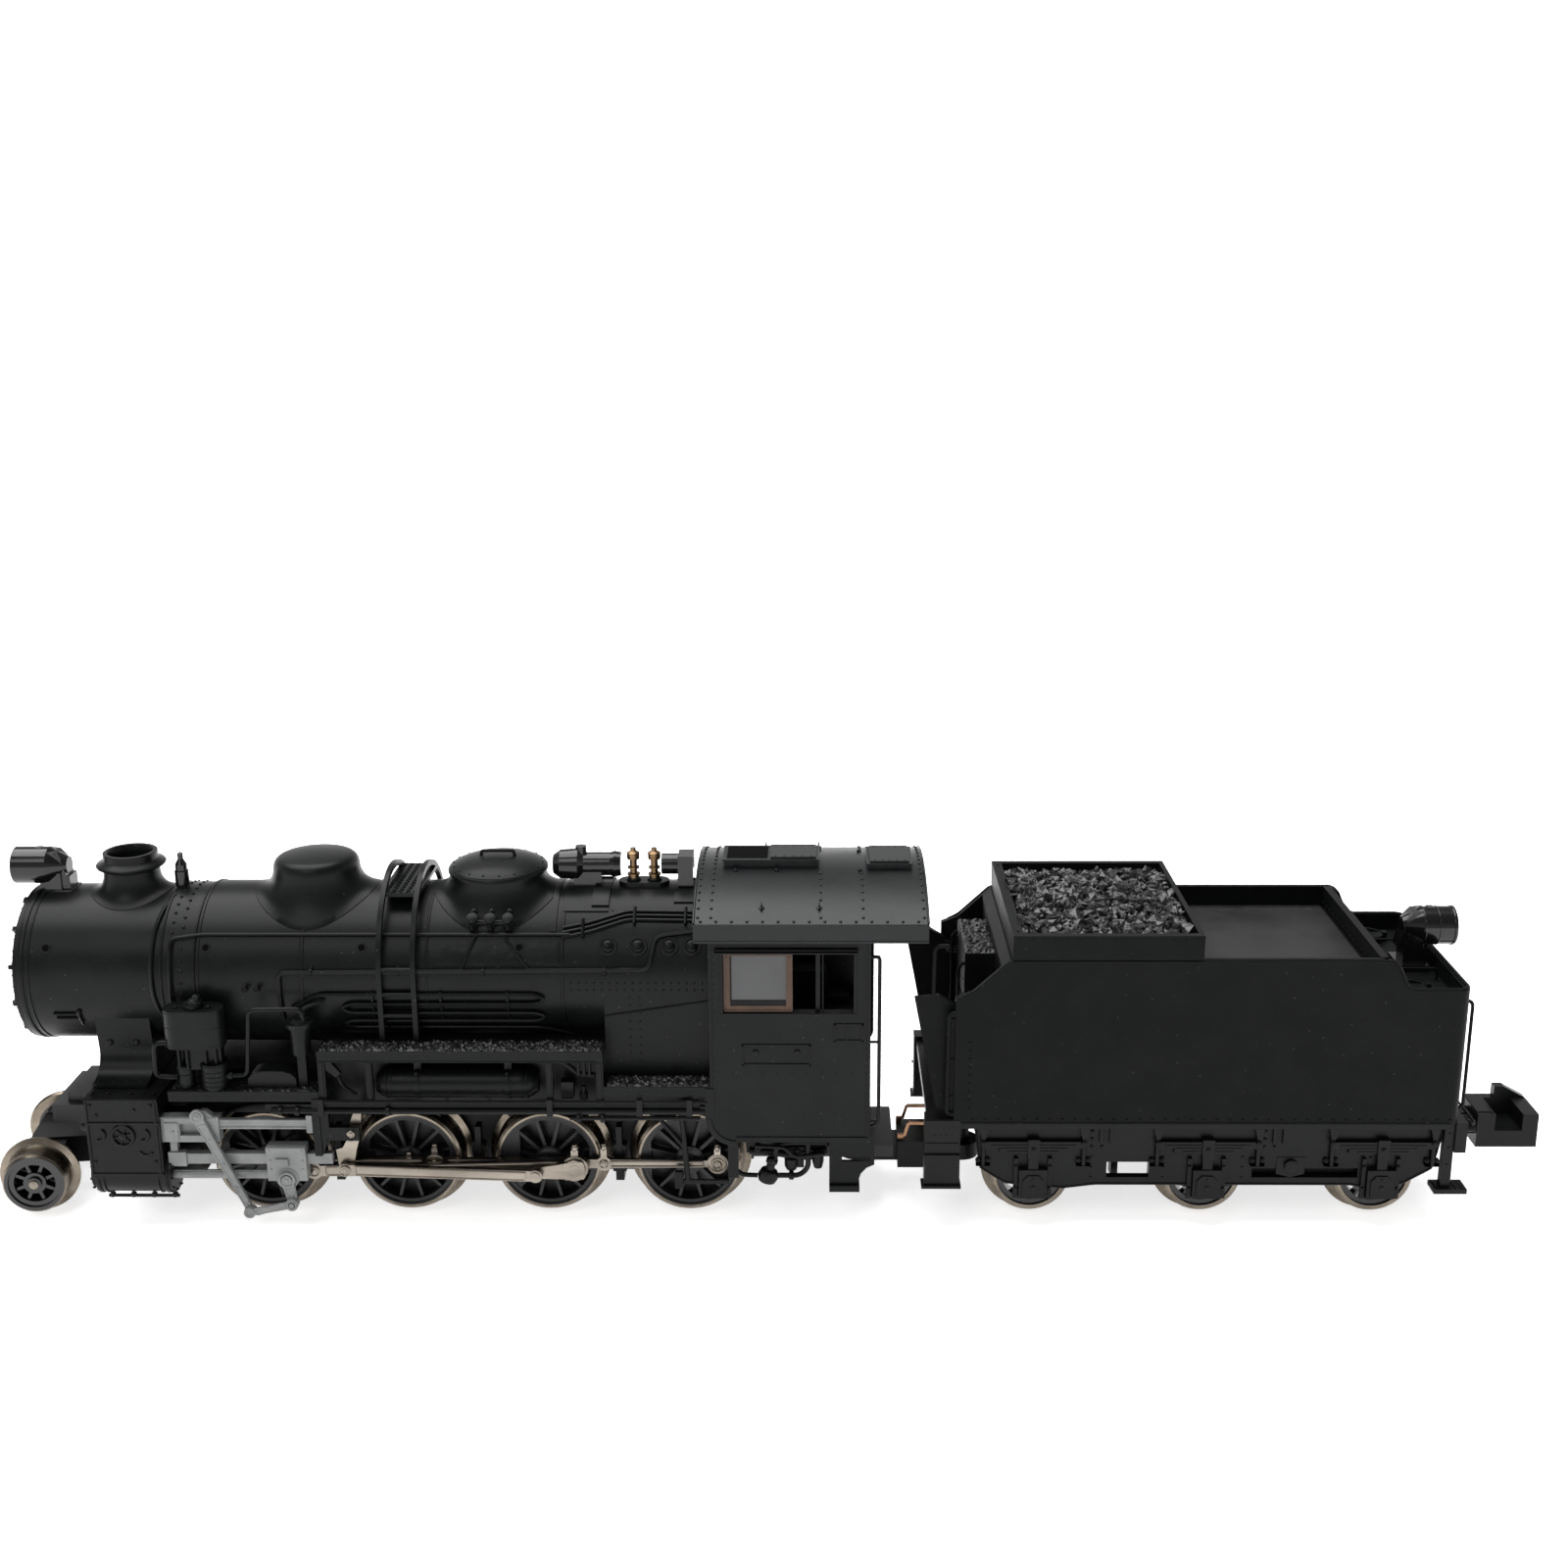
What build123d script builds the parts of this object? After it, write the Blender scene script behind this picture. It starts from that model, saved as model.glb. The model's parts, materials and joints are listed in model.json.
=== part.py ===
"""Model steam locomotive with tender, 1:150 scale for 9 mm gauge track.

Frame: X runs along the track with the chimney end at -X, the left side is -Y, Z is up, and
z = 0 is the plane through the lowest points of the wheel flanges. Millimetres throughout.
"""
from build123d import *
from math import asin, cos, degrees, hypot, radians, sin, sqrt
import os

# ---------------------------------------------------------------- driving dimensions
# Wheels and track
back_to_back = 7.4
flange_width = 0.5
wheel_width = 2.0
flange_depth = 0.55
driver_tread_radius = 3.9
driver_spacing = 10.16
main_driver_x = -15.5
leading_tread_radius = 2.3
tender_tread_radius = 2.85
tender_wheel_spacing = 12.3
tender_mid_axle_x = 31.45
driver_axle_radius = 0.75
carrying_axle_radius = 0.5

# Motion
crank_throw = 2.03
return_crank_throw = 0.73
rod_clearance = 0.07
slide_clearance = 0.06
axle_clearance = 0.05
crank_pin_radius = 0.35
eccentric_pin_radius = 0.2
union_pin_radius = 0.18
trunnion_radius = 0.3
piston_rod_radius = 0.3

# Boiler
boiler_axis_z = 17.75
smokebox_radius = 5.6
rivet_band_radius = 5.72
jacket_radius = 5.85
boiler_wall = 0.9
smokebox_front_x = -52.5
smokebox_rear_x = -42.4
jacket_front_x = -39.8
firebox_front_x = -11.1
chimney_x = -45.7
whistle_x = -42.1
sand_dome_x = -32.25
steam_dome_x = -19.1
front_lamp_z = 25.05
front_lamp_radius = 1.35

# Footboards and air reservoirs
board_outer_y = 7.9
valance_inner_y = 7.5
front_board_top_z = 10.85
high_board_front_x = -31.1
high_board_rear_x = -11.1
high_board_top_z = 13.9
rear_board_top_z = 11.25
post_width = 0.45
lower_rail_z = (9.5, 9.9)
tank_y = 6.35
tank_z = 10.95
tank_radius = 1.12

# Cab
cab_front_x = -3.65
cab_rear_x = 7.55
cab_half_width = 8.0
cab_wall = 0.7
cab_bottom_z = 7.1
cab_floor_z = 12.0
cab_top_z = 22.9
roof_front_x = -4.6
roof_rear_x = 11.45
roof_half_width = 8.4
roof_ridge_z = 25.4
roof_eave_z = 23.45
roof_fascia_bottom_z = 22.15
roof_thickness = 0.6
window_front_x = -2.64
window_rear_x = 6.36
window_bottom_z = 16.87
window_top_z = 21.2
sash_rear_x = 2.15
sash_border = 0.45

# Tender
tender_front_x = 13.4
tender_rear_x = 48.7
tender_half_width = 7.95
tender_wall = 0.55
tender_bottom_z = 8.5
tender_top_z = 20.7
tender_deck_z = 19.2
rear_rim_z = 18.5
rear_deck_z = 17.3
bunker_front_x = 17.2
bunker_rear_x = 30.2
bunker_top_z = 22.6
bunker_half_width = 8.15
coal_base_z = 21.1
rear_lamp_z = 20.4
rear_lamp_radius = 1.4

# Leading truck
truck_pivot_x = -47.3
truck_arm = 6.2
truck_rest_yaw = 7.0

# ---------------------------------------------------------------- derived positions
wheel_back = back_to_back / 2
tread_start = wheel_back + flange_width
wheel_face = wheel_back + wheel_width
driver_z = driver_tread_radius + flange_depth
leading_z = leading_tread_radius + flange_depth
tender_z = tender_tread_radius + flange_depth
driver_xs = [main_driver_x + (n - 2) * driver_spacing for n in range(4)]
tender_axle_xs = [tender_mid_axle_x + n * tender_wheel_spacing for n in (-1, 0, 1)]
# Crank pins of the left side stand straight behind their axles, the right side leads by 90 degrees.
crank_angle = {-1: 0.0, 1: 90.0}
return_crank_angle = {-1: 196.0, 1: 286.0}

# Sideways layers of the motion, measured from the centre line
side_rod_layer = (5.85, 6.2)
main_rod_layer = (6.5, 6.9)
return_crank_layer = (7.0, 7.3)
eccentric_rod_layer = (7.4, 7.75)
link_layer = (6.98, 7.28)
crosshead_layer = (7.05, 8.0)
lever_layer = (8.06, 8.32)
union_layer = (8.4, 8.62)
slide_bar_layer = (7.05, 7.62)

front_screw_x = -44.9
rear_screw_x = 2.5
drawbar_front_x = 6.8
drawbar_rear_x = 14.6
coupler_pivot_x = 47.0
coupler_rear_x = 56.75
coupler_bottom_z = 3.7
coupler_height = 2.6
coupler_half_width = 1.8
pivot_radius = 0.6
pivot_hole_radius = 0.66
screw_radius = 0.55
screw_head_radius = 1.0
screw_hole_radius = 0.62
frame_half_width = 3.3
frame_bottom_z = 3.4
frame_top_z = 11.5
worm_z = 8.0
gear_tip_radius = 2.3
worm_tip_radius = 1.2
cylinder_z = 4.2
cylinder_front_x = -47.7
cylinder_rear_x = -42.5
piston_rod_y = 7.35
crosshead_x = -33.8
eye_offset_x = 1.6
slide_bar_front_x = -42.1
slide_bar_z = 5.15
slide_bar_height = 0.8
lever_top_x = -39.8
lever_top_z = 9.1
lever_length = 8.0
union_link_length = 3.11
drop_pin_dx = 0.3
drop_pin_z = 2.4
link_pivot_x = -29.1
link_pivot_z = 7.6
link_foot_dx = -0.65
link_foot_drop = 2.9
side_names = {-1: "left", 1: "right"}


# ---------------------------------------------------------------- shape helpers
def box(x0, x1, y0, y1, z0, z1):
    """A box between two corners."""
    centre = Pos((x0 + x1) / 2, (y0 + y1) / 2, (z0 + z1) / 2)
    return centre * Box(abs(x1 - x0), abs(y1 - y0), abs(z1 - z0))


def rod_x(x0, x1, y, z, radius):
    """A round bar along X."""
    return Pos((x0 + x1) / 2, y, z) * Rot(0, 90, 0) * Cylinder(radius, abs(x1 - x0))


def rod_y(y0, y1, x, z, radius):
    """A round bar along Y."""
    return Pos(x, (y0 + y1) / 2, z) * Rot(90, 0, 0) * Cylinder(radius, abs(y1 - y0))


def rod_z(z0, z1, x, y, radius):
    """A round bar along Z."""
    return Pos(x, y, (z0 + z1) / 2) * Cylinder(radius, abs(z1 - z0))


def plate_y(points, y0, y1):
    """A flat plate whose outline lies in the XZ plane."""
    face = Face(Wire.make_polygon([(x, y0, z) for x, z in points]))
    return Solid.extrude(face, Vector(0, y1 - y0, 0))


def plate_x(points, x0, x1):
    """A section in the YZ plane, drawn out along X."""
    face = Face(Wire.make_polygon([(x0, y, z) for y, z in points]))
    return Solid.extrude(face, Vector(x1 - x0, 0, 0))


def turned_z(profile, x, y):
    """A turned shape about a vertical line; profile gives radius and height."""
    face = Face(Wire.make_polygon([(x + r, y, z) for r, z in profile]))
    return Solid.revolve(face, 360, Axis((x, y, 0), (0, 0, 1)))


def turned_x(profile, y, z):
    """A turned shape about a line along X; profile gives station and radius."""
    face = Face(Wire.make_polygon([(x, y, z + r) for x, r in profile]))
    return Solid.revolve(face, 360, Axis((0, y, z), (1, 0, 0)))


def turned_y(profile, x, z):
    """A turned shape about a line along Y; profile gives station and radius."""
    face = Face(Wire.make_polygon([(x, y, z + r) for y, r in profile]))
    return Solid.revolve(face, 360, Axis((x, 0, z), (0, 1, 0)))


def joined(pieces):
    """One solid from several that touch or overlap."""
    whole = pieces[0]
    for piece in pieces[1:]:
        whole = whole + piece
    return whole


def point_at(x, z, radius, angle):
    """The point at a radius and an angle from +X towards +Z."""
    return x + radius * cos(radians(angle)), z + radius * sin(radians(angle))


def bar_between(start, end, width_start, width_end, y0, y1):
    """A straight tapered bar between two pin centres in the XZ plane."""
    length = hypot(end[0] - start[0], end[1] - start[1])
    nx = -(end[1] - start[1]) / length
    nz = (end[0] - start[0]) / length
    corners = []
    for point, half in ((start, width_start / 2), (end, width_end / 2)):
        corners.append((point[0] + nx * half, point[1] + nz * half))
        corners.append((point[0] - nx * half, point[1] - nz * half))
    order = [corners[0], corners[2], corners[3], corners[1]]
    return plate_y(order, y0, y1)


def layer(side, span):
    """A sideways layer on one side of the centre line."""
    return (side * span[0], side * span[1])


def crank_pin(side, axle_x):
    """Centre of a crank pin at rest."""
    return point_at(axle_x, driver_z, crank_throw, crank_angle[side])


def return_crank_tip(side):
    """Tip of a return crank at rest."""
    return point_at(main_driver_x, driver_z, return_crank_throw, return_crank_angle[side])


def link_foot(side):
    """Lower pin of an expansion link at rest. Equal eccentric rods set the two sides apart."""
    reach = hypot(link_foot_dx, link_foot_drop)
    dx = link_foot_dx + return_crank_tip(side)[0] - return_crank_tip(-1)[0]
    return link_pivot_x + dx, link_pivot_z - sqrt(reach ** 2 - dx ** 2)


def link_swing(side):
    """Angle in degrees that an expansion link stands back from the left one's place at rest."""
    reach = hypot(link_foot_dx, link_foot_drop)
    foot_dx = link_foot(side)[0] - link_pivot_x
    return degrees(asin(foot_dx / reach) - asin(link_foot_dx / reach))


def crosshead_shift(side):
    """How far the crosshead stands in front of its rearmost place at rest."""
    return crank_throw * (cos(radians(crank_angle[side])) - 1)


parts = {}


def keep(name, *solids):
    """Files a sub-part under its node name."""
    parts[name] = solids[0] if len(solids) == 1 else Compound(children=list(solids))


# ---------------------------------------------------------------- boiler and its fittings
def make_boiler():
    """Smokebox, rivet band, lagged barrel and firebox as one moulded shell, with the saddle."""
    z = boiler_axis_z
    shell = rod_x(smokebox_front_x, smokebox_rear_x, 0, z, smokebox_radius)
    shell += rod_x(smokebox_rear_x, jacket_front_x, 0, z, rivet_band_radius)
    shell += rod_x(jacket_front_x, cab_front_x, 0, z, jacket_radius)
    shell += box(firebox_front_x, cab_front_x, -jacket_radius, jacket_radius, z - jacket_radius, z)
    bore = rod_x(smokebox_front_x - 1, cab_front_x - boiler_wall, 0, z, smokebox_radius - boiler_wall)
    shell -= bore
    return shell + make_saddle()


def make_saddle():
    """The flared skirt that carries the smokebox on the cylinders."""
    foot_z = 10.5
    neck_z = 12.9
    shoulder_z = 15.4
    neck_half = 4.7
    foot_half = 6.6
    shoulder_half = 5.0
    lip_z = foot_z + 0.35
    waist = (5.15, 11.4)
    front_x = -47.6
    length = 3.9
    left_curve = ThreePointArc((0, -foot_half, lip_z), (0, -waist[0], waist[1]), (0, -neck_half, neck_z))
    left_side = Line((0, -neck_half, neck_z), (0, -shoulder_half, shoulder_z))
    top = Line((0, -shoulder_half, shoulder_z), (0, shoulder_half, shoulder_z))
    right_side = Line((0, shoulder_half, shoulder_z), (0, neck_half, neck_z))
    right_curve = ThreePointArc((0, neck_half, neck_z), (0, waist[0], waist[1]), (0, foot_half, lip_z))
    right_foot = Line((0, foot_half, lip_z), (0, foot_half, foot_z))
    base = Line((0, foot_half, foot_z), (0, -foot_half, foot_z))
    left_foot = Line((0, -foot_half, foot_z), (0, -foot_half, lip_z))
    edges = [left_curve, left_side, top, right_side, right_curve, right_foot, base, left_foot]
    section = Face(Wire.combine([edge.edge() for edge in edges])[0])
    skirt = Pos(front_x, 0, 0) * Solid.extrude(section, Vector(length, 0, 0))
    return skirt - rod_x(-60, 0, 0, boiler_axis_z, smokebox_radius - boiler_wall / 2)


def make_smokebox_door():
    """Front ring with the dished door."""
    x = smokebox_front_x
    profile = [(x, 0), (x, 4.6), (x, smokebox_radius), (x - 0.35, smokebox_radius)]
    profile += [(x - 0.45, 5.3), (x - 0.45, 4.7), (x - 0.9, 4.3), (x - 1.3, 2.6), (x - 1.45, 0)]
    door = turned_x(profile, 0, boiler_axis_z)
    plug = rod_x(x, x + 1.2, 0, boiler_axis_z, smokebox_radius - boiler_wall - 0.02)
    return door + plug


def make_chimney():
    """Flared chimney with a lip and a rim, standing on the smokebox."""
    top = 26.1
    profile = [(1.35, 21.4), (3.0, 21.4), (3.0, 22.9), (2.55, 23.35), (2.15, 23.9), (1.95, 24.5)]
    profile += [(1.9, 24.95), (2.35, 25.1), (2.42, 25.25), (2.05, 25.45), (1.9, 25.5), (1.9, top)]
    profile += [(1.45, top), (1.35, 24.0)]
    stack = turned_z(profile, chimney_x, 0)
    return stack - rod_x(-52, -40, 0, boiler_axis_z, smokebox_radius)


def make_sand_dome():
    """Smooth round-topped dome with a flared foot."""
    profile = [(0, 20.5), (4.9, 20.5), (4.9, 21.6), (4.1, 22.5), (3.4, 23.3), (3.1, 24.0), (3.02, 24.6)]
    profile += [(2.85, 25.1), (2.45, 25.5), (1.8, 25.8), (0.9, 25.97), (0, 26.0)]
    dome = turned_z(profile, sand_dome_x, 0)
    return dome - rod_x(-40, -24, 0, boiler_axis_z, jacket_radius)


def make_steam_dome():
    """Wide dome closed by a flat lid with a rim and a handle."""
    profile = [(0, 20.3), (5.1, 20.3), (5.1, 21.5), (4.3, 22.5), (3.7, 23.2), (3.45, 23.9), (3.4, 24.3)]
    profile += [(3.55, 24.35), (3.55, 24.7), (3.3, 24.95), (2.6, 25.45), (1.6, 25.75), (0, 25.85)]
    dome = turned_z(profile, steam_dome_x, 0)
    handle_half = 1.3
    grip = 0.3
    handle = box(steam_dome_x - handle_half, steam_dome_x + handle_half, -0.18, 0.18, 25.6, 26.2)
    handle -= box(steam_dome_x - handle_half + grip, steam_dome_x + handle_half - grip, -1, 1, 25.0, 25.98)
    return dome + handle - rod_x(-28, -12, 0, boiler_axis_z, jacket_radius)


def make_safety_valves():
    """Pair of turned pop valves on an oval foot."""
    foot_z = boiler_axis_z + jacket_radius - 0.25
    foot = Pos(-8.6, 0, foot_z) * extrude(SlotCenterToCenter(2.0, 1.5), 0.5)
    pieces = [foot]
    for x in (-9.35, -7.85):
        profile = [(0, foot_z + 0.3), (0.38, foot_z + 0.3), (0.38, foot_z + 1.0), (0.26, foot_z + 1.1)]
        profile += [(0.26, foot_z + 2.1), (0.46, foot_z + 2.25), (0.46, foot_z + 2.6), (0.2, foot_z + 2.75)]
        profile += [(0.2, foot_z + 2.95), (0, foot_z + 2.95)]
        pieces.append(turned_z(profile, x, 0))
    return joined(pieces) - rod_x(-12, -5, 0, boiler_axis_z, jacket_radius)


def make_steam_fittings():
    """Turbo generator, turret with its valves, and the whistle on the smokebox."""
    crown_z = boiler_axis_z + jacket_radius
    profile = [(-15.1, 0), (-15.1, 0.7), (-14.6, 1.05), (-13.3, 1.15), (-12.9, 0.85)]
    profile += [(-11.0, 0.85), (-10.7, 0.95), (-10.2, 0.85), (-10.2, 0)]
    generator = turned_x(profile, 0, 25.1)
    generator += box(-13.6, -11.6, -0.75, 0.75, crown_z - 0.4, 24.9)
    generator += rod_z(25.5, 26.45, -13.1, 0, 0.4)
    turret = rod_x(-7.3, -5.0, 0, 25.1, 0.75)
    turret += box(-6.1, -5.0, -0.9, 0.9, crown_z - 0.3, 25.9)
    whistle_profile = [(0, 22.8), (0.5, 22.8), (0.5, 24.6), (0.42, 24.7), (0.42, 25.1)]
    whistle_profile += [(0.2, 25.5), (0.2, 25.9), (0, 26.05)]
    whistle = turned_z(whistle_profile, whistle_x, 0)
    barrel = rod_x(-60, 0, 0, boiler_axis_z, jacket_radius)
    band = rod_x(-60, -20, 0, boiler_axis_z, rivet_band_radius)
    return generator - barrel, turret - barrel, whistle - band


def headlight(x_lens, x_back, z, radius, direction):
    """Round electric headlight drawn towards x_back, with a recessed lens seat."""
    s = direction
    seat_x = x_lens + 0.35 * s
    shoulder_x = x_lens + 0.65 * abs(x_back - x_lens) * s
    profile = [(seat_x, 0), (seat_x, radius - 0.25), (x_lens, radius - 0.2), (x_lens, radius)]
    profile += [(shoulder_x, radius), (x_back, radius * 0.45), (x_back, 0)]
    return turned_x(profile, 0, z)


def make_front_headlight():
    """Headlight on a bracket at the front of the smokebox, and its lens."""
    lens_x = -54.0
    lamp = headlight(lens_x, -50.2, front_lamp_z, front_lamp_radius, 1)
    stand = box(-52.2, -50.0, -0.7, 0.7, 23.0, 24.4)
    lamp = lamp + stand - rod_x(-60, -40, 0, boiler_axis_z, smokebox_radius)
    lens = rod_x(lens_x + 0.1, lens_x + 0.35, 0, front_lamp_z, front_lamp_radius - 0.3)
    return lamp, lens


def make_ladder():
    """Boiler ladder: two rails arched over the boiler, rungs on both sides and a top platform."""
    foot_z = 13.9
    leg_y = 6.2
    spring_z = 18.0
    crown_half_height = 7.15
    half_rail = 0.18
    rail_width = 0.35
    front_x = -26.95
    rear_x = -24.55
    rung_radius = 0.16
    pieces = []
    for x in (front_x, rear_x):
        outer = extrude(Plane.YZ * Ellipse(leg_y + half_rail, crown_half_height), rail_width)
        outer = Pos(x, 0, spring_z) * outer
        inner = extrude(Plane.YZ * Ellipse(leg_y - half_rail, crown_half_height - 0.4), 3)
        inner = Pos(x - 1, 0, spring_z) * inner
        arch = outer - inner - box(x - 2, x + 2, -9, 9, 5, spring_z)
        pieces.append(arch)
        for side in (-1, 1):
            inner_y = side * (leg_y - half_rail)
            leg = box(x, x + rail_width, inner_y, side * (leg_y + half_rail), foot_z, spring_z)
            pieces.append(leg)
    for side in (-1, 1):
        for z in (15.9, 17.5, 19.3):
            shift = 0.0 if z < spring_z else 0.12
            pieces.append(rod_x(front_x + 0.15, rear_x + 0.15, side * (leg_y - shift), z, rung_radius))
    pieces.append(box(front_x, rear_x + rail_width, -3.4, 3.4, 23.75, 24.05))
    return joined(pieces)


def make_running_boards():
    """Footboards of both sides with their valances, posts, lower rails and motion brackets."""
    boards = []
    for side in (-1, 1):
        outer = board_outer_y * side
        lip = valance_inner_y * side
        front_x = high_board_front_x
        rear_x = high_board_rear_x
        high_top = high_board_top_z
        pieces = [box(-41.8, -30.7, 4.0 * side, outer, 10.1, front_board_top_z)]
        pieces.append(box(front_x, rear_x, 4.6 * side, outer, high_top - 0.45, high_top))
        pieces.append(box(front_x, rear_x, lip, outer, high_top - 0.8, high_top - 0.4))
        pieces.append(box(rear_x - 0.5, cab_front_x, 6.0 * side, outer, 10.5, rear_board_top_z))
        pieces.append(box(front_x, front_x + 0.5, lip, outer, 10.5, high_top - 0.7))
        pieces.append(box(rear_x - 0.5, rear_x, lip, outer, lower_rail_z[0], high_top - 0.7))
        pieces.append(box(-35.0, -4.4, lip, outer, lower_rail_z[0], lower_rail_z[1]))
        for x in (front_x, -27.75, -15.1):
            pieces.append(box(x, x + post_width, lip, outer, 9.6, high_top - 0.7))
        pieces.append(box(-4.9, -4.9 + post_width, lip, outer, 9.6, 10.8))
        pieces.append(box(-31.7, -31.2, 7.05 * side, 8.0 * side, slide_bar_z + slide_bar_height, 10.3))
        pieces.append(box(-31.5, -30.6, 7.4 * side, 7.9 * side, 6.8, 9.7))
        arm_x = link_pivot_x + 0.6
        pieces.append(box(-31.5, arm_x, 7.4 * side, 7.9 * side, link_pivot_z - 0.5, link_pivot_z + 0.5))
        whole = joined(pieces)
        bore = trunnion_radius + slide_clearance
        whole -= rod_y(7.3 * side, 8.1 * side, link_pivot_x, link_pivot_z, bore)
        boards.append(whole)
    return boards


def make_air_tanks():
    """Main air reservoirs slung under the raised footboards."""
    tanks = []
    for side in (-1, 1):
        profile = [(-27.3, 0), (-27.3, 0.7), (-26.9, 1.0), (-26.3, tank_radius), (-16.9, tank_radius)]
        profile += [(-16.3, 1.0), (-15.85, 0.7), (-15.85, 0)]
        tank = turned_x(profile, tank_y * side, tank_z)
        for x in (-24.6, -18.2):
            tank += box(x, x + 0.5, 6.0 * side, 6.7 * side, 11.5, high_board_top_z - 0.45)
        tanks.append(tank)
    return tanks


def make_pumps():
    """Air compressor and mechanical lubricator on the left, feed pump on the right."""
    board_z = front_board_top_z
    y = -7.0
    compressor = Pos(-39.75, y, 14.1) * extrude(SlotCenterToCenter(2.1, 2.1), 2.8)
    compressor += box(-40.5, -37.95, y - 0.35, y + 0.35, 12.3, 14.4)
    compressor += rod_z(board_z, 12.6, -40.65, y, 0.6)
    compressor += rod_z(board_z, 12.8, -38.6, y, 0.95)
    compressor += rod_z(16.8, 17.2, -39.75, y, 0.7)
    lubricator = rod_z(13.4, 16.0, -32.4, -6.9, 0.65) + box(-32.7, -32.1, -7.1, -6.7, board_z, 13.5)
    y = 7.0
    feed_pump = Pos(-37.0, y, 13.9) * extrude(SlotCenterToCenter(3.2, 1.9), 2.3)
    feed_pump += box(-38.2, -35.8, y - 0.5, y + 0.5, board_z, 14.0)
    return compressor, lubricator, feed_pump


# ---------------------------------------------------------------- cab
def roof_arc_radius(drop, half_width):
    """Radius of an arc from its drop and its half width."""
    return (half_width ** 2 + drop ** 2) / (2 * drop)


def roof_section(inset, bottom_z):
    """Outline of the roof arch with its vertical fascias, inset from the outer surface."""
    half = roof_half_width - inset
    radius = roof_arc_radius(roof_ridge_z - roof_eave_z, roof_half_width) - inset
    centre_z = roof_ridge_z - inset - radius
    eave_z = centre_z + sqrt(radius ** 2 - half ** 2)
    arch = ThreePointArc((0, -half, eave_z), (0, 0, roof_ridge_z - inset), (0, half, eave_z))
    right = Line((0, half, eave_z), (0, half, bottom_z))
    base = Line((0, half, bottom_z), (0, -half, bottom_z))
    left = Line((0, -half, bottom_z), (0, -half, eave_z))
    return Face(Wire.combine([edge.edge() for edge in (arch, right, base, left)])[0])


def make_cab():
    """Cab sides, front wall, floor and side steps as one moulded shell."""
    pieces = []
    corner = 1.8
    step_front_x = 4.7
    step_foot_x = 6.75
    step_bottom_z = 3.0
    step_outline = [(step_front_x, 7.9), (7.9, 7.9), (7.9, 5.0), (7.35, 4.75), (6.95, 4.3)]
    step_outline += [(step_foot_x, 3.7), (step_foot_x, 3.3), (step_front_x, 3.3)]
    for side in (-1, 1):
        inner = side * (cab_half_width - cab_wall)
        wall = box(cab_front_x, cab_rear_x, inner, side * cab_half_width, cab_bottom_z, cab_top_z)
        round_x = cab_front_x + corner
        round_z = cab_bottom_z + corner
        cutter = box(cab_front_x - 1, round_x, side * 6, side * 9, cab_bottom_z - 1, round_z)
        cutter -= rod_y(side * 5, side * 10, round_x, round_z, corner)
        wall -= cutter
        wall -= box(window_front_x, window_rear_x, side * 6, side * 9, window_bottom_z, window_top_z)
        wall += box(3.75, 4.05, side * 7.35, side * 7.6, window_bottom_z, window_top_z)
        pieces.append(wall)
        step = plate_y(step_outline, side * 7.0, side * 7.3)
        step -= box(5.6, 7.7, side * 6.5, side * 8, 5.25, 5.6)
        step += box(step_front_x, step_foot_x + 0.1, side * 6.3, side * 7.6, step_bottom_z, 3.4)
        step += box(step_front_x, cab_rear_x, side * 6.95, side * 7.35, 7.0, 12.3)
        pieces.append(step)
    front_wall = Solid.extrude(roof_section(roof_thickness + 0.02, 9.6), Vector(cab_wall, 0, 0))
    front_wall = Pos(cab_front_x, 0, 0) * front_wall
    front_wall &= box(-10, 10, -7.6, 7.6, 9.6, 30)
    for side in (-1, 1):
        front_wall -= box(-10, 0, side * 6.0, side * 7.0, 19.0, 21.8)
    front_wall -= box(-10, 0, -frame_half_width - 0.15, frame_half_width + 0.15, 9.0, frame_top_z + 0.1)
    floor = box(cab_front_x, cab_rear_x - 0.6, -7.4, 7.4, cab_floor_z, cab_floor_z + 0.4)
    return joined(pieces + [front_wall, floor])


def make_cab_roof():
    """Arched roof with its two ventilators and lifting lugs."""
    length = roof_rear_x - roof_front_x
    outer = Solid.extrude(roof_section(0, roof_fascia_bottom_z), Vector(length, 0, 0))
    roof = Pos(roof_front_x, 0, 0) * outer
    below = Solid.extrude(roof_section(roof_thickness, 20), Vector(length + 2, 0, 0))
    below = Pos(roof_front_x - 1, 0, 0) * below
    roof -= below
    roof -= box(-20, 20, -cab_half_width, cab_half_width, 20, cab_top_z)
    front_vent = box(-2.75, 3.9, -1.55, 1.55, 25.0, 25.95)
    rear_vent = box(7.5, 10.5, -1.9, 1.9, 24.95, 25.75)
    return roof + front_vent + rear_vent


def make_cab_windows():
    """Wooden sash frames of both sides and their panes."""
    frames = []
    panes = []
    x0 = window_front_x + 0.04
    z0 = window_bottom_z + 0.03
    z1 = window_top_z - 0.03
    light_x0 = x0 + sash_border
    light_x1 = sash_rear_x - sash_border
    light_z0 = z0 + sash_border
    light_z1 = z1 - 0.15
    for side in (-1, 1):
        sash = box(x0, sash_rear_x, side * 7.5, side * 7.85, z0, z1)
        sash -= box(light_x0, light_x1, side * 7, side * 8.5, light_z0, light_z1)
        frames.append(sash)
        panes.append(box(light_x0, light_x1, side * 7.6, side * 7.72, light_z0, light_z1))
    return frames, panes


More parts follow.
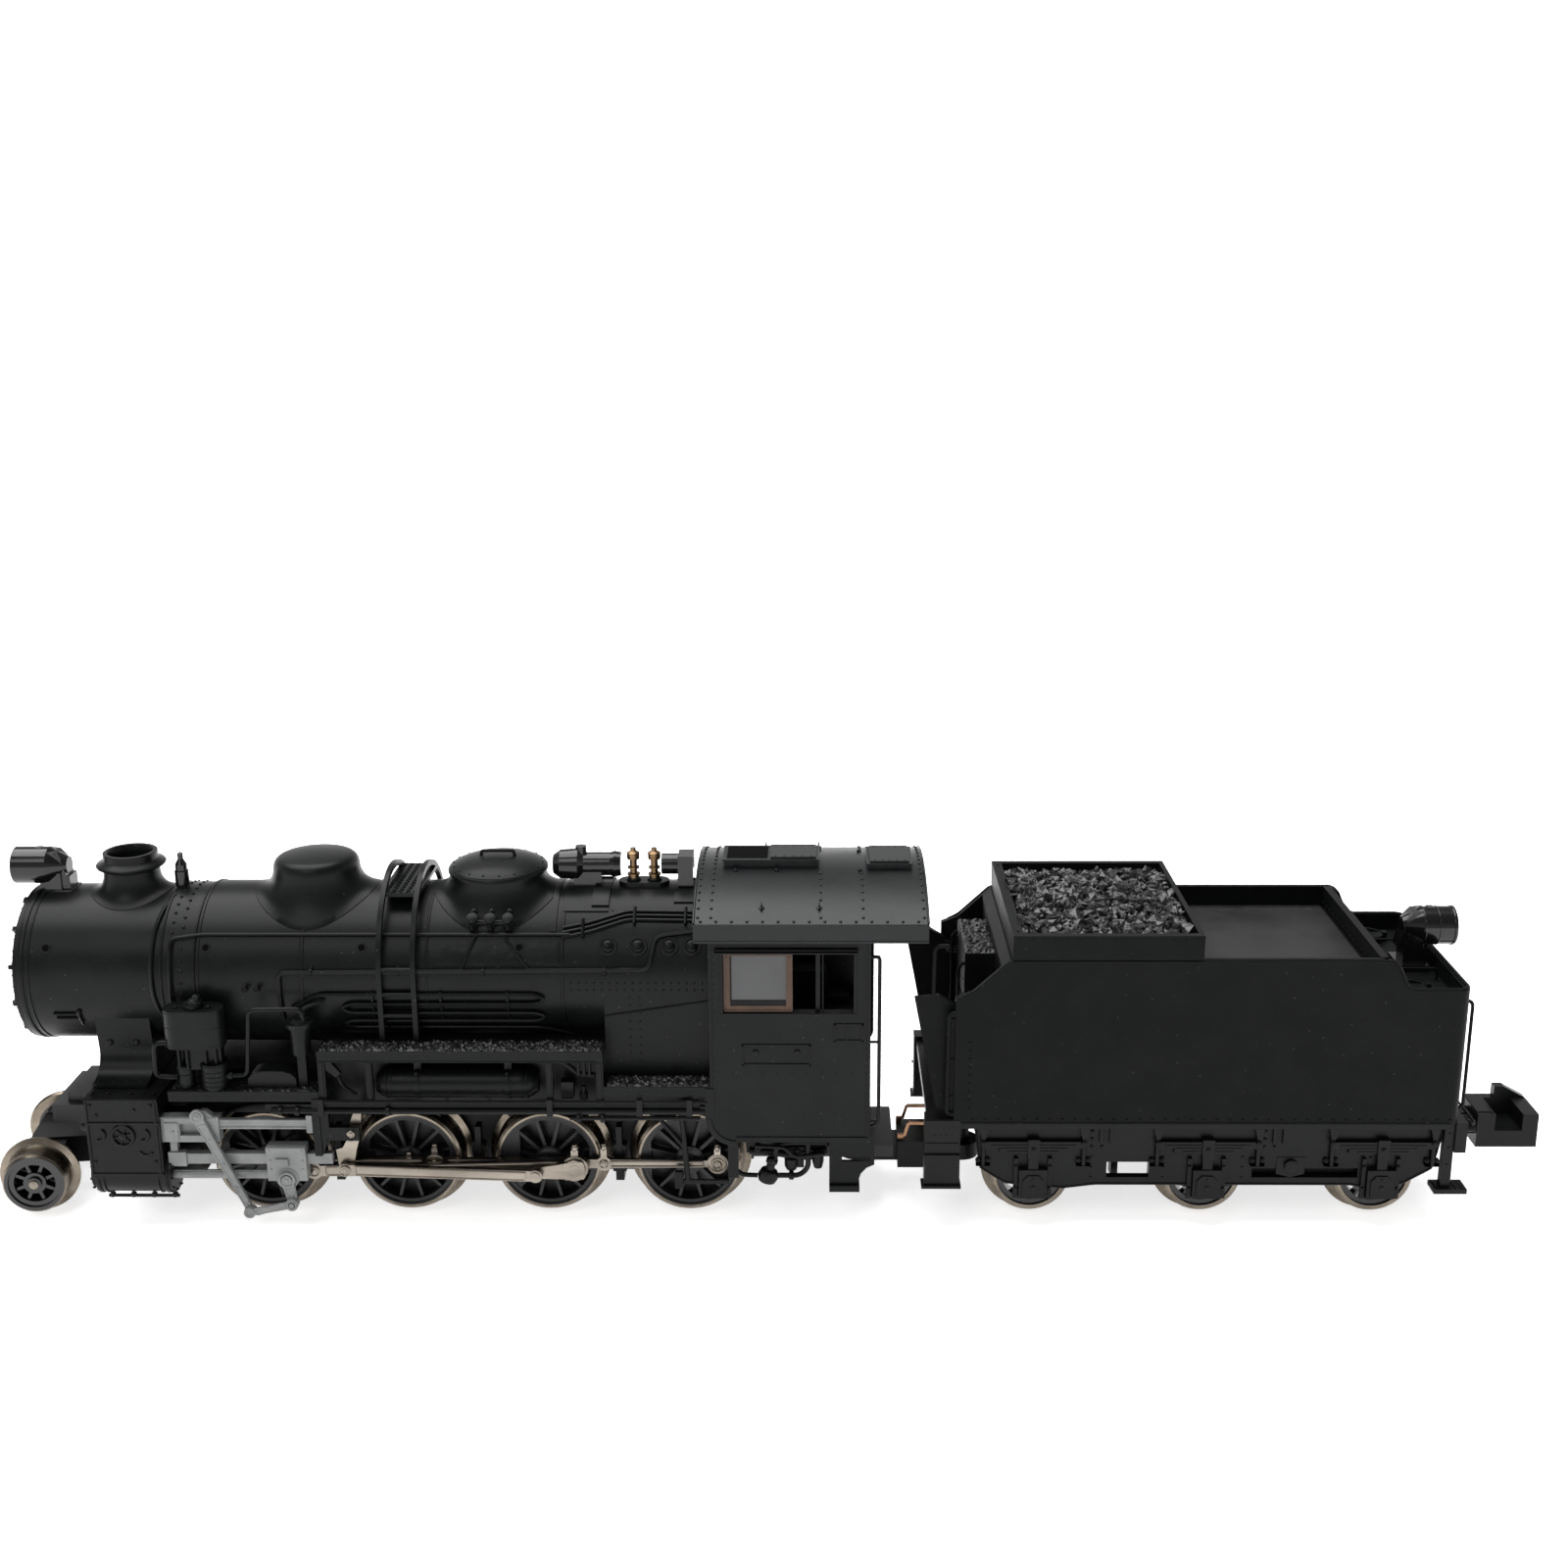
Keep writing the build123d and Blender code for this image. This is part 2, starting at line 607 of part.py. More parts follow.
# ---------------------------------------------------------------- cylinders, frame and drive
def make_cylinder_block():
    """Valve chests and cylinders of both sides joined by a bridge over the frame."""
    block = box(cylinder_front_x, cylinder_rear_x, -8.25, 8.25, 9.3, 10.45)
    for side in (-1, 1):
        block += box(cylinder_front_x, cylinder_rear_x, side * 3.45, side * 8.25, cylinder_z, 9.4)
        block += rod_x(-47.5, slide_bar_front_x, side * 6.7, cylinder_z, 1.5)
    for side in (-1, 1):
        block -= rod_x(-47.2, -41.0, side * piston_rod_y, cylinder_z, piston_rod_radius + slide_clearance)
    block -= rod_z(9, 11, front_screw_x, 0, screw_hole_radius)
    return block


def make_slide_bars():
    """Grey slide bars with the valve spindle guides and radius rods."""
    bars = []
    for side in (-1, 1):
        y0, y1 = layer(side, slide_bar_layer)
        bar = box(slide_bar_front_x, -30.6, y0, y1, slide_bar_z, slide_bar_z + slide_bar_height)
        guide = box(cylinder_rear_x, -38.4, side * 7.1, side * 7.95, 7.0, 8.9)
        guide -= box(-41.2, -39.2, side * 7.5, side * 9, 7.5, 8.4)
        guide += box(-38.5, -31.7, side * 7.5, side * 7.8, 7.95, 8.7)
        web = box(slide_bar_front_x, -41.6, side * 7.1, side * 7.62, slide_bar_z + 0.4, 7.2)
        bars.append(joined([bar, web, guide]))
    return bars


def make_chassis():
    """Die-cast main frame: axle slots, gear pocket, shaft tunnel, nose and drawbar seat."""
    frame = box(-41.0, -0.8, -frame_half_width, frame_half_width, frame_bottom_z, frame_top_z)
    frame += box(-46.0, -40.9, -frame_half_width, frame_half_width, 4.8, 9.25)
    frame += box(-52.3, -45.9, -3.0, 3.0, 6.1, 7.5)
    frame += box(-51.3, -45.9, -2.4, 2.4, 7.4, 8.2)
    frame += box(-0.9, 9.4, -frame_half_width, frame_half_width, 3.6, 4.45)
    frame -= rod_x(-13, 0, 0, worm_z, 0.7)
    frame -= box(-18.7, -12.3, -1.6, 1.6, 6.2, 9.6)
    frame -= box(main_driver_x - 2.6, main_driver_x + 2.6, -0.95, 0.95, 2, 7.4)
    for x in driver_xs:
        frame -= rod_y(-4, 4, x, driver_z, driver_axle_radius + axle_clearance)
        frame -= box(x - 0.8, x + 0.8, -4, 4, 3, driver_z)
    for x in (front_screw_x, truck_pivot_x, rear_screw_x):
        frame -= rod_z(3, 12, x, 0, screw_hole_radius)
    return frame + rod_z(2.1, 3.7, drawbar_front_x, 0, pivot_radius)


def make_keeper_plate():
    """Plate under the frame that holds the axles in, with the gear opening and brake hangers."""
    plate = box(-40.5, -1.2, -3.2, 3.2, 2.5, frame_bottom_z)
    plate -= box(main_driver_x - 2.6, main_driver_x + 2.6, -0.95, 0.95, 2, 4)
    hangers = []
    for x in driver_xs[:-1]:
        middle = x + driver_spacing / 2
        hangers.append(box(middle - 0.3, middle + 0.3, -5.3, 5.3, 2.7, 3.3))
    return joined([plate] + hangers)


def make_motor():
    """Can motor behind the worm, with its brush cap."""
    can = Pos(2.2, 0, worm_z) * Box(5.6, 6.9, 6.9)
    can = fillet(can.edges().filter_by(Axis.X), 1.6)
    can += rod_x(4.9, 7.2, 0, worm_z, 3.0)
    can -= rod_x(-1, 6.0, 0, worm_z, 0.56)
    return can


def make_worm_shaft():
    """Motor shaft with the worm."""
    shaft = rod_x(-17.9, 5.5, 0, worm_z, 0.5)
    length = 5.0
    worm = rod_x(main_driver_x - length / 2, main_driver_x + length / 2, 0, worm_z, 0.8)
    crest_count = 6
    pitch = length / crest_count
    for n in range(crest_count):
        middle = main_driver_x - length / 2 + pitch * (n + 0.5)
        profile = [(middle - 0.3, 0.7), (middle - 0.12, worm_tip_radius)]
        profile += [(middle + 0.12, worm_tip_radius), (middle + 0.3, 0.7)]
        crest = turned_x(profile, 0, worm_z)
        worm += crest
    return shaft + worm


def make_drive_gear():
    """Worm wheel pressed on the main driving axle."""
    teeth = 18
    root = 1.9
    outline = []
    for n in range(teeth):
        for share, radius in ((0.05, root), (0.3, gear_tip_radius), (0.6, gear_tip_radius), (0.85, root)):
            angle = 360 * (n + share) / teeth
            outline.append(point_at(main_driver_x, driver_z, radius, angle))
    gear = plate_y(outline, -0.7, 0.7)
    return gear - rod_y(-2, 2, main_driver_x, driver_z, driver_axle_radius)


def make_screws():
    """Body screws and the shouldered screw of the leading truck."""
    screws = []
    for x, bottom, top in ((front_screw_x, 4.8, 10.4), (rear_screw_x, 3.6, 4.4)):
        screw = rod_z(bottom, top, x, 0, screw_radius)
        screw += rod_z(bottom - 0.5, bottom, x, 0, screw_head_radius)
        screws.append(screw)
    truck_screw = rod_z(1.95, 7.4, truck_pivot_x, 0, screw_radius)
    truck_screw += rod_z(1.5, 2.0, truck_pivot_x, 0, screw_head_radius)
    screws.append(truck_screw)
    return screws


# ---------------------------------------------------------------- wheels
def tyre(side, x, z, tread_radius, bore_radius):
    """Metal tyre with its flange."""
    s = side
    tip = tread_radius + flange_depth
    profile = [(s * wheel_back, bore_radius), (s * wheel_back, tip - 0.12), (s * (wheel_back + 0.15), tip)]
    profile += [(s * (wheel_back + 0.35), tip), (s * tread_start, tread_radius + 0.12)]
    profile += [(s * (tread_start + 0.12), tread_radius), (s * (wheel_face - 0.15), tread_radius - 0.03)]
    profile += [(s * wheel_face, tread_radius - 0.2), (s * wheel_face, bore_radius)]
    return turned_y(profile, x, z)


def spoked_centre(side, x, z, outer, hub, spoke_count, start_angle, axle_radius):
    """Spoked plastic wheel centre."""
    y0, y1 = side * 4.4, side * 5.55
    rim = rod_y(y0, y1, x, z, outer) - rod_y(side * 4, side * 6, x, z, outer - 0.38)
    pieces = [rim, rod_y(y0, y1, x, z, hub)]
    for n in range(spoke_count):
        angle = start_angle + 360 * n / spoke_count
        near = point_at(x, z, hub * 0.7, angle)
        far = point_at(x, z, outer - 0.15, angle)
        pieces.append(bar_between(near, far, 0.27, 0.19, side * 4.7, side * 5.4))
    centre = joined(pieces)
    return centre - rod_y(side * 3.5, side * 6, x, z, axle_radius + 0.01)


def make_driver(index):
    """One coupled wheelset: tyres, axle and crank pins in metal, spoked centres in plastic."""
    x = driver_xs[index]
    is_main = index == 2
    metal = [rod_y(-5.45, 5.45, x, driver_z, driver_axle_radius)]
    centres = []
    bore = driver_tread_radius - 0.35
    for side in (-1, 1):
        pin_x, pin_z = crank_pin(side, x)
        metal.append(tyre(side, x, driver_z, driver_tread_radius, bore))
        start = crank_angle[side] + 15
        centre = spoked_centre(side, x, driver_z, bore - 0.01, 1.05, 12, start, driver_axle_radius)
        centre += rod_y(side * 4.5, side * 5.75, pin_x, pin_z, 0.75)
        weight_angle = crank_angle[side] + 180
        reach = 52 if is_main else 34
        angles = [weight_angle + reach * t / 4 for t in range(-4, 5)]
        outline = [point_at(x, driver_z, bore - 0.2, angle) for angle in angles]
        centre += plate_y(outline, side * 4.6, side * 5.5)
        centre -= rod_y(side * 4.9, side * 6.5, pin_x, pin_z, crank_pin_radius + 0.01)
        centres.append(centre)
        pin_end = return_crank_layer[0] if is_main else side_rod_layer[1] + 0.05
        pin = rod_y(side * 5.0, side * pin_end, pin_x, pin_z, crank_pin_radius)
        if not is_main:
            pin += rod_y(side * pin_end, side * (pin_end + 0.13), pin_x, pin_z, 0.52)
        metal.append(pin)
    return metal, centres


def make_return_cranks():
    """Return cranks on the ends of the main crank pins."""
    cranks = []
    for side in (-1, 1):
        y0, y1 = layer(side, return_crank_layer)
        pin = crank_pin(side, main_driver_x)
        tip = return_crank_tip(side)
        crank = bar_between(pin, tip, 1.35, 0.8, y0, y1)
        crank += rod_y(y0, y1, pin[0], pin[1], 0.8)
        crank += rod_y(y0, y1, tip[0], tip[1], 0.42)
        crank += rod_y(y1, side * 7.82, tip[0], tip[1], eccentric_pin_radius)
        crank += rod_y(side * 7.82, side * 7.92, tip[0], tip[1], 0.36)
        cranks.append(crank)
    return cranks


def carrying_wheelset(x, z, tread_radius, half_axle, spokes):
    """Wheelset without cranks: axle, two tyres and two centres as separate solids."""
    bore = tread_radius - 0.45
    solids = [rod_y(-half_axle, half_axle, x, z, carrying_axle_radius)]
    for side in (-1, 1):
        solids.append(tyre(side, x, z, tread_radius, bore))
        solids.append(spoked_centre(side, x, z, bore - 0.01, 0.8, spokes, 20, carrying_axle_radius))
    return solids


# ---------------------------------------------------------------- rods and valve gear
def pin_eye(side, span, centre, outer, hole):
    """Round rod end with its pin hole."""
    y0, y1 = layer(side, span)
    return rod_y(y0, y1, centre[0], centre[1], outer), rod_y(y0 - side, y1 + side, centre[0], centre[1], hole)


def make_side_rod(side):
    """Coupling rod over all four crank pins, with oil cups and the knuckle joint."""
    y0, y1 = layer(side, side_rod_layer)
    pins = [crank_pin(side, x) for x in driver_xs]
    rod = bar_between(pins[0], pins[2], 0.75, 0.75, y0, y1)
    rod += bar_between(pins[2], pins[3], 0.7, 0.5, y0, y1)
    knuckle = (pins[2][0] + 2.0, pins[2][1])
    rod += rod_y(y0, y1, knuckle[0], knuckle[1], 0.55)
    holes = []
    for pin in pins:
        eye, hole = pin_eye(side, side_rod_layer, pin, 0.76, crank_pin_radius + rod_clearance)
        rod += eye
        holes.append(hole)
    for pin in pins + [knuckle]:
        rod += box(pin[0] - 0.22, pin[0] + 0.22, y0, y1, pin[1] + 0.4, pin[1] + 1.15)
    for hole in holes:
        rod -= hole
    return rod


def main_rod_eye(side):
    """Front eye of the main rod at rest."""
    return crosshead_x + eye_offset_x + crosshead_shift(side), cylinder_z


def make_main_rod(side):
    """Main rod from the main crank pin to the crosshead, open at the crosshead pin."""
    y0, y1 = layer(side, main_rod_layer)
    pin = crank_pin(side, main_driver_x)
    eye = main_rod_eye(side)
    rod = bar_between(eye, pin, 0.8, 1.1, y0, y1)
    rod += rod_y(y0, y1, eye[0], eye[1], 0.62)
    rod += rod_y(y0, y1, pin[0], pin[1], 0.95)
    rod += box(pin[0] - 0.25, pin[0] + 0.25, y0, y1, pin[1] + 0.8, pin[1] + 1.4)
    hole = rod_y(y0 - side, y1 + side, pin[0], pin[1], crank_pin_radius + rod_clearance)
    front_hole = rod_y(side * 6.7, y1 + side, eye[0], eye[1], 0.22)
    return rod - hole - front_hole


def make_eccentric_rod(side):
    """Eccentric rod from the return crank to the expansion link, open at the link."""
    y0, y1 = layer(side, eccentric_rod_layer)
    tip = return_crank_tip(side)
    eye = link_foot(side)
    rod = bar_between(eye, tip, 0.85, 0.8, y0, y1)
    rod += rod_y(y0, y1, eye[0], eye[1], 0.5)
    rod += rod_y(y0, y1, tip[0], tip[1], 0.5)
    return rod - rod_y(y0 - side, y1 + side, tip[0], tip[1], eccentric_pin_radius + rod_clearance)


def make_expansion_link(side):
    """Curved link hung from its trunnion in the motion bracket."""
    y0, y1 = layer(side, link_layer)
    x = link_pivot_x
    z = link_pivot_z
    outline = [(x + 0.45, z + 2.2), (x + 0.8, z + 2.2), (x + 0.6, z + 0.6), (x + 0.5, z - 0.4)]
    outline += [(x + 0.15, z - 1.6), (x - 0.1, z - 2.8), (x - 1.15, z - 2.8), (x - 1.3, z - 1.5)]
    outline += [(x - 0.8, z - 1.35), (x - 0.35, z - 0.5), (x - 0.25, z + 0.4), (x + 0.1, z + 1.3)]
    link = plate_y(outline, y0, y1)
    link += rod_y(y0, y1, x + link_foot_dx, z - link_foot_drop, 0.52)
    link += rod_y(y1, side * 7.85, x, z, trunnion_radius)
    return Pos(x, 0, z) * Rot(0, -link_swing(side), 0) * Pos(-x, 0, -z) * link


def make_crosshead(side):
    """Crosshead that wraps the slide bar, with piston rod and drop arm."""
    shift = crosshead_shift(side)
    inner, outer = layer(side, crosshead_layer)
    x = crosshead_x + shift
    gap = slide_clearance
    block = box(x - 1.4, x + 1.4, inner, outer, cylinder_z - 0.2, 6.65)
    channel_top = slide_bar_z + slide_bar_height + gap
    block -= box(x - 3, x + 3, side * 6.5, side * (slide_bar_layer[1] + gap), slide_bar_z - gap, channel_top)
    block += rod_y(inner, side * 8.05, x, cylinder_z, 0.8)
    block += rod_x(-43.0 + shift, x, side * piston_rod_y, cylinder_z, piston_rod_radius)
    arm_end = drop_pin(side)
    block += bar_between((x, cylinder_z), arm_end, 0.9, 0.6, side * 8.0, side * 8.3)
    block += rod_y(side * 8.0, side * 8.3, arm_end[0], arm_end[1], 0.45)
    block += rod_y(side * 8.3, side * 8.72, arm_end[0], arm_end[1], union_pin_radius)
    return block


def drop_pin(side):
    """Pin at the foot of the crosshead's drop arm at rest."""
    return crosshead_x + crosshead_shift(side) + drop_pin_dx, drop_pin_z


def lever_tip(side):
    """Lower pin of the combination lever at rest, where the lever and the union link meet."""
    pin = drop_pin(side)
    reach = hypot(pin[0] - lever_top_x, pin[1] - lever_top_z)
    ux = (pin[0] - lever_top_x) / reach
    uz = (pin[1] - lever_top_z) / reach
    along = (lever_length ** 2 - union_link_length ** 2 + reach ** 2) / (2 * reach)
    across = sqrt(lever_length ** 2 - along ** 2)
    return lever_top_x + along * ux + across * uz, lever_top_z + along * uz - across * ux


def make_union_link(side):
    """Short link between the drop arm and the combination lever."""
    y0, y1 = layer(side, union_layer)
    start = drop_pin(side)
    end = lever_tip(side)
    link = bar_between(start, end, 0.5, 0.5, y0, y1)
    link += rod_y(y0, y1, start[0], start[1], 0.45)
    link += rod_y(y0, y1, end[0], end[1], 0.42)
    return link - rod_y(y0 - side, y1 + side, start[0], start[1], union_pin_radius + rod_clearance)


def make_combination_lever(side):
    """Long lever hung from the valve spindle guide."""
    y0, y1 = layer(side, lever_layer)
    top = (lever_top_x, lever_top_z)
    tip = lever_tip(side)
    lever = bar_between(top, tip, 0.75, 0.5, y0, y1)
    lever += rod_y(y0, y1, top[0], top[1], 0.5)
    return lever + rod_y(y0, y1, tip[0], tip[1], 0.45)


# ---------------------------------------------------------------- leading truck
def truck_turned(shape):
    """Turns a truck piece about the truck pivot to its place at rest."""
    return Pos(truck_pivot_x, 0, 0) * Rot(0, 0, truck_rest_yaw) * Pos(-truck_pivot_x, 0, 0) * shape


def make_leading_truck():
    """Truck arm with the axle block."""
    axle_x = truck_pivot_x - truck_arm
    arm = box(axle_x - 1.0, truck_pivot_x + 1.2, -1.3, 1.3, 2.3, 4.4)
    arm += box(axle_x - 1.4, axle_x + 1.4, -3.5, 3.5, 1.9, 4.2)
    arm -= rod_y(-4, 4, axle_x, leading_z, carrying_axle_radius + axle_clearance + 0.01)
    arm -= rod_z(1, 6, truck_pivot_x, 0, screw_hole_radius)
    return truck_turned(arm)


def make_leading_wheelset():
    """Small spoked wheelset of the leading truck."""
    axle_x = truck_pivot_x - truck_arm
    solids = carrying_wheelset(axle_x, leading_z, leading_tread_radius, 5.75, 8)
    return [truck_turned(solid) for solid in solids]


# ---------------------------------------------------------------- drawbar
def make_drawbar():
    """Drawbar with its two pivot holes."""
    length = drawbar_rear_x - drawbar_front_x
    middle = (drawbar_front_x + drawbar_rear_x) / 2
    bar = Pos(middle, 0, 2.3) * extrude(SlotCenterToCenter(length, 2.6), 1.2)
    for x in (drawbar_front_x, drawbar_rear_x):
        bar -= rod_z(2, 4, x, 0, pivot_hole_radius)
    bar += box(9.8, 12.0, -1.9, 1.9, 2.0, 4.1)
    return bar


def make_drawbar_contacts():
    """Formed contact wires that carry current between engine and tender."""
    wires = []
    for side in (-1, 1):
        y = 1.45 * side
        path = [(9.9, y, 4.4), (10.3, y, 4.4), (10.6, y, 5.4), (12.0, y, 5.4)]
        solids = []
        for start, end in zip(path, path[1:]):
            line = Edge.make_line(start, end)
            plane = Plane(origin=start, z_dir=Vector(*end) - Vector(*start))
            solids.append(Solid.extrude(Face(Wire.make_rect(0.22, 0.22, plane)), line @ 1 - line @ 0))
        wires.append(joined(solids + [box(9.8, 10.2, 1.3 * side, 1.6 * side, 4.1, 4.5)]))
    return wires


# ---------------------------------------------------------------- tender
def make_tender_body():
    """Tank shell with shaped sides, recessed deck, rear deck and front bulkhead."""
    half = tender_half_width
    front_low_z = 17.9
    step_x = 43.05
    side_outline = [(tender_front_x, tender_bottom_z), (tender_front_x, front_low_z), (14.6, 18.35)]
    side_outline += [(17.1, tender_top_z), (step_x, tender_top_z), (43.6, 20.3), (44.2, 18.9)]
    side_outline += [(44.8, rear_rim_z), (tender_rear_x, rear_rim_z), (tender_rear_x, tender_bottom_z)]
    shell = plate_y(side_outline, -half, half)
    corner_edges = [e for e in shell.edges().filter_by(Axis.Z) if e.center().X > tender_rear_x - 0.01]
    shell = fillet(corner_edges, 0.7)
    inner_half = half - tender_wall
    shell -= box(17.0, tender_rear_x - tender_wall, -inner_half, inner_half, 0, rear_deck_z - 0.6)
    shell -= box(17.7, 42.3, -inner_half, inner_half, 0, tender_deck_z - 0.6)
    shell -= box(17.7, 42.4, -half + 0.4, half - 0.4, tender_deck_z, 30)
    shell -= box(42.9, tender_rear_x - 0.4, -half + 0.4, half - 0.4, rear_deck_z, 30)
    shell -= box(tender_front_x - 1, 16.5, -inner_half, inner_half, 0, 30)
    shell += box(14.4, 16.7, -2.6, 4.5, 9.8, 19.2)
    shell += box(13.6, 16.7, -half + 0.3, half - 0.3, 9.1, 9.8)
    for side in (-1, 1):
        wing_outline = [(10.6, 17.6), (12.3, 17.8), (13.6, 17.0), (13.6, 9.2), (12.2, 9.2)]
        shell += plate_y(wing_outline, side * 6.6, side * 7.1)
        shell += box(13.0, 14.0, side * 6.6, side * (half - 0.2), 9.2, 16.6)
    return shell


def make_coal_bunker():
    """Raised coal boards around the load."""
    half = bunker_half_width
    outer = box(bunker_front_x, bunker_rear_x, -half, half, tender_top_z, bunker_top_z)
    for side in (-1, 1):
        gap_y = side * (tender_half_width - 0.1)
        outer -= box(bunker_front_x, bunker_rear_x, gap_y, side * 9, tender_top_z - 1, tender_top_z + 0.13)
    return outer - box(bunker_front_x + 0.7, bunker_rear_x - 0.35, -7.65, 7.65, coal_base_z, 30)


def make_coal_load():
    """Removable heap of coal, crowned in the middle."""
    x0, x1 = bunker_front_x + 0.75, bunker_rear_x - 0.4
    half = 7.6
    shoulder = (4.0, 22.15)
    rim_z = 21.8
    section = [(-half, coal_base_z), (-half, rim_z), (-shoulder[0], shoulder[1]), (0, 22.3)]
    section += [shoulder, (half, rim_z), (half, coal_base_z)]
    return plate_x(section, x0, x1)


def make_tender_frame():
    """Tender underframe: floor, side frames with axleboxes and springs, beams and steps."""
    frame = box(11.6, 49.4, -7.5, 7.5, 7.9, tender_bottom_z)
    for side in (-1, 1):
        inner, outer = side * 6.35, side * 7.0
        outline = [(15.0, 7.9), (15.4, 4.6), (17.2, 3.4), (21.3, 3.0), (23.6, 3.3), (29.4, 3.3), (31.0, 3.0)]
        outline += [(33.6, 3.3), (41.6, 3.3), (43.4, 3.0), (45.4, 3.4), (47.4, 4.6), (48.0, 7.9)]
        plate = plate_y(outline, inner, outer)
        plate -= box(24.4, 27.4, side * 6, side * 8, 3.9, 5.1)
        plate -= box(34.7, 42.2, side * 6, side * 8, 3.9, 5.1)
        for x in tender_axle_xs:
            plate += box(x - 1.0, x + 1.0, inner, side * 7.55, 2.5, 4.7)
            plate += box(x - 3.5, x + 3.5, side * 7.0, side * 7.35, 6.3, 6.7)
            plate += box(x - 2.4, x + 2.4, side * 7.0, side * 7.35, 5.9, 6.35)
            plate += box(x - 0.35, x + 0.35, side * 7.0, side * 7.45, 4.6, 6.9)
            bore = carrying_axle_radius + axle_clearance + 0.01
            plate -= rod_y(side * 6, side * 7.2, x, tender_z, bore)
        frame += plate
        frame += box(11.4, 13.9, side * 6.6, side * 7.9, 3.7, 8.8)
        frame += box(47.9, 48.6, side * 6.9, side * 7.5, 3.2, 8.2)
        frame += box(47.4, 49.7, side * 6.4, side * 7.9, 3.1, 3.45)
    frame += box(48.6, 49.4, -7.7, 7.7, 6.2, tender_bottom_z)
    frame += rod_z(2.2, 8.0, drawbar_rear_x, 0, pivot_radius)
    frame += rod_z(3.2, 8.0, coupler_pivot_x, 0, pivot_radius)
    return frame


def make_rear_headlight():
    """Tender headlight that faces backwards, and its lens."""
    lens_x = 49.7
    lamp = headlight(lens_x, 46.0, rear_lamp_z, rear_lamp_radius, -1)
    lamp += box(46.1, 47.8, -0.8, 0.8, rear_deck_z, 19.6)
    lamp += box(45.7, 47.9, -1.4, 1.4, rear_deck_z, rear_deck_z + 0.5)
    lens = rod_x(lens_x - 0.4, lens_x - 0.1, 0, rear_lamp_z, rear_lamp_radius - 0.3)
    return lamp, lens


def make_coupler():
    """Hook coupler on a swinging shank."""
    top_z = coupler_bottom_z + coupler_height
    half = coupler_half_width
    wall = 0.7
    head = box(52.3, coupler_rear_x, -half, half, coupler_bottom_z, top_z)
    head -= box(53.6, 55.6, -half - 1, half - wall, coupler_bottom_z + 1.3, top_z + 1)
    horn = [(54.4, top_z - 0.2), (54.4, top_z + 0.9), (55.1, top_z + 0.9)]
    horn += [(coupler_rear_x, top_z), (55.6, top_z - 0.2)]
    head += plate_y(horn, half - wall, half)
    head += box(coupler_pivot_x - 1.0, 52.4, -0.9, 0.9, coupler_bottom_z + 0.65, coupler_bottom_z + 2.05)
    return head - rod_z(3, 7, coupler_pivot_x, 0, pivot_hole_radius)


# ---------------------------------------------------------------- assembly
def build_engine():
    """Everything that belongs to the engine's body and frame."""
    keep("boiler", make_boiler())
    keep("smokebox_door", make_smokebox_door())
    keep("chimney", make_chimney())
    keep("sand_dome", make_sand_dome())
    keep("steam_dome", make_steam_dome())
    keep("safety_valves", make_safety_valves())
    keep("steam_fittings", *make_steam_fittings())
    keep("front_headlight", *make_front_headlight())
    keep("boiler_ladder", make_ladder())
    keep("running_boards", *make_running_boards())
    keep("air_tanks", *make_air_tanks())
    keep("pumps", *make_pumps())
    keep("cab", make_cab())
    keep("cab_roof", make_cab_roof())
    frames, panes = make_cab_windows()
    keep("cab_window_frames", *frames)
    keep("cab_window_panes", *panes)
    keep("cylinder_block", make_cylinder_block())
    keep("slide_bars", *make_slide_bars())
    keep("chassis_frame", make_chassis())
    keep("keeper_plate", make_keeper_plate())
    keep("motor", make_motor())
    keep("worm_shaft", make_worm_shaft())
    keep("drive_gear", make_drive_gear())
    keep("chassis_screws", *make_screws())


def build_running_gear():
    """Wheels, rods, valve gear and the leading truck."""
    for index in range(4):
        metal, centres = make_driver(index)
        keep(f"driver_tyres_{index + 1}", *metal)
        keep(f"driver_centres_{index + 1}", *centres)
    keep("return_cranks", *make_return_cranks())
    for side, name in side_names.items():
        keep(f"side_rod_{name}", make_side_rod(side))
        keep(f"main_rod_{name}", make_main_rod(side))
        keep(f"eccentric_rod_{name}", make_eccentric_rod(side))
        keep(f"expansion_link_{name}", make_expansion_link(side))
        keep(f"crosshead_{name}", make_crosshead(side))
        keep(f"union_link_{name}", make_union_link(side))
        keep(f"combination_lever_{name}", make_combination_lever(side))
    keep("leading_truck", make_leading_truck())
    keep("leading_wheelset", *make_leading_wheelset())


def build_tender():
    """Drawbar and tender."""
    keep("drawbar", make_drawbar())
    keep("drawbar_contacts", *make_drawbar_contacts())
    keep("tender_body", make_tender_body())
    keep("coal_bunker", make_coal_bunker())
    keep("coal_load", make_coal_load())
    keep("tender_frame", make_tender_frame())
    keep("rear_headlight", *make_rear_headlight())
    keep("rear_coupler", make_coupler())
    for number, x in enumerate(tender_axle_xs, start=1):
        keep(f"tender_wheelset_{number}", *carrying_wheelset(x, tender_z, tender_tread_radius, 6.85, 10))


build_engine()
build_running_gear()
build_tender()
os.makedirs("parts", exist_ok=True)
for node_name, shape in parts.items():
    export_step(shape, f"parts/{node_name}.step")
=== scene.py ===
import json
import math
import random

import bmesh
import bpy
from mathutils import Matrix, Vector


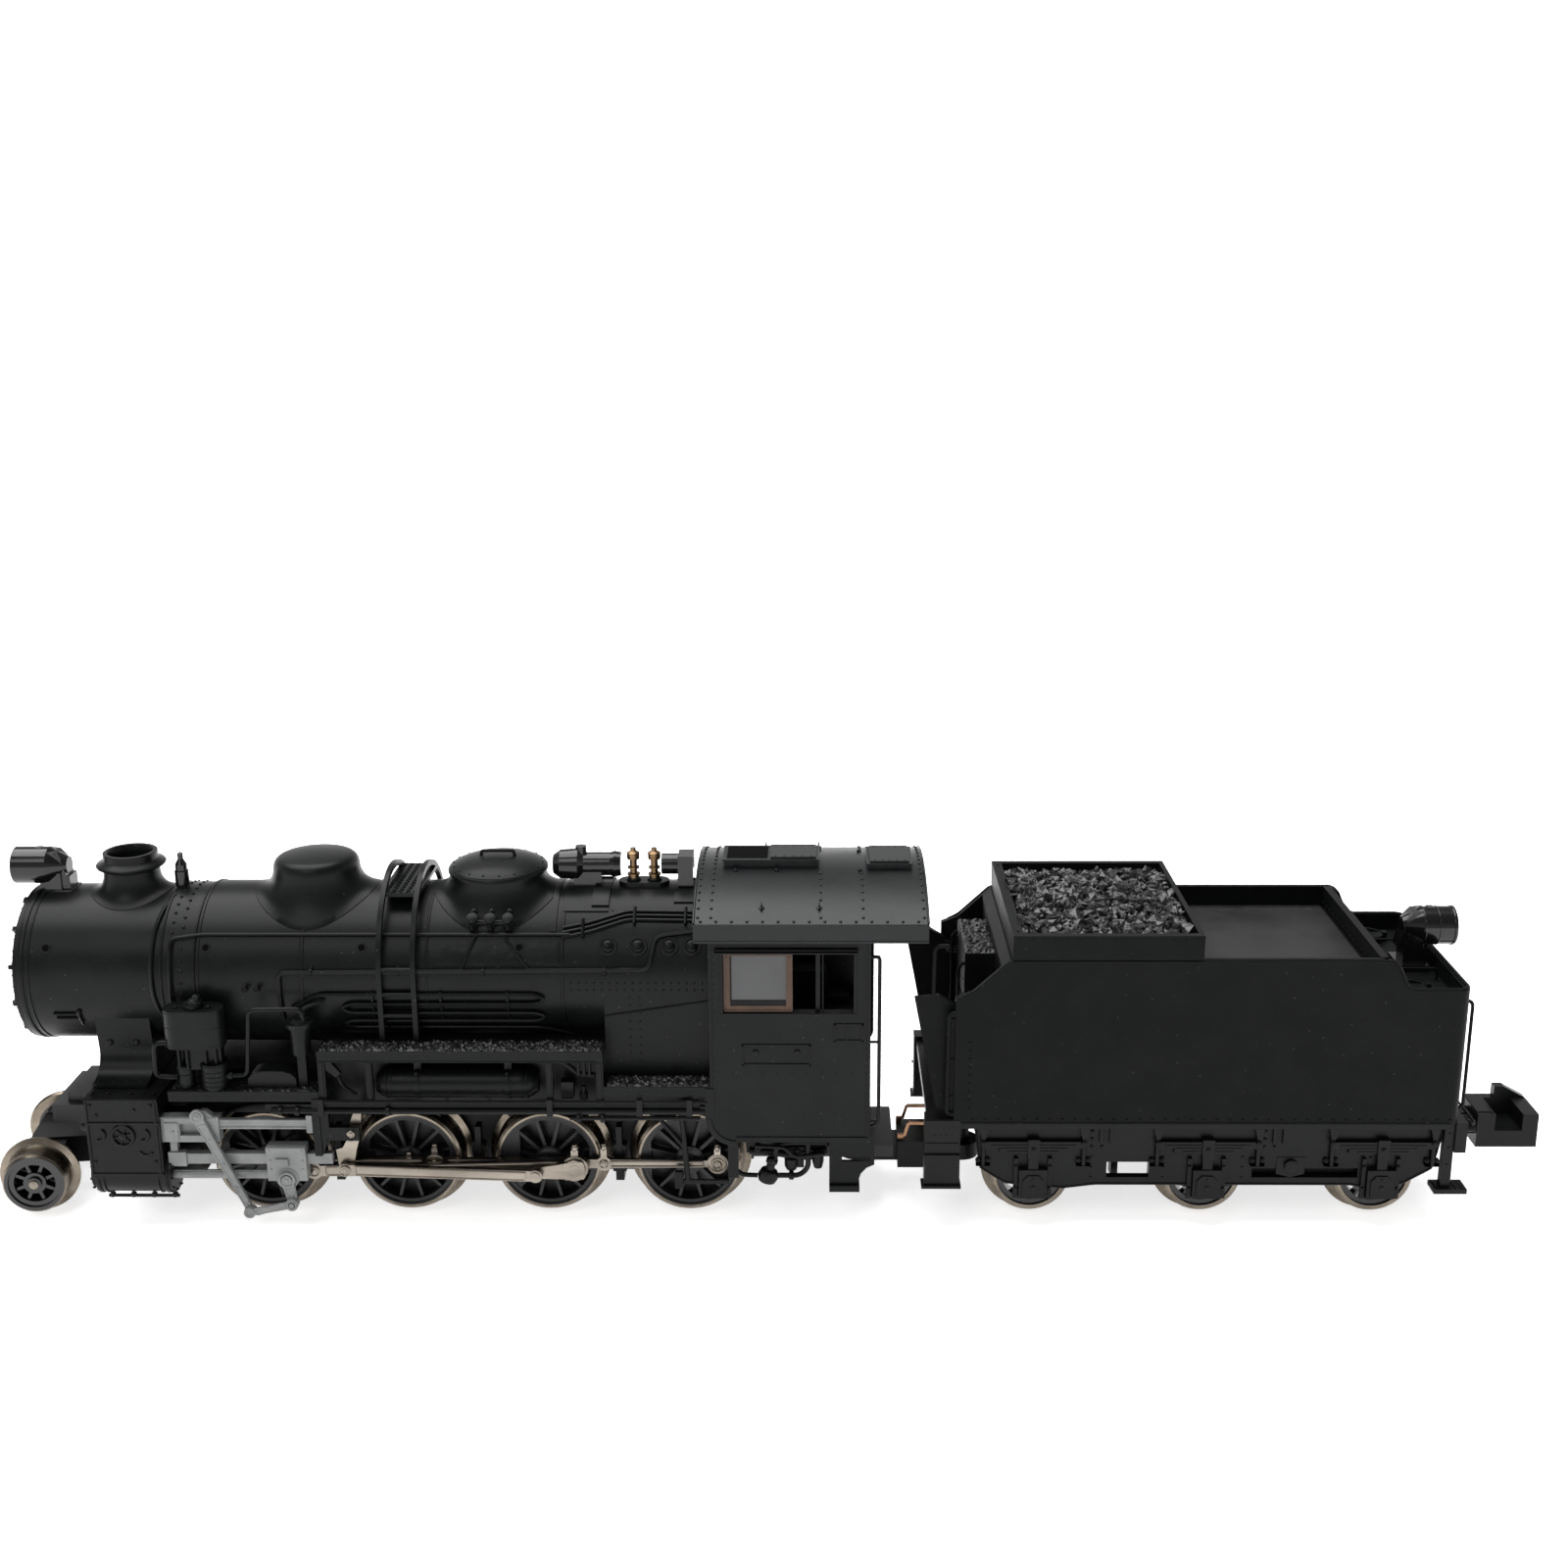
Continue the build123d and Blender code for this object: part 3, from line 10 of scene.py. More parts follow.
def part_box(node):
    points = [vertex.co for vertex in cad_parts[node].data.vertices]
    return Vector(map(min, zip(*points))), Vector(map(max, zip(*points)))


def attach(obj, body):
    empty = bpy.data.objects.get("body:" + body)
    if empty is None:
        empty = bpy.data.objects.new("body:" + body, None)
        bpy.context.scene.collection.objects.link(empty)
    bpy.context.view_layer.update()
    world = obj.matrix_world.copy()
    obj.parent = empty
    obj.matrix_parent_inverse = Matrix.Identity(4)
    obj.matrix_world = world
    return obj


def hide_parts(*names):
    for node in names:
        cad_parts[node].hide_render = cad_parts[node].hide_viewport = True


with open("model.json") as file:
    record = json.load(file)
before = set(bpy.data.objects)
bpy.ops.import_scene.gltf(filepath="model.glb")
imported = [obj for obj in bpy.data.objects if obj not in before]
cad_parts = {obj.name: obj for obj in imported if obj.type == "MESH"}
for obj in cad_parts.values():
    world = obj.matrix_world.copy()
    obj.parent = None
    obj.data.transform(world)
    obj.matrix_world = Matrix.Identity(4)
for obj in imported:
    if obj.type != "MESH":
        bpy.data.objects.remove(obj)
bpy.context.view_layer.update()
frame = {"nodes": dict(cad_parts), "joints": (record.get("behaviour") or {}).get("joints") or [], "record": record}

# Looks of the model steam locomotive: materials, fine detail, stage, light and camera.
# Lengths are millimetres in the frame of the CAD model, and MM turns them into Blender's metres.
MM = 0.001
SIDES = (-1, 1)
SIDE_NAMES = {-1: "left", 1: "right"}
FRONT = (-1, 0, 0)
BACK = (1, 0, 0)
ACROSS = (0, 1, 0)
UP = (0, 0, 1)
DOWN = (0, 0, -1)
SHARP_ANGLE = math.radians(38)
valve_z = 7.7
piston_z = 4.2
shuffle = random.Random(7)


def span(node):
    """Lowest and highest corner of a CAD node at rest, in millimetres."""
    low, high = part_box(node)
    return low / MM, high / MM


# ---------------------------------------------------------------- places taken from the frame
boiler_low, boiler_high = span("boiler")
jacket_radius = 5.85
smokebox_radius = 5.6
band_radius = 5.72
boiler_z = boiler_high.z - jacket_radius
smokebox_x = boiler_low.x
seam_x = smokebox_x + 10.1
jacket_x = smokebox_x + 12.7
firebox_x = smokebox_x + 41.4
cab_low, cab_high = span("cab")
cab_x = cab_low.x
cab_y = cab_high.y
roof_low, roof_high = span("cab_roof")
roof_ridge = roof_high.z - 0.55
roof_eave = roof_ridge - 1.95
board_low, board_high = span("running_boards")
tender_low, tender_high = span("tender_body")
tender_front = tender_high.x - 35.0
deck_z = tender_high.z - 1.5
bunker_low, bunker_high = span("coal_bunker")
beam_x = span("tender_frame")[1].x
axle_x = {}
for number in (1, 2, 3, 4):
    tyre_low, tyre_high = span(f"driver_tyres_{number}")
    axle_x[number] = (tyre_low.x + tyre_high.x) / 2
driver_z = (tyre_low.z + tyre_high.z) / 2
tender_axles = []
for number in (1, 2, 3):
    low, high = span(f"tender_wheelset_{number}")
    tender_axles.append(((low.x + high.x) / 2, (low.z + high.z) / 2))


joint_at = {j["name"]: Vector(j["pos_m"]) / MM for j in frame["joints"] if "pos_m" in j}


# ---------------------------------------------------------------- mesh building
def tube_faces(rings, sides, closed_start=True):
    """Faces that join rings of points into a tube, with a cap at its end and usually at its start."""
    faces = []
    for ring in range(rings - 1):
        for n in range(sides):
            a = ring * sides + n
            b = ring * sides + (n + 1) % sides
            faces.append((a, b, b + sides, a + sides))
    if closed_start:
        faces.append(tuple(reversed(range(sides))))
    faces.append(tuple(range((rings - 1) * sides, rings * sides)))
    return faces


def grid_faces(columns, rows):
    """Faces of a grid whose points run along each column in turn."""
    step = rows + 1
    corners = [(i * step + k, (i + 1) * step + k) for i in range(columns) for k in range(rows)]
    return [(a, b, b + 1, a + 1) for a, b in corners]


def around(count, radius, lag=0.0):
    """Points spaced evenly round a circle, as distances along its two axes."""
    turns = [2 * math.pi * (n + lag) / count for n in range(count)]
    return [(radius * math.cos(turn), radius * math.sin(turn)) for turn in turns]


class Shape:
    """Collects the faces of one detail piece, in millimetres."""

    def __init__(self):
        self.points = []
        self.faces = []

    def add(self, points, faces):
        start = len(self.points)
        self.points += [Vector(p) for p in points]
        self.faces += [[start + i for i in face] for face in faces]

    def box(self, x0, x1, y0, y1, z0, z1):
        """A block between two corners."""
        x0, x1 = sorted((x0, x1))
        y0, y1 = sorted((y0, y1))
        z0, z1 = sorted((z0, z1))
        corners = [(x, y, z) for x in (x0, x1) for y in (y0, y1) for z in (z0, z1)]
        faces = [(0, 1, 3, 2), (4, 6, 7, 5), (0, 4, 5, 1), (2, 3, 7, 6), (0, 2, 6, 4), (1, 5, 7, 3)]
        self.add(corners, faces)

    def turned(self, profile, origin, axis, sides=24):
        """A turned shape: profile gives (station along the axis, radius) from one end to the other."""
        turn = Vector(UP).rotation_difference(Vector(axis).normalized())
        points = []
        for station, radius in profile:
            points += [Vector(origin) + turn @ Vector((a, b, station)) for a, b in around(sides, radius)]
        self.add(points, tube_faces(len(profile), sides))

    def rod(self, start, end, radius, sides=12):
        """A round bar between two points."""
        along = Vector(end) - Vector(start)
        self.turned([(0, radius), (along.length, radius)], start, along, sides)

    def rivet(self, place, normal, radius, height=None):
        """A small round head that stands on a surface."""
        rise = height or radius * 0.75
        profile = [(-0.03, radius), (rise * 0.45, radius * 0.9), (rise * 0.85, radius * 0.55),
                   (rise, radius * 0.15)]
        self.turned(profile, place, normal, 8)

    def rivet_row(self, first, step, count, normal, radius):
        """Rivets in a straight row."""
        for n in range(count):
            self.rivet([a + n * b for a, b in zip(first, step)], normal, radius)

    def bolt(self, place, normal, radius, height):
        """A hexagon head with a round end."""
        self.turned([(-0.03, radius), (height, radius), (height + 0.02, radius * 0.86)], place, normal, 6)
        self.turned([(height, radius * 0.5), (height * 1.6, radius * 0.45)], place, normal, 8)

    def prism(self, outline, shift):
        """A flat outline drawn out along a vector."""
        count = len(outline)
        far = [Vector(p) + Vector(shift) for p in outline]
        faces = [tuple(range(count)), tuple(reversed(range(count, 2 * count)))]
        faces += [(n, n + count, (n + 1) % count + count, (n + 1) % count) for n in range(count)]
        self.add(list(outline) + far, faces)

    def pipe(self, route, radius, bend=0.5, sides=8):
        """A round pipe along a route, with rounded corners."""
        line = rounded(route, bend)
        frame_x = perpendicular(line[1] - line[0])
        rings = []
        for n, point in enumerate(line):
            ahead = (line[min(n + 1, len(line) - 1)] - line[max(n - 1, 0)]).normalized()
            frame_x = (frame_x - ahead * frame_x.dot(ahead)).normalized()
            frame_y = ahead.cross(frame_x)
            rings += [point + radius * (a * frame_x + b * frame_y) for a, b in around(sides, 1.0)]
        self.add(rings, tube_faces(len(line), sides))

    def hoop(self, centre, axis, radius, width, height, start=0.0, end=360.0, sides=72):
        """A flat band standing proud of a round surface, whole or as an arc."""
        turn = Vector(UP).rotation_difference(Vector(axis).normalized())
        steps = max(4, int(sides * (end - start) / 360))
        whole = end - start >= 360
        section = [(-width / 2, radius - 0.05), (-width / 2, radius + height * 0.7),
                   (-width * 0.3, radius + height)]
        section += [(width * 0.3, radius + height), (width / 2, radius + height * 0.7),
                    (width / 2, radius - 0.05)]
        count = steps if whole else steps + 1
        points = []
        for n in range(count):
            angle = math.radians(start + (end - start) * n / steps)
            for along, out in section:
                local = Vector((out * math.cos(angle), out * math.sin(angle), along))
                points.append(Vector(centre) + turn @ local)
        size = len(section)
        faces = []
        for n in range(steps):
            here = n * size
            there = ((n + 1) % count) * size
            for k in range(size):
                nxt = (k + 1) % size
                faces.append((here + k, there + k, there + nxt, here + nxt))
        if not whole:
            faces.append(tuple(range(size)))
            faces.append(tuple(reversed(range(steps * size, (steps + 1) * size))))
        self.add(points, faces)

    def finish(self, name, body, look, slot="", soften=0.03):
        """Makes the piece, rounds its edges slightly and lets it ride on its body.

        The slot argument is not used.
        """
        slot = slot or look
        mesh = bpy.data.meshes.new(name)
        mesh.from_pydata([p * MM for p in self.points], [], self.faces)
        mesh.validate()
        piece = bpy.data.objects.new(name, mesh)
        bpy.context.scene.collection.objects.link(piece)
        recalculate_normals(mesh)
        mesh.materials.append(looks[look])
        mesh.shade_smooth()
        mesh.set_sharp_from_angle(angle=SHARP_ANGLE)
        if soften:
            bevel = piece.modifiers.new("soft_edges", "BEVEL")
            bevel.width = soften * MM
            bevel.segments = 2
            bevel.limit_method = "ANGLE"
            bevel.angle_limit = SHARP_ANGLE
        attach(piece, body)
        return piece


def recalculate_normals(mesh):
    """Turns every face outwards."""
    work = bmesh.new()
    work.from_mesh(mesh)
    bmesh.ops.recalc_face_normals(work, faces=work.faces)
    work.to_mesh(mesh)
    work.free()


def perpendicular(direction):
    """Some unit vector at right angles to a direction."""
    helper = Vector(UP) if abs(direction.normalized().z) < 0.9 else Vector(BACK)
    return direction.cross(helper).normalized()


def rounded(route, bend):
    """A route with each corner replaced by a short curve."""
    points = [Vector(p) for p in route]
    line = [points[0]]
    for before, corner, after in zip(points, points[1:], points[2:]):
        reach = min(bend, (corner - before).length / 2.1, (after - corner).length / 2.1)
        start = corner + (before - corner).normalized() * reach
        end = corner + (after - corner).normalized() * reach
        for t in (0, 0.25, 0.5, 0.75, 1):
            line.append(start * (1 - t) ** 2 + corner * (2 * t * (1 - t)) + end * t ** 2)
    line.append(points[-1])
    return line


# ---------------------------------------------------------------- materials
def make_node(tree, kind, **values):
    """A shader node with its inputs set by name."""
    made = tree.nodes.new(kind)
    for key, value in values.items():
        made.inputs[key.replace("_", " ")].default_value = value
    return made


def surface(name, dark, light, roughness, metallic=0.0, specular=0.5, patch=350, grain=9000, bump=0.5,
            depth=0.01, stretch=(1, 1, 1), specks=0.0, coat=0.0):
    """A procedural surface: patches of two shades, fine grain, uneven gloss and a little dust."""
    material = bpy.data.materials.new(name)
    material.use_nodes = True
    tree = material.node_tree
    link = tree.links.new
    shader = tree.nodes["Principled BSDF"]
    shader.inputs["Metallic"].default_value = metallic
    shader.inputs["Specular IOR Level"].default_value = specular
    shader.inputs["Coat Weight"].default_value = coat
    shader.inputs["Coat Roughness"].default_value = 0.08
    place = tree.nodes.new("ShaderNodeTexCoord")
    scaled = make_node(tree, "ShaderNodeMapping", Scale=stretch)
    link(place.outputs["Object"], scaled.inputs["Vector"])
    patches = make_node(tree, "ShaderNodeTexNoise", Scale=patch, Detail=4.0, Roughness=0.6)
    link(scaled.outputs["Vector"], patches.inputs["Vector"])
    shades = tree.nodes.new("ShaderNodeValToRGB")
    shades.color_ramp.elements[0].position = 0.35
    shades.color_ramp.elements[1].position = 0.68
    shades.color_ramp.elements[0].color = (*dark, 1)
    shades.color_ramp.elements[1].color = (*light, 1)
    link(patches.outputs["Fac"], shades.inputs["Fac"])
    fine = make_node(tree, "ShaderNodeTexNoise", Scale=grain, Detail=3.0, Roughness=0.55)
    link(scaled.outputs["Vector"], fine.inputs["Vector"])
    gloss = make_node(tree, "ShaderNodeMapRange", To_Min=roughness * 0.82, To_Max=min(1, roughness * 1.2))
    link(patches.outputs["Fac"], gloss.inputs["Value"])
    link(gloss.outputs["Result"], shader.inputs["Roughness"])
    relief = make_node(tree, "ShaderNodeBump", Strength=bump, Distance=depth * MM)
    link(fine.outputs["Fac"], relief.inputs["Height"])
    link(relief.outputs["Normal"], shader.inputs["Normal"])
    colour = shades.outputs["Color"]
    if specks:
        dust = make_node(tree, "ShaderNodeTexVoronoi", Scale=1100.0)
        link(place.outputs["Object"], dust.inputs["Vector"])
        near = make_node(tree, "ShaderNodeMapRange", From_Min=0.03, From_Max=0.09, To_Min=specks, To_Max=0.0)
        link(dust.outputs["Distance"], near.inputs["Value"])
        mix = tree.nodes.new("ShaderNodeMix")
        mix.data_type = "RGBA"
        mix.inputs["B"].default_value = (0.16, 0.16, 0.15, 1)
        link(near.outputs["Result"], mix.inputs["Factor"])
        link(colour, mix.inputs["A"])
        colour = mix.outputs["Result"]
    link(colour, shader.inputs["Base Color"])
    return material


def wheel_surface(name, centre, axis, inner_radius, metal, plastic):
    """One surface for a wheelset: bright tyre outside a radius, black centre inside it."""
    material = surface(name, metal[0], metal[1], metal[2], metallic=1.0, patch=500, grain=14000, bump=0.2)
    tree = material.node_tree
    link = tree.links.new
    shader = tree.nodes["Principled BSDF"]
    place = tree.nodes.new("ShaderNodeTexCoord")
    offset = tree.nodes.new("ShaderNodeVectorMath")
    offset.operation = "SUBTRACT"
    offset.inputs[1].default_value = Vector(centre) * MM
    link(place.outputs["Object"], offset.inputs[0])
    across = tree.nodes.new("ShaderNodeVectorMath")
    across.operation = "CROSS_PRODUCT"
    across.inputs[1].default_value = Vector(axis).normalized()
    link(offset.outputs["Vector"], across.inputs[0])
    reach = tree.nodes.new("ShaderNodeVectorMath")
    reach.operation = "LENGTH"
    link(across.outputs["Vector"], reach.inputs[0])
    outside = tree.nodes.new("ShaderNodeMath")
    outside.operation = "GREATER_THAN"
    outside.inputs[1].default_value = inner_radius * MM
    link(reach.outputs["Value"], outside.inputs[0])
    link(outside.outputs["Value"], shader.inputs["Metallic"])
    old = shader.inputs["Base Color"].links[0].from_socket
    mix = tree.nodes.new("ShaderNodeMix")
    mix.data_type = "RGBA"
    mix.inputs["A"].default_value = (*plastic, 1)
    link(outside.outputs["Value"], mix.inputs["Factor"])
    link(old, mix.inputs["B"])
    link(mix.outputs["Result"], shader.inputs["Base Color"])
    return material


def glass(name):
    """Clear moulded plastic with faint waves."""
    material = surface(name, (0.80, 0.83, 0.85), (0.9, 0.92, 0.93), 0.06, patch=200, grain=1500, bump=0.15)
    shader = material.node_tree.nodes["Principled BSDF"]
    shader.inputs["Transmission Weight"].default_value = 0.92
    shader.inputs["IOR"].default_value = 1.45
    return material


NICKEL = ((0.155, 0.135, 0.113), (0.26, 0.23, 0.197), 0.29)
# Tyre nickel is browner than the rod nickel, which is the metal's own tone. It is also darker, which is painted
# shade from the body above the wheels.
SHADED_TYRE_NICKEL = ((0.12, 0.10, 0.078), (0.215, 0.185, 0.148), 0.26)
WHEEL_BLACK = (0.0035, 0.0035, 0.0038)
looks = {
    "black_body": surface("black_body", (0.0026, 0.0030, 0.0030), (0.0046, 0.0051, 0.0051), 0.34,
                          specular=0.12,
                          specks=0.18),
    # A lighter, bluer copy of the body black for the up-facing roof and its fittings: painted top light on a black
    # moulding.
    "roof_black_painted_toplight": surface("roof_black_painted_toplight", (0.0042, 0.0052, 0.0054), (0.0068, 0.0082, 0.0085), 0.34,
                          specular=0.22,
                          specks=0.12),
    "tender_black": surface("tender_black", (0.0030, 0.0034, 0.0033), (0.0050, 0.0055, 0.0053), 0.44,
                            specular=0.06, specks=0.14),
    "deck_grey": surface("deck_grey", (0.011, 0.011, 0.011), (0.018, 0.018, 0.0175), 0.5, specular=0.2),
    "gloss_black": surface("gloss_black", (0.003, 0.003, 0.0035), (0.005, 0.005, 0.0055), 0.16, specular=0.3,
                           bump=0.03, coat=0.12),
    "frame_black": surface("frame_black", (0.0024, 0.0025, 0.0027), (0.0046, 0.0049, 0.0049), 0.34,
                           specular=0.14),
    "granules": surface("granules", (0.0025, 0.0025, 0.0025), (0.009, 0.009, 0.0088), 0.3, specular=0.3,
                        patch=2600, grain=12000, bump=0.8, depth=0.03),
    # Near-black painted shade, laid on as thin pieces where holes, slots and openings are dark inside.
    "painted_hole_shade": surface("painted_hole_shade", (0.0008, 0.0008, 0.0008), (0.0014, 0.0014, 0.0014), 0.9,
                          specular=0.05),
    "cast_frame": surface("cast_frame", (0.010, 0.010, 0.011), (0.019, 0.019, 0.020), 0.46, metallic=0.5),
    "grey_gear": surface("grey_gear", (0.125, 0.130, 0.128), (0.185, 0.190, 0.186), 0.40, specular=0.4,
                         patch=600),
    "nickel": surface("nickel", *NICKEL, metallic=1.0, patch=700, grain=16000, bump=0.25,
                      stretch=(0.25, 1, 1)),
    "tyre_nickel_painted_shade": surface("tyre_nickel_painted_shade", *SHADED_TYRE_NICKEL, metallic=1.0, patch=700, grain=16000, bump=0.25),
    "brass": surface("brass", (0.11, 0.07, 0.036), (0.20, 0.13, 0.072), 0.34, metallic=1.0, patch=900,
                     bump=0.3),
    "wheel_black": surface("wheel_black", (0.005, 0.005, 0.0055), (0.009, 0.009, 0.0095), 0.33, specular=0.3),
    "window_brown": surface("window_brown", (0.046, 0.025, 0.015), (0.072, 0.039, 0.023), 0.46,
                            specular=0.25, patch=900,
                            stretch=(1, 1, 0.25)),
    "clear": glass("clear"),
    "smoked_pane": surface("smoked_pane", (0.034, 0.035, 0.036), (0.046, 0.047, 0.049), 0.16, specular=0.35,
                           patch=120, bump=0.02, coat=0.1),
    "coal": surface("coal", (0.0016, 0.0016, 0.002), (0.0055, 0.0055, 0.006), 0.13, specular=0.42, patch=1400,
                    grain=5000, bump=0.9, depth=0.05),
    "copper_wire": surface("copper_wire", (0.20, 0.105, 0.06), (0.32, 0.19, 0.115), 0.3, metallic=1.0,
                           bump=0.2),
    "steel": surface("steel", (0.10, 0.10, 0.10), (0.16, 0.16, 0.158), 0.42, metallic=1.0,
                     stretch=(0.2, 1, 1)),
    "gear_plastic": surface("gear_plastic", (0.60, 0.58, 0.50), (0.72, 0.70, 0.62), 0.4),
}


def dress_cad():
    """Gives every CAD node the finish that the record names for it."""
    for part in frame["record"]["subparts"]:
        node = frame["nodes"][part["node"]]
        node.data.materials.clear()
        node.data.materials.append(looks[part["material_slot"]])
    # The roof takes the lighter black of painted top light.
    frame["nodes"]["cab_roof"].data.materials[0] = looks["roof_black_painted_toplight"]
    frame["nodes"]["cab_window_panes"].data.materials[0] = looks["smoked_pane"]
    for number in axle_x:
        # Driver tyres take the darker tyre nickel, partly painted shade.
        frame["nodes"][f"driver_tyres_{number}"].data.materials[0] = looks["tyre_nickel_painted_shade"]
    # Tender and leading wheels take the same darker tyre nickel, partly painted shade.
    for number, (x, z) in enumerate(tender_axles, start=1):
        centre = (x, 0, z)
        made = wheel_surface(f"tender_wheels_{number}", centre, ACROSS, 2.42, SHADED_TYRE_NICKEL, WHEEL_BLACK)
        frame["nodes"][f"tender_wheelset_{number}"].data.materials[0] = made
    spin = next(j for j in frame["joints"] if j["name"] == "leading_wheelset_spin")
    centre = Vector(spin["pos_m"]) / MM
    made = wheel_surface("leading_wheels", centre, spin["axis"], 2.12, SHADED_TYRE_NICKEL, WHEEL_BLACK)
    frame["nodes"]["leading_wheelset"].data.materials[0] = made


dress_cad()


# ---------------------------------------------------------------- places on the barrel
def on_barrel(x, angle, radius=jacket_radius, side=-1):
    """A point on the barrel: the angle goes up from the horizontal on that side."""
    turn = math.radians(angle)
    return Vector((x, side * radius * math.cos(turn), boiler_z + radius * math.sin(turn)))


def off_barrel(angle, side=-1):
    """Direction straight out of the barrel."""
    turn = math.radians(angle)
    return Vector((0, side * math.cos(turn), math.sin(turn)))


def barrel_route(stations, radius, side):
    """A route that hugs the barrel through stations of (x, angle)."""
    route = []
    for (x0, a0), (x1, a1) in zip(stations, stations[1:]):
        steps = max(1, int(abs(a1 - a0) / 9))
        for n in range(steps):
            t = n / steps
            route.append(on_barrel(x0 + (x1 - x0) * t, a0 + (a1 - a0) * t, radius, side))
    route.append(on_barrel(*stations[-1], radius, side))
    return route


# ---------------------------------------------------------------- domes and chimney
def flared(name, node, centre_x, profile, skirt, hollow=()):
    """A turned casting whose skirt spreads over the barrel, drawn in place of a CAD node.

    The profile gives (radius, height over the crown), and the hollow (drop below the rim, radius).
    """
    seat = skirt["seat"]
    crown = boiler_z + seat
    top = profile[-1][1]
    sides = 72
    points = []
    for radius, height in profile:
        share = max(0.0, 1 - height / (top * skirt["share"])) ** 1.5
        for a, b in around(sides, radius):
            sunk = seat - math.sqrt(max(seat ** 2 - b ** 2, 0.01))
            points.append((centre_x + a, b, crown + height - sunk * share))
    for drop, radius in hollow:
        points += [(centre_x + a, b, crown + top - drop) for a, b in around(sides, radius)]
    shape = Shape()
    shape.add(points, tube_faces(len(profile) + len(hollow), sides, closed_start=False))
    piece = shape.finish(name, "engine", "black_body", soften=0)
    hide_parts(node)
    return piece


def arc_profile(start, end, bulge, steps=7):
    """Profile points on a curve between two (radius, height) points, drawn towards a third."""
    points = []
    for n in range(1, steps + 1):
        t = n / steps
        r = start[0] * (1 - t) ** 2 + bulge[0] * 2 * t * (1 - t) + end[0] * t ** 2
        h = start[1] * (1 - t) ** 2 + bulge[1] * 2 * t * (1 - t) + end[1] * t ** 2
        points.append((r, h))
    return points


def make_domes():
    """Sand dome, steam dome and chimney with skirts that follow the barrel."""
    sand_low, sand_high = span("sand_dome")
    sand_x = (sand_low.x + sand_high.x) / 2
    skirt = {"seat": jacket_radius, "share": 0.75}
    profile = [(4.45, -0.12), (4.4, 0.04)]
    profile += arc_profile((4.4, 0.04), (3.08, 1.25), (3.25, 0.12))
    profile += arc_profile((3.08, 1.25), (2.35, 2.25), (3.08, 2.15))
    profile += arc_profile((2.35, 2.25), (0.05, 2.42), (1.3, 2.42), 4)
    flared("sand_dome_casting", "sand_dome", sand_x, profile, skirt)
    steam_low, steam_high = span("steam_dome")
    steam_x = (steam_low.x + steam_high.x) / 2
    profile = [(4.7, -0.12), (4.65, 0.04)]
    profile += arc_profile((4.65, 0.04), (3.42, 0.95), (3.6, 0.1))
    profile += [(3.42, 1.1), (3.56, 1.14), (3.58, 1.3), (3.5, 1.42), (3.42, 1.46), (3.44, 1.5)]
    profile += arc_profile((3.44, 1.5), (0.05, 2.2), (2.4, 2.2), 9)
    flared("steam_dome_casting", "steam_dome", steam_x, profile, skirt)
    lid = Shape()
    crown = boiler_z + jacket_radius
    lid.pipe([(steam_x - 1.2, 0, crown + 2.0), (steam_x - 1.2, 0, crown + 2.5),
              (steam_x + 1.2, 0, crown + 2.5),
              (steam_x + 1.2, 0, crown + 2.0)], 0.13, 0.25)
    for a, b in around(18, 3.2):
        lid.rivet((steam_x + a, b, crown + 1.62), UP, 0.1)
    lid.hoop((steam_x, 0, crown + 2.14), UP, 1.15, 0.06, 0.06)
    lid.finish("steam_dome_lid_handle", "engine", "black_body")
    stack_low, stack_high = span("chimney")
    stack_x = (stack_low.x + stack_high.x) / 2
    profile = [(2.95, -0.12), (2.9, 0.04)]
    profile += arc_profile((2.9, 0.04), (1.95, 1.35), (1.98, 0.15))
    profile += [(1.93, 1.5), (2.02, 1.62), (2.38, 1.74), (2.44, 1.86), (2.36, 1.97), (2.0, 2.1), (1.9, 2.2)]
    profile += [(1.9, 2.72), (1.86, 2.76), (1.62, 2.76), (1.58, 2.72)]
    flared("chimney_casting", "chimney", stack_x, profile, {"seat": smokebox_radius, "share": 0.6},
           hollow=[(0.5, 1.5), (2.2, 1.4)])


# ---------------------------------------------------------------- barrel detail
def make_bands():
    """Cleading bands, the smokebox rings and the double rivet row."""
    bands = Shape()
    for x, width in ((jacket_x + 0.12, 0.24), (-32.35, 0.3), (-23.55, 0.2), (firebox_x - 2.9, 0.24)):
        bands.hoop((x, 0, boiler_z), BACK, jacket_radius, width, 0.055)
    bands.hoop((smokebox_x + 0.75, 0, boiler_z), BACK, smokebox_radius, 0.16, 0.06)
    bands.hoop((smokebox_x + 0.2, 0, boiler_z), BACK, smokebox_radius, 0.4, 0.08)
    bands.hoop((seam_x + 0.1, 0, boiler_z), BACK, band_radius, 0.2, 0.08)
    bands.hoop((jacket_x - 0.15, 0, boiler_z), BACK, band_radius, 0.16, 0.07)
    bands.finish("barrel_bands", "engine", "black_body")
    rivets = Shape()
    for row, x in enumerate((seam_x + 0.75, seam_x + 1.5)):
        for n in range(45):
            angle = 8 * n + 4 * row
            rivets.rivet(on_barrel(x, angle, band_radius), off_barrel(angle), 0.13)
    rivets.finish("smokebox_rivets", "engine", "black_body", soften=0)


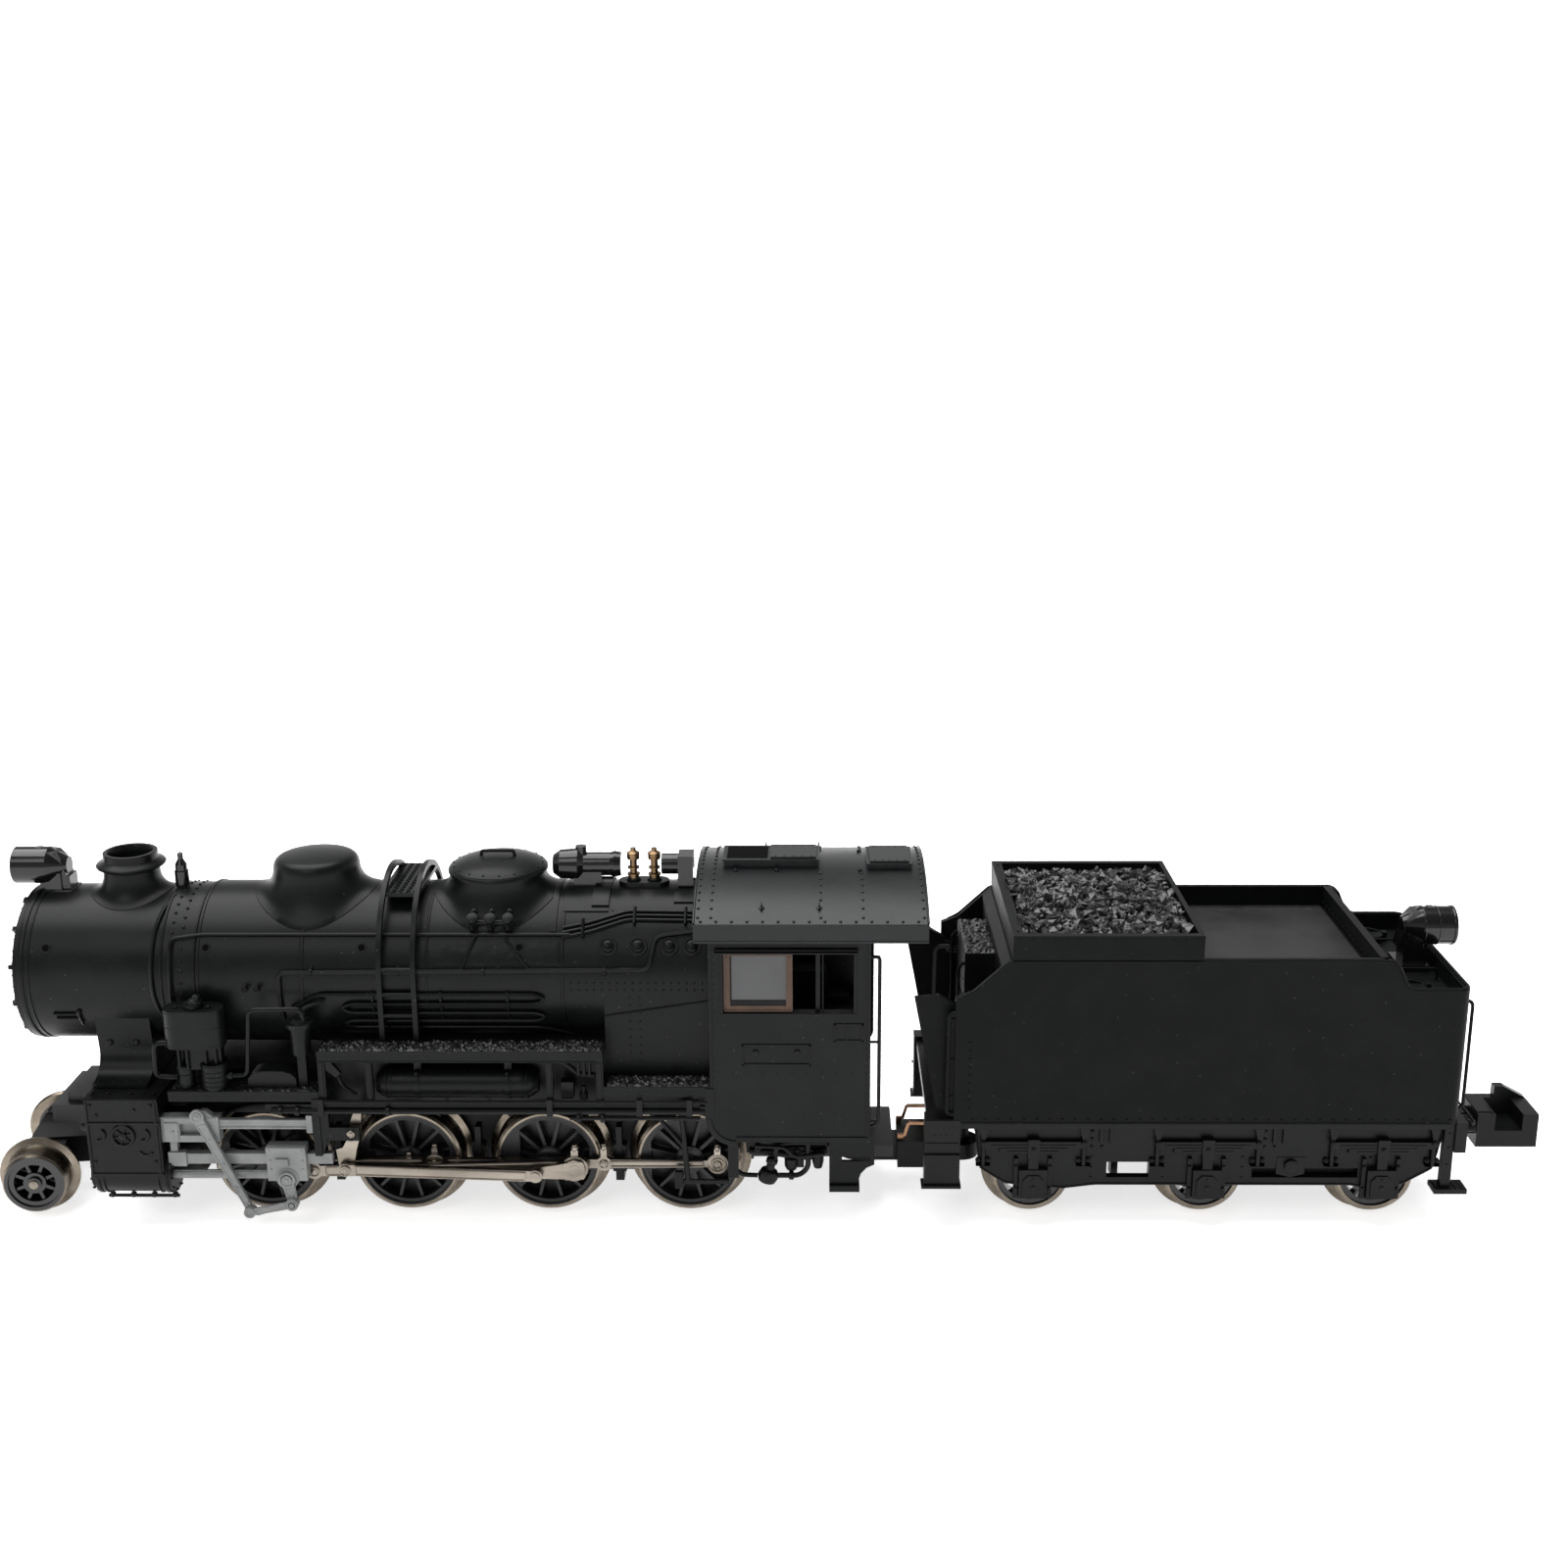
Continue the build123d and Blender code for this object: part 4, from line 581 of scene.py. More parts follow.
def make_barrel_holes():
    """Rims where the handrail posts stand, with thin dark discs of painted shade for the dark insides of the
    holes.
    """
    rims = Shape()
    bore_shade_discs = Shape()
    for side in SIDES:
        seats = ((-50.5, smokebox_radius), (-39.1, jacket_radius), (-28.1, jacket_radius),
                 (-17.0, jacket_radius + 0.09))
        for x, radius in seats:
            place = on_barrel(x, 29, radius, side)
            rims.hoop(place, off_barrel(29, side), 0.3, 0.1, 0.06, sides=20)
            # Each thin disc is painted shade standing in for the dark inside of the hole.
            bore_shade_discs.turned([(-0.02, 0.28), (0.035, 0.28)], place, off_barrel(29, side), 16)
    rims.finish("handrail_hole_rims", "engine", "black_body", soften=0)
    bore_shade_discs.finish("handrail_hole_shade_discs", "engine", "painted_hole_shade", "black_body", soften=0)


def make_barrel_pipes():
    """Steam, sand and feed pipes along both sides of the barrel."""
    feed_reach = 6.03
    conduit_reach = 5.96
    for side, name in SIDE_NAMES.items():
        pipes = Shape()
        upper = [(-41.6, -28), (-41.6, 35), (-39.5, 38), (firebox_x - 2.4, 38)]
        pipes.pipe(barrel_route(upper, 6.0, side), 0.12)
        feed = [(-33.9, -24), (-33.9, 12), (-8.0, 14), (-7.4, 37), (cab_x + 0.1, 42)]
        pipes.pipe(barrel_route(feed, feed_reach, side), 0.17)
        for x in (-31.6, -25.5, -19.5, -11.0):
            pipes.hoop(on_barrel(x, 12.5, feed_reach, side), BACK, 0.17, 0.2, 0.09, sides=16)
            pipes.rivet(on_barrel(x, 15.5, 5.85, side), off_barrel(15.5, side), 0.14)
        for n in range(3):
            lift = 3.4 * n
            conduit = [(-14.0, 36 + lift), (-12.1, 40 + lift), (-9.5, 49 + lift), (cab_x + 0.1, 48 + lift)]
            pipes.pipe(barrel_route(conduit, conduit_reach, side), 0.11)
        for x, angle in ((-12.6, 43), (-9.0, 52.5), (-5.4, 52)):
            strap = [on_barrel(x, angle - 7, 6.07, side), on_barrel(x, angle + 6, 6.07, side)]
            pipes.pipe(strap, 0.12)
        coil = [(-33.2, -14), (-31.2, -3), (-15.9, -3), (-15.2, -6.5), (-15.9, -10), (-29.0, -10),
                (-29.7, -13.5)]
        coil += [(-29.0, -17), (-15.9, -17), (-15.2, -20.5), (-15.9, -24), (-29.0, -24), (-29.7, -27.5)]
        coil += [(-29.0, -31), (-15.5, -31), (-13.4, -40)]
        pipes.pipe(barrel_route(coil, 6.06, side), 0.13)
        for x in (-17.9, -22.6, -27.4):
            pipes.pipe(barrel_route([(x, -1), (x, -33)], 5.98, side), 0.1)
        for x0, x1 in ((-20.1, -21.1), (-18.1, -16.3)):
            pipes.pipe(barrel_route([(x0, 44), (x0, 36), (x1, 14)], conduit_reach, side), 0.13)
        pipes.finish(f"barrel_pipes_{name}", "engine", "black_body", soften=0)


def make_feed_valves():
    """Clack valve clusters in front of the steam dome, and the lagging panels below them."""
    for side, name in SIDE_NAMES.items():
        valves = Shape()
        for n in range(3):
            x = -20.3 + 1.25 * n
            out = off_barrel(46, side)
            place = on_barrel(x, 46, 5.8, side)
            valves.turned([(0, 0.42), (0.35, 0.42), (0.4, 0.3), (0.85, 0.3), (0.9, 0.4), (1.05, 0.4),
                           (1.1, 0.2)],
                          place, out, 12)
            valves.bolt(on_barrel(x, 53, 6.1, side), off_barrel(53, side), 0.22, 0.3)
            valves.rod(on_barrel(x, 40, 6.0, side), on_barrel(x, 53, 6.0, side), 0.24, 10)
        valves.rod(on_barrel(-20.6, 46, 6.15, side), on_barrel(-17.5, 46, 6.15, side), 0.2)
        valves.finish(f"clack_valves_{name}", "engine", "black_body", soften=0)
        panel = Shape()
        x0, x1, steps, rows = -23.3, -14.2, 40, 12
        grid = []
        for i in range(steps + 1):
            for k in range(rows + 1):
                rise = 0.05 + 0.035 * shuffle.random() * (0 < i < steps) * (0 < k < rows)
                angle = 17 + 18 * k / rows
                grid.append(on_barrel(x0 + (x1 - x0) * i / steps, angle, jacket_radius + rise, side))
        panel.add(grid, grid_faces(steps, rows))
        for n in range(14):
            panel.rivet(on_barrel(x0 + 0.3 + 0.66 * n, 15.6, jacket_radius, side), off_barrel(15.6, side),
                        0.08)
        panel.finish(f"lagging_panel_{name}", "engine", "black_body", soften=0)


def curved_plate(shape, x0, x1, angle0, angle1, rise, side):
    """A plate that follows the barrel and stands a little proud of it."""
    steps = max(2, int((angle1 - angle0) / 5))
    section = []
    for out in (jacket_radius + rise, jacket_radius - 0.1):
        ring = [on_barrel(x0, angle0 + (angle1 - angle0) * n / steps, out, side) for n in range(steps + 1)]
        section += ring if out > jacket_radius else ring[::-1]
    shape.prism(section, (x1 - x0, 0, 0))


def make_firebox_detail():
    """Washout plugs, stay rivets, seams and cover plates of the firebox."""
    for side, name in SIDE_NAMES.items():
        detail = Shape()
        for x in (-10.8, -8.7, -6.5, -4.9):
            place = on_barrel(x, 30, jacket_radius, side)
            out = off_barrel(30, side)
            detail.hoop(place, out, 0.56, 0.2, 0.12, sides=28)
            detail.turned([(0, 0.42), (0.14, 0.4), (0.2, 0.28), (0.42, 0.24), (0.46, 0.08)], place, out, 16)
        for angle in (4.5, -0.5):
            for n in range(18):
                x = firebox_x - 2.3 + 0.54 * n
                detail.rivet(on_barrel(x, angle, jacket_radius, side), (0, side, 0), 0.095)
        for x in (-9.3, -8.6):
            detail.rivet_row((x, side * jacket_radius, boiler_z - 0.6), (0, 0, -0.6), 9, (0, side, 0), 0.08)
        y = side * (jacket_radius + 0.05)
        detail.pipe([(firebox_x - 0.05, y, boiler_z - 2.0), (cab_x, y, boiler_z - 0.85)], 0.07)
        curved_plate(detail, -14.1, -10.9, 56, 90, 0.1, side)
        curved_plate(detail, -12.1, -10.9, 60, 78, 0.24, side)
        curved_plate(detail, -6.3, -4.0, 64, 78, 0.12, side)
        curved_plate(detail, -14.9, -14.5, 40, 90, 0.12, side)
        for n in range(9):
            detail.rivet(on_barrel(firebox_x - 2.2 + 0.9 * n, 57, jacket_radius, side), off_barrel(57, side),
                         0.07)
        detail.finish(f"firebox_detail_{name}", "engine", "black_body", soften=0)


# ---------------------------------------------------------------- rough treads and coal
def granular(shape, x0, x1, y0, y1, z, cell, rise):
    """A patch of coarse anti-slip grains."""
    columns = max(2, int(abs(x1 - x0) / cell))
    rows = max(2, int(abs(y1 - y0) / cell))
    points = []
    for i in range(columns + 1):
        for k in range(rows + 1):
            edge = i in (0, columns) or k in (0, rows)
            jitter = 0 if edge else 0.35 * cell
            x = x0 + (x1 - x0) * i / columns + shuffle.uniform(-jitter, jitter)
            y = y0 + (y1 - y0) * k / rows + shuffle.uniform(-jitter, jitter)
            points.append((x, y, z - 0.02 if edge else z + rise * shuffle.random() ** 1.4))
    shape.add(points, grid_faces(columns, rows))


def faceted(piece):
    """Leaves every face flat, as broken grains are."""
    piece.data.shade_flat()
    return piece


def make_treads():
    """Anti-slip surfaces of the footboards."""
    for side, name in SIDE_NAMES.items():
        tread = Shape()
        granular(tread, board_low.x + 10.8, firebox_x - 0.05, side * 6.0, side * 7.85, board_high.z + 0.02,
                 0.15, 0.2)
        granular(tread, firebox_x + 0.1, cab_x - 0.05, side * 6.05, side * 7.85, 11.27, 0.15, 0.2)
        granular(tread, board_low.x + 0.1, board_low.x + 10.5, side * 6.1, side * 7.85, 10.87, 0.2, 0.1)
        piece = tread.finish(f"tread_{name}", "engine", "granules", "black_body", soften=0)
        faceted(piece)


def make_coal():
    """Loose broken coal over the moulded heap."""
    lump_count = 1500
    heap_low, heap_high = span("coal_load")
    golden = (1 + math.sqrt(5)) / 2
    corners = [(0, s, t * golden) for s in SIDES for t in SIDES]
    corners += [(s, t * golden, 0) for s in SIDES for t in SIDES]
    corners += [(t * golden, 0, s) for s in SIDES for t in SIDES]
    lump_faces = hull_faces(corners)
    coal = Shape()
    for _ in range(lump_count):
        x = shuffle.uniform(heap_low.x + 0.15, heap_high.x - 0.15)
        y = shuffle.uniform(heap_low.y + 0.15, heap_high.y - 0.15)
        size = shuffle.choice((0.28, 0.34, 0.42, 0.52, 0.62))
        z = heap_high.z - 0.5 * (abs(y) / heap_high.y) ** 2 + shuffle.uniform(-0.2, 0.12)
        turn = Matrix.Rotation(shuffle.uniform(0, 6.28), 3,
                               Vector((shuffle.random(), shuffle.random(), 1)).normalized())
        stretch = [size * shuffle.uniform(0.55, 1.2) / 1.9 for _ in range(3)]
        points = []
        for corner in corners:
            bent = [c * s * shuffle.uniform(0.75, 1.2) for c, s in zip(corner, stretch)]
            points.append(Vector((x, y, z)) + turn @ Vector(bent))
        coal.add(points, lump_faces)
    piece = coal.finish("loose_coal", "tender", "coal", soften=0)
    faceted(piece)


def hull_faces(corners):
    """Triangles of the convex solid on a few corners."""
    work = bmesh.new()
    made = [work.verts.new(c) for c in corners]
    bmesh.ops.convex_hull(work, input=made)
    work.verts.index_update()
    faces = [tuple(v.index for v in face.verts) for face in work.faces]
    work.free()
    return faces


# ---------------------------------------------------------------- smokebox and lamps
def make_smokebox_detail():
    """Door clamps, hinge straps, centre dart, saddle bolts, side lever and the exhaust pipe."""
    face_x = smokebox_x - 0.38
    door = Shape()
    for a, b in around(12, 1.0, 0.5):
        out = Vector((0, a, b))
        middle = Vector((face_x, 0, boiler_z)) + out * 5.1
        across = Vector((0, -b, a)) * 0.16
        clamp = [middle - out * 0.4 - across, middle + out * 0.32 - across]
        clamp += [middle + out * 0.32 + across, middle - out * 0.4 + across]
        door.prism([p + Vector((0.1, 0, 0)) for p in clamp], (-0.42, 0, 0))
        door.bolt(middle + Vector((-0.3, 0, 0)), FRONT, 0.13, 0.1)
    for lift in (-1.6, 1.6):
        route = [(face_x - 0.35, 5.0, boiler_z + lift), (face_x - 0.62, 3.9, boiler_z + lift)]
        route += [(face_x - 1.0, 1.6, boiler_z + lift), (face_x - 1.08, 0.4, boiler_z + lift)]
        door.pipe(route, 0.2)
        door.rod((face_x - 0.35, 5.1, boiler_z + lift - 0.4), (face_x - 0.35, 5.1, boiler_z + lift + 0.4),
                 0.24)
    for a, b in around(40, 5.42):
        door.rivet((face_x - 0.06, a, boiler_z + b), FRONT, 0.06)
    dart_x = smokebox_x - 1.42
    door.turned([(0, 0.5), (0.12, 0.48), (0.2, 0.3), (0.42, 0.22)], (dart_x, 0, boiler_z), FRONT, 18)
    for turn in (20, 110):
        arm = Vector((0, math.cos(math.radians(turn)), math.sin(math.radians(turn)))) * 0.75
        middle = Vector((dart_x - 0.36, 0, boiler_z))
        door.rod(middle - arm * (turn > 90), middle + arm, 0.08)
    door.finish("smokebox_door_detail", "engine", "black_body")
    for side, name in SIDE_NAMES.items():
        detail = Shape()
        for x in (-46.75, -44.85):
            detail.turned([(-0.1, 0.26), (0.1, 0.24), (0.2, 0.14)], (x, side * 4.72, 13.25), (0, side, 0.1),
                          14)
        route = [(-42.2, 76), (-42.6, 60), (-42.9, 42), (-43.0, 15), (-42.95, -5), (-42.7, -20), (-42.3, -28)]
        detail.pipe(barrel_route(route, smokebox_radius + 0.1, side), 0.15)
        detail.pipe(barrel_route([(-50.35, -22), (-48.4, -22)], smokebox_radius + 0.08, side), 0.11)
        detail.pipe(barrel_route([(-48.55, -20), (-48.45, -32)], smokebox_radius + 0.16, side), 0.1)
        detail.rivet(on_barrel(-48.5, -20, smokebox_radius + 0.1, side), off_barrel(-20, side), 0.2)
        for x in (-36.25, -35.4):
            detail.turned([(0, 0.16), (0.5, 0.14), (0.55, 0.2), (0.7, 0.2)], on_barrel(x, 0, 5.8, side),
                          off_barrel(18, side), 10)
        detail.rivet_row((-47.3, side * 6.2, 10.85), (1.02, 0, 0), 4, (0, side * 0.5, 1), 0.09)
        detail.finish(f"smokebox_detail_{name}", "engine", "black_body", soften=0)
        # A dark strip of painted shade stands in for the side lever's slot.
        slot = Shape()
        slot.pipe(barrel_route([(-50.2, -26), (-48.7, -26)], smokebox_radius - 0.08, side), 0.2, sides=10)
        slot.finish(f"side_lever_slot_painted_shade_{name}", "engine", "painted_hole_shade", "black_body", soften=0)


def make_lamp(name, body, lens_x, back_x, z, radius, foot_z):
    """Cast case, rim, lens rings and bracket of a headlight."""
    s = 1 if back_x > lens_x else -1
    case = Shape()
    case.hoop((lens_x + 0.12 * s, 0, z), BACK, radius - 0.02, 0.24, 0.07, sides=40)
    case.hoop((lens_x + 1.25 * s, 0, z), BACK, radius - 0.02, 0.1, 0.05, sides=40)
    case.hoop((lens_x + 2.3 * s, 0, z), BACK, radius - 0.02, 0.14, 0.06, sides=40)
    hump = [(2.3, 1.22), (3.0, 1.12), (3.45, 0.6), (3.75, -0.55), (4.0, -1.45), (2.3, -1.55), (1.9, -1.0)]
    outline = [(lens_x + a * s, -0.72, z + h * radius / 1.35) for a, h in hump]
    case.prism(outline, (0, 1.44, 0))
    case.box(lens_x + 1.5 * s, lens_x + 1.95 * s, -0.28, 0.28, z + radius - 0.1, z + radius + 0.05)
    case.box(lens_x + 2.0 * s, back_x + 0.15 * s, -0.95, 0.95, foot_z, foot_z + 0.3)
    for side in SIDES:
        case.bolt((lens_x + 2.9 * s, side * 0.72, z + 0.2), (0, side, 0), 0.2, 0.12)
        case.box(lens_x + 2.2 * s, lens_x + 3.4 * s, side * 0.7, side * 0.85, foot_z, z - 0.4)
    case.finish(f"{name}_case", body, "gloss_black", soften=0.06)
    rim = Shape()
    rim.hoop((lens_x + 0.18 * s, 0, z), BACK, radius - 0.32, 0.16, 0.08, sides=40)
    rim.finish(f"{name}_reflector_rim", body, "nickel", soften=0)
    lens = Shape()
    x = lens_x + 0.1 * s
    profile = [(0, radius - 0.3), (0.06, radius - 0.34), (0.1, 0.75), (0.05, 0.7), (0.13, 0.42), (0.15, 0.05)]
    lens.turned(profile, (x + 0.06 * s, 0, z), (-s, 0, 0), 40)
    lens.finish(f"{name}_lens", body, "clear", soften=0)


# ---------------------------------------------------------------- footboards, pumps and tanks
def make_under_board_pipes():
    """Pipe runs with clips along the lower rail, wheel splashers, hoses, brake shoes and board edges."""
    rail_pipe_z = 9.45
    upper_pipe_z = 10.15
    cab_pipe_z = 8.95
    edge_in = 7.86
    edge_out = 7.98
    for side, name in SIDE_NAMES.items():
        pipes = Shape()
        y = side * 8.02
        pipes.pipe([(-34.6, y, rail_pipe_z), (-32.4, y, rail_pipe_z), (cab_x - 0.4, y, rail_pipe_z)], 0.19)
        pipes.pipe([(-31.2, y, upper_pipe_z), (cab_x - 0.2, y, upper_pipe_z)], 0.15)
        pipes.pipe([(-13.5, y, cab_pipe_z), (cab_x - 0.7, y, cab_pipe_z)], 0.17)
        for x, z in ((-33.9, rail_pipe_z), (-32.7, rail_pipe_z), (-26.3, rail_pipe_z), (-12.9, cab_pipe_z),
                     (-11.2, cab_pipe_z)):
            pipes.hoop((x, y, z), BACK, 0.2, 0.34, 0.13, sides=14)
        for x in (-31.0, -14.9, -8.6, -5.1):
            pipes.box(x - 0.2, x + 0.2, side * 7.85, side * 8.25, 9.15, 10.4)
        pipes.finish(f"under_board_pipes_{name}", "engine", "frame_black", soften=0)
        guard = Shape()
        guard.box(-31.0, cab_x - 0.2, side * 5.77, side * 5.84, 8.15, 13.2)
        guard.box(-41.2, -31.0, side * 5.77, side * 5.84, 8.3, 10.1)
        for x in axle_x.values():
            guard.hoop((x, side * 6.05, driver_z), ACROSS, 4.62, 0.5, 0.1, 235, 305, sides=90)
        for middle in ((axle_x[n] + axle_x[n + 1]) / 2 for n in (1, 2, 3)):
            guard.box(middle - 0.2, middle + 0.2, side * 4.6, side * 5.5, 3.4, 7.0)
            for s in SIDES:
                shoe = [(middle + s * 0.2, side * 4.5, 5.6), (middle + s * 0.5, side * 4.5, 5.4)]
                shoe += [(middle + s * 0.42, side * 4.5, 4.5), (middle + s * 0.5, side * 4.5, 3.5)]
                shoe += [(middle + s * 0.2, side * 4.5, 3.4)]
                guard.prism(shoe, (0, side * 0.9, 0))
        guard.finish(f"splashers_and_brakes_{name}", "engine", "frame_black", soften=0)
        loose = Shape()
        loose.pipe([(-14.7, side * 7.2, 13.0), (-13.9, side * 7.2, 12.85), (-12.9, side * 7.2, 11.9),
                    (-11.7, side * 7.2, 11.85)], 0.2)
        for x in (-12.9, -12.5, -12.1):
            loose.rod((x, side * 7.35, 11.9), (x, side * 7.35, 12.95), 0.13)
        loose.box(-14.2, -13.3, side * 6.4, side * 7.2, 10.0, 11.3)
        loose.turned([(0, 0.3), (0.5, 0.3), (0.6, 0.18), (1.0, 0.18)], (-12.6, side * 7.1, 10.0), UP, 12)
        brace = [(-30.6, side * 7.5, 13.1), (-30.2, side * 7.5, 13.1), (-29.5, side * 7.5, 12.2)]
        brace += [(-29.9, side * 7.5, 11.9), (-30.6, side * 7.5, 12.5)]
        loose.prism(brace, (0, side * 0.3, 0))
        loose.pipe([(-29.9, side * 7.3, 11.9), (-29.6, side * 7.3, 11.0), (-28.6, side * 7.3, 10.4)], 0.13)
        low_box = [(-35.9, 10.85), (-35.85, 11.6), (-35.5, 11.98), (-34.9, 12.12), (-33.4, 12.12)]
        low_box += [(-32.8, 11.98), (-32.45, 11.6), (-32.4, 10.85)]
        if side < 0:
            loose.prism([(x - 0.4, side * 7.3, z) for x, z in low_box], (0, -side * 1.6, 0))
        loose.finish(f"board_fittings_{name}", "engine", "frame_black")
        edge = Shape()
        edge.box(board_low.x + 10.7, firebox_x, side * edge_in, side * edge_out, 13.55, 13.96)
        edge.box(board_low.x + 10.75, firebox_x - 0.4, side * 7.88, side * 7.96, 13.1, 13.2)
        edge.box(firebox_x, cab_x, side * edge_in, side * edge_out, 10.95, 11.3)
        edge.box(board_low.x, -31.2, side * edge_in, side * edge_out, 10.55, 10.9)
        for x in (-31.1, -27.75, -15.1, -11.6):
            edge.box(x + 0.08, x + 0.37, side * 7.88, side * 7.96, 9.9, 13.1)
        edge.finish(f"board_edges_{name}", "engine", "black_body")


def make_tank_bands():
    """Straps, end seams and drain cocks of the air reservoirs."""
    tank_y = 6.35
    tank_z = 10.95
    for side, name in SIDE_NAMES.items():
        bands = Shape()
        for x in (-26.55, -26.15, -17.0, -16.6):
            bands.hoop((x, side * tank_y, tank_z), BACK, 1.1, 0.14, 0.05, sides=48)
        for x in (-24.35, -17.95):
            bands.hoop((x, side * tank_y, tank_z), BACK, 1.12, 0.4, 0.06, sides=48)
            bands.bolt((x, side * 7.2, 11.9), (0, side, 0.7), 0.12, 0.12)
        for x in (-22.5, -19.5):
            bands.turned([(0, 0.14), (0.35, 0.14), (0.4, 0.2), (0.5, 0.2)], (x, side * tank_y, 9.85), DOWN,
                         10)
        bands.finish(f"tank_straps_{name}", "engine", "black_body", soften=0)


def make_pump_detail():
    """Bands, heads and pipework of the air compressor and the lubricator."""
    y = -7.0
    pump = Shape()
    for x in (-40.8, -38.7):
        for z in (14.25, 15.6, 16.72):
            pump.hoop((x, y, z), UP, 1.03, 0.12, 0.05, sides=40)
    for x, radius, levels in ((-40.65, 0.6, (11.1, 11.9, 12.5)),
                              (-38.6, 0.95, (11.15, 11.5, 11.85, 12.2, 12.65))):
        for z in levels:
            pump.hoop((x, y, z), UP, radius - 0.02, 0.13, 0.07, sides=36)
    for x in (-40.9, -40.3, -39.0, -38.3):
        pump.rod((x, y - 0.5, 12.4), (x, y - 0.5, 14.2), 0.1)
        pump.rod((x, y + 0.4, 12.4), (x, y + 0.4, 14.2), 0.1)
    pump.turned([(0, 0.5), (0.35, 0.46), (0.4, 0.3), (0.7, 0.26), (0.75, 0.1)], (-39.6, y, 17.1),
                (0.25, 0, 1), 16)
    pump.box(-40.2, -39.1, y - 0.3, y + 0.3, 16.85, 17.35)
    pump.bolt((-38.6, y - 0.2, 16.9), UP, 0.2, 0.15)
    pump.bolt((-40.9, y - 0.2, 16.9), UP, 0.16, 0.12)
    pump.pipe([(-41.3, y - 0.5, 14.4), (-42.55, y - 0.5, 14.4), (-42.65, y - 0.5, 11.85),
               (-41.1, y - 0.5, 11.8)], 0.18)
    pump.pipe([(-37.7, y - 0.4, 11.85), (-36.2, y - 0.4, 11.9), (-35.75, y - 0.4, 16.85),
               (-32.1, y - 0.3, 16.85), (-32.0, y - 0.3, 16.0)], 0.16)
    pump.hoop((-37.4, y - 0.4, 11.86), BACK, 0.16, 0.3, 0.1, sides=16)
    lubricator_x = -32.4
    profile = [(13.3, 0.4), (13.5, 0.62), (15.4, 0.74), (15.45, 0.95), (15.8, 0.98), (15.85, 0.7),
               (16.1, 0.6)]
    pump.turned([(z, r) for z, r in profile], (lubricator_x, -6.9, 0), UP, 28)
    pump.pipe([(lubricator_x, -6.9, 16.0), (lubricator_x + 0.3, -6.7, 16.7),
               (lubricator_x + 1.6, -6.0, 16.9)], 0.13)
    pump.finish("compressor_detail", "engine", "black_body")
    feed = Shape()
    for z in (14.1, 15.0, 15.95):
        for x in (-38.55, -35.45):
            feed.hoop((x, 7.0, z), UP, 0.93, 0.12, 0.06, sides=32)
    for x in (-38.2, -37.0, -35.8):
        feed.bolt((x, 7.0, 16.2), UP, 0.24, 0.2)
        feed.rod((x, 7.5, 11.0), (x, 7.5, 13.9), 0.12)
    feed.pipe([(-35.2, 7.4, 12.0), (-33.6, 7.4, 12.0), (-33.4, 7.2, 15.6), (-32.4, 6.3, 16.6)], 0.18)
    feed.pipe([(-38.6, 7.4, 12.4), (-40.4, 7.4, 12.4), (-40.6, 7.2, 15.0), (-41.2, 6.0, 16.4)], 0.18)
    feed.finish("feed_pump_detail", "engine", "black_body")


def make_ladder_tread():
    """Raised pattern on the ladder's top platform."""
    tread_z = 24.06
    half_length = 0.13
    tread = Shape()
    for row in range(22):
        for n in range(5):
            lean = 0.12 if (row + n) % 2 else -0.12
            y = -3.15 + 0.3 * row
            x = -26.55 + 0.5 * n
            tread.rod((x - half_length, y - lean, tread_z), (x + half_length, y + lean, tread_z), 0.055, 6)
    tread.finish("ladder_tread", "engine", "black_body", soften=0)


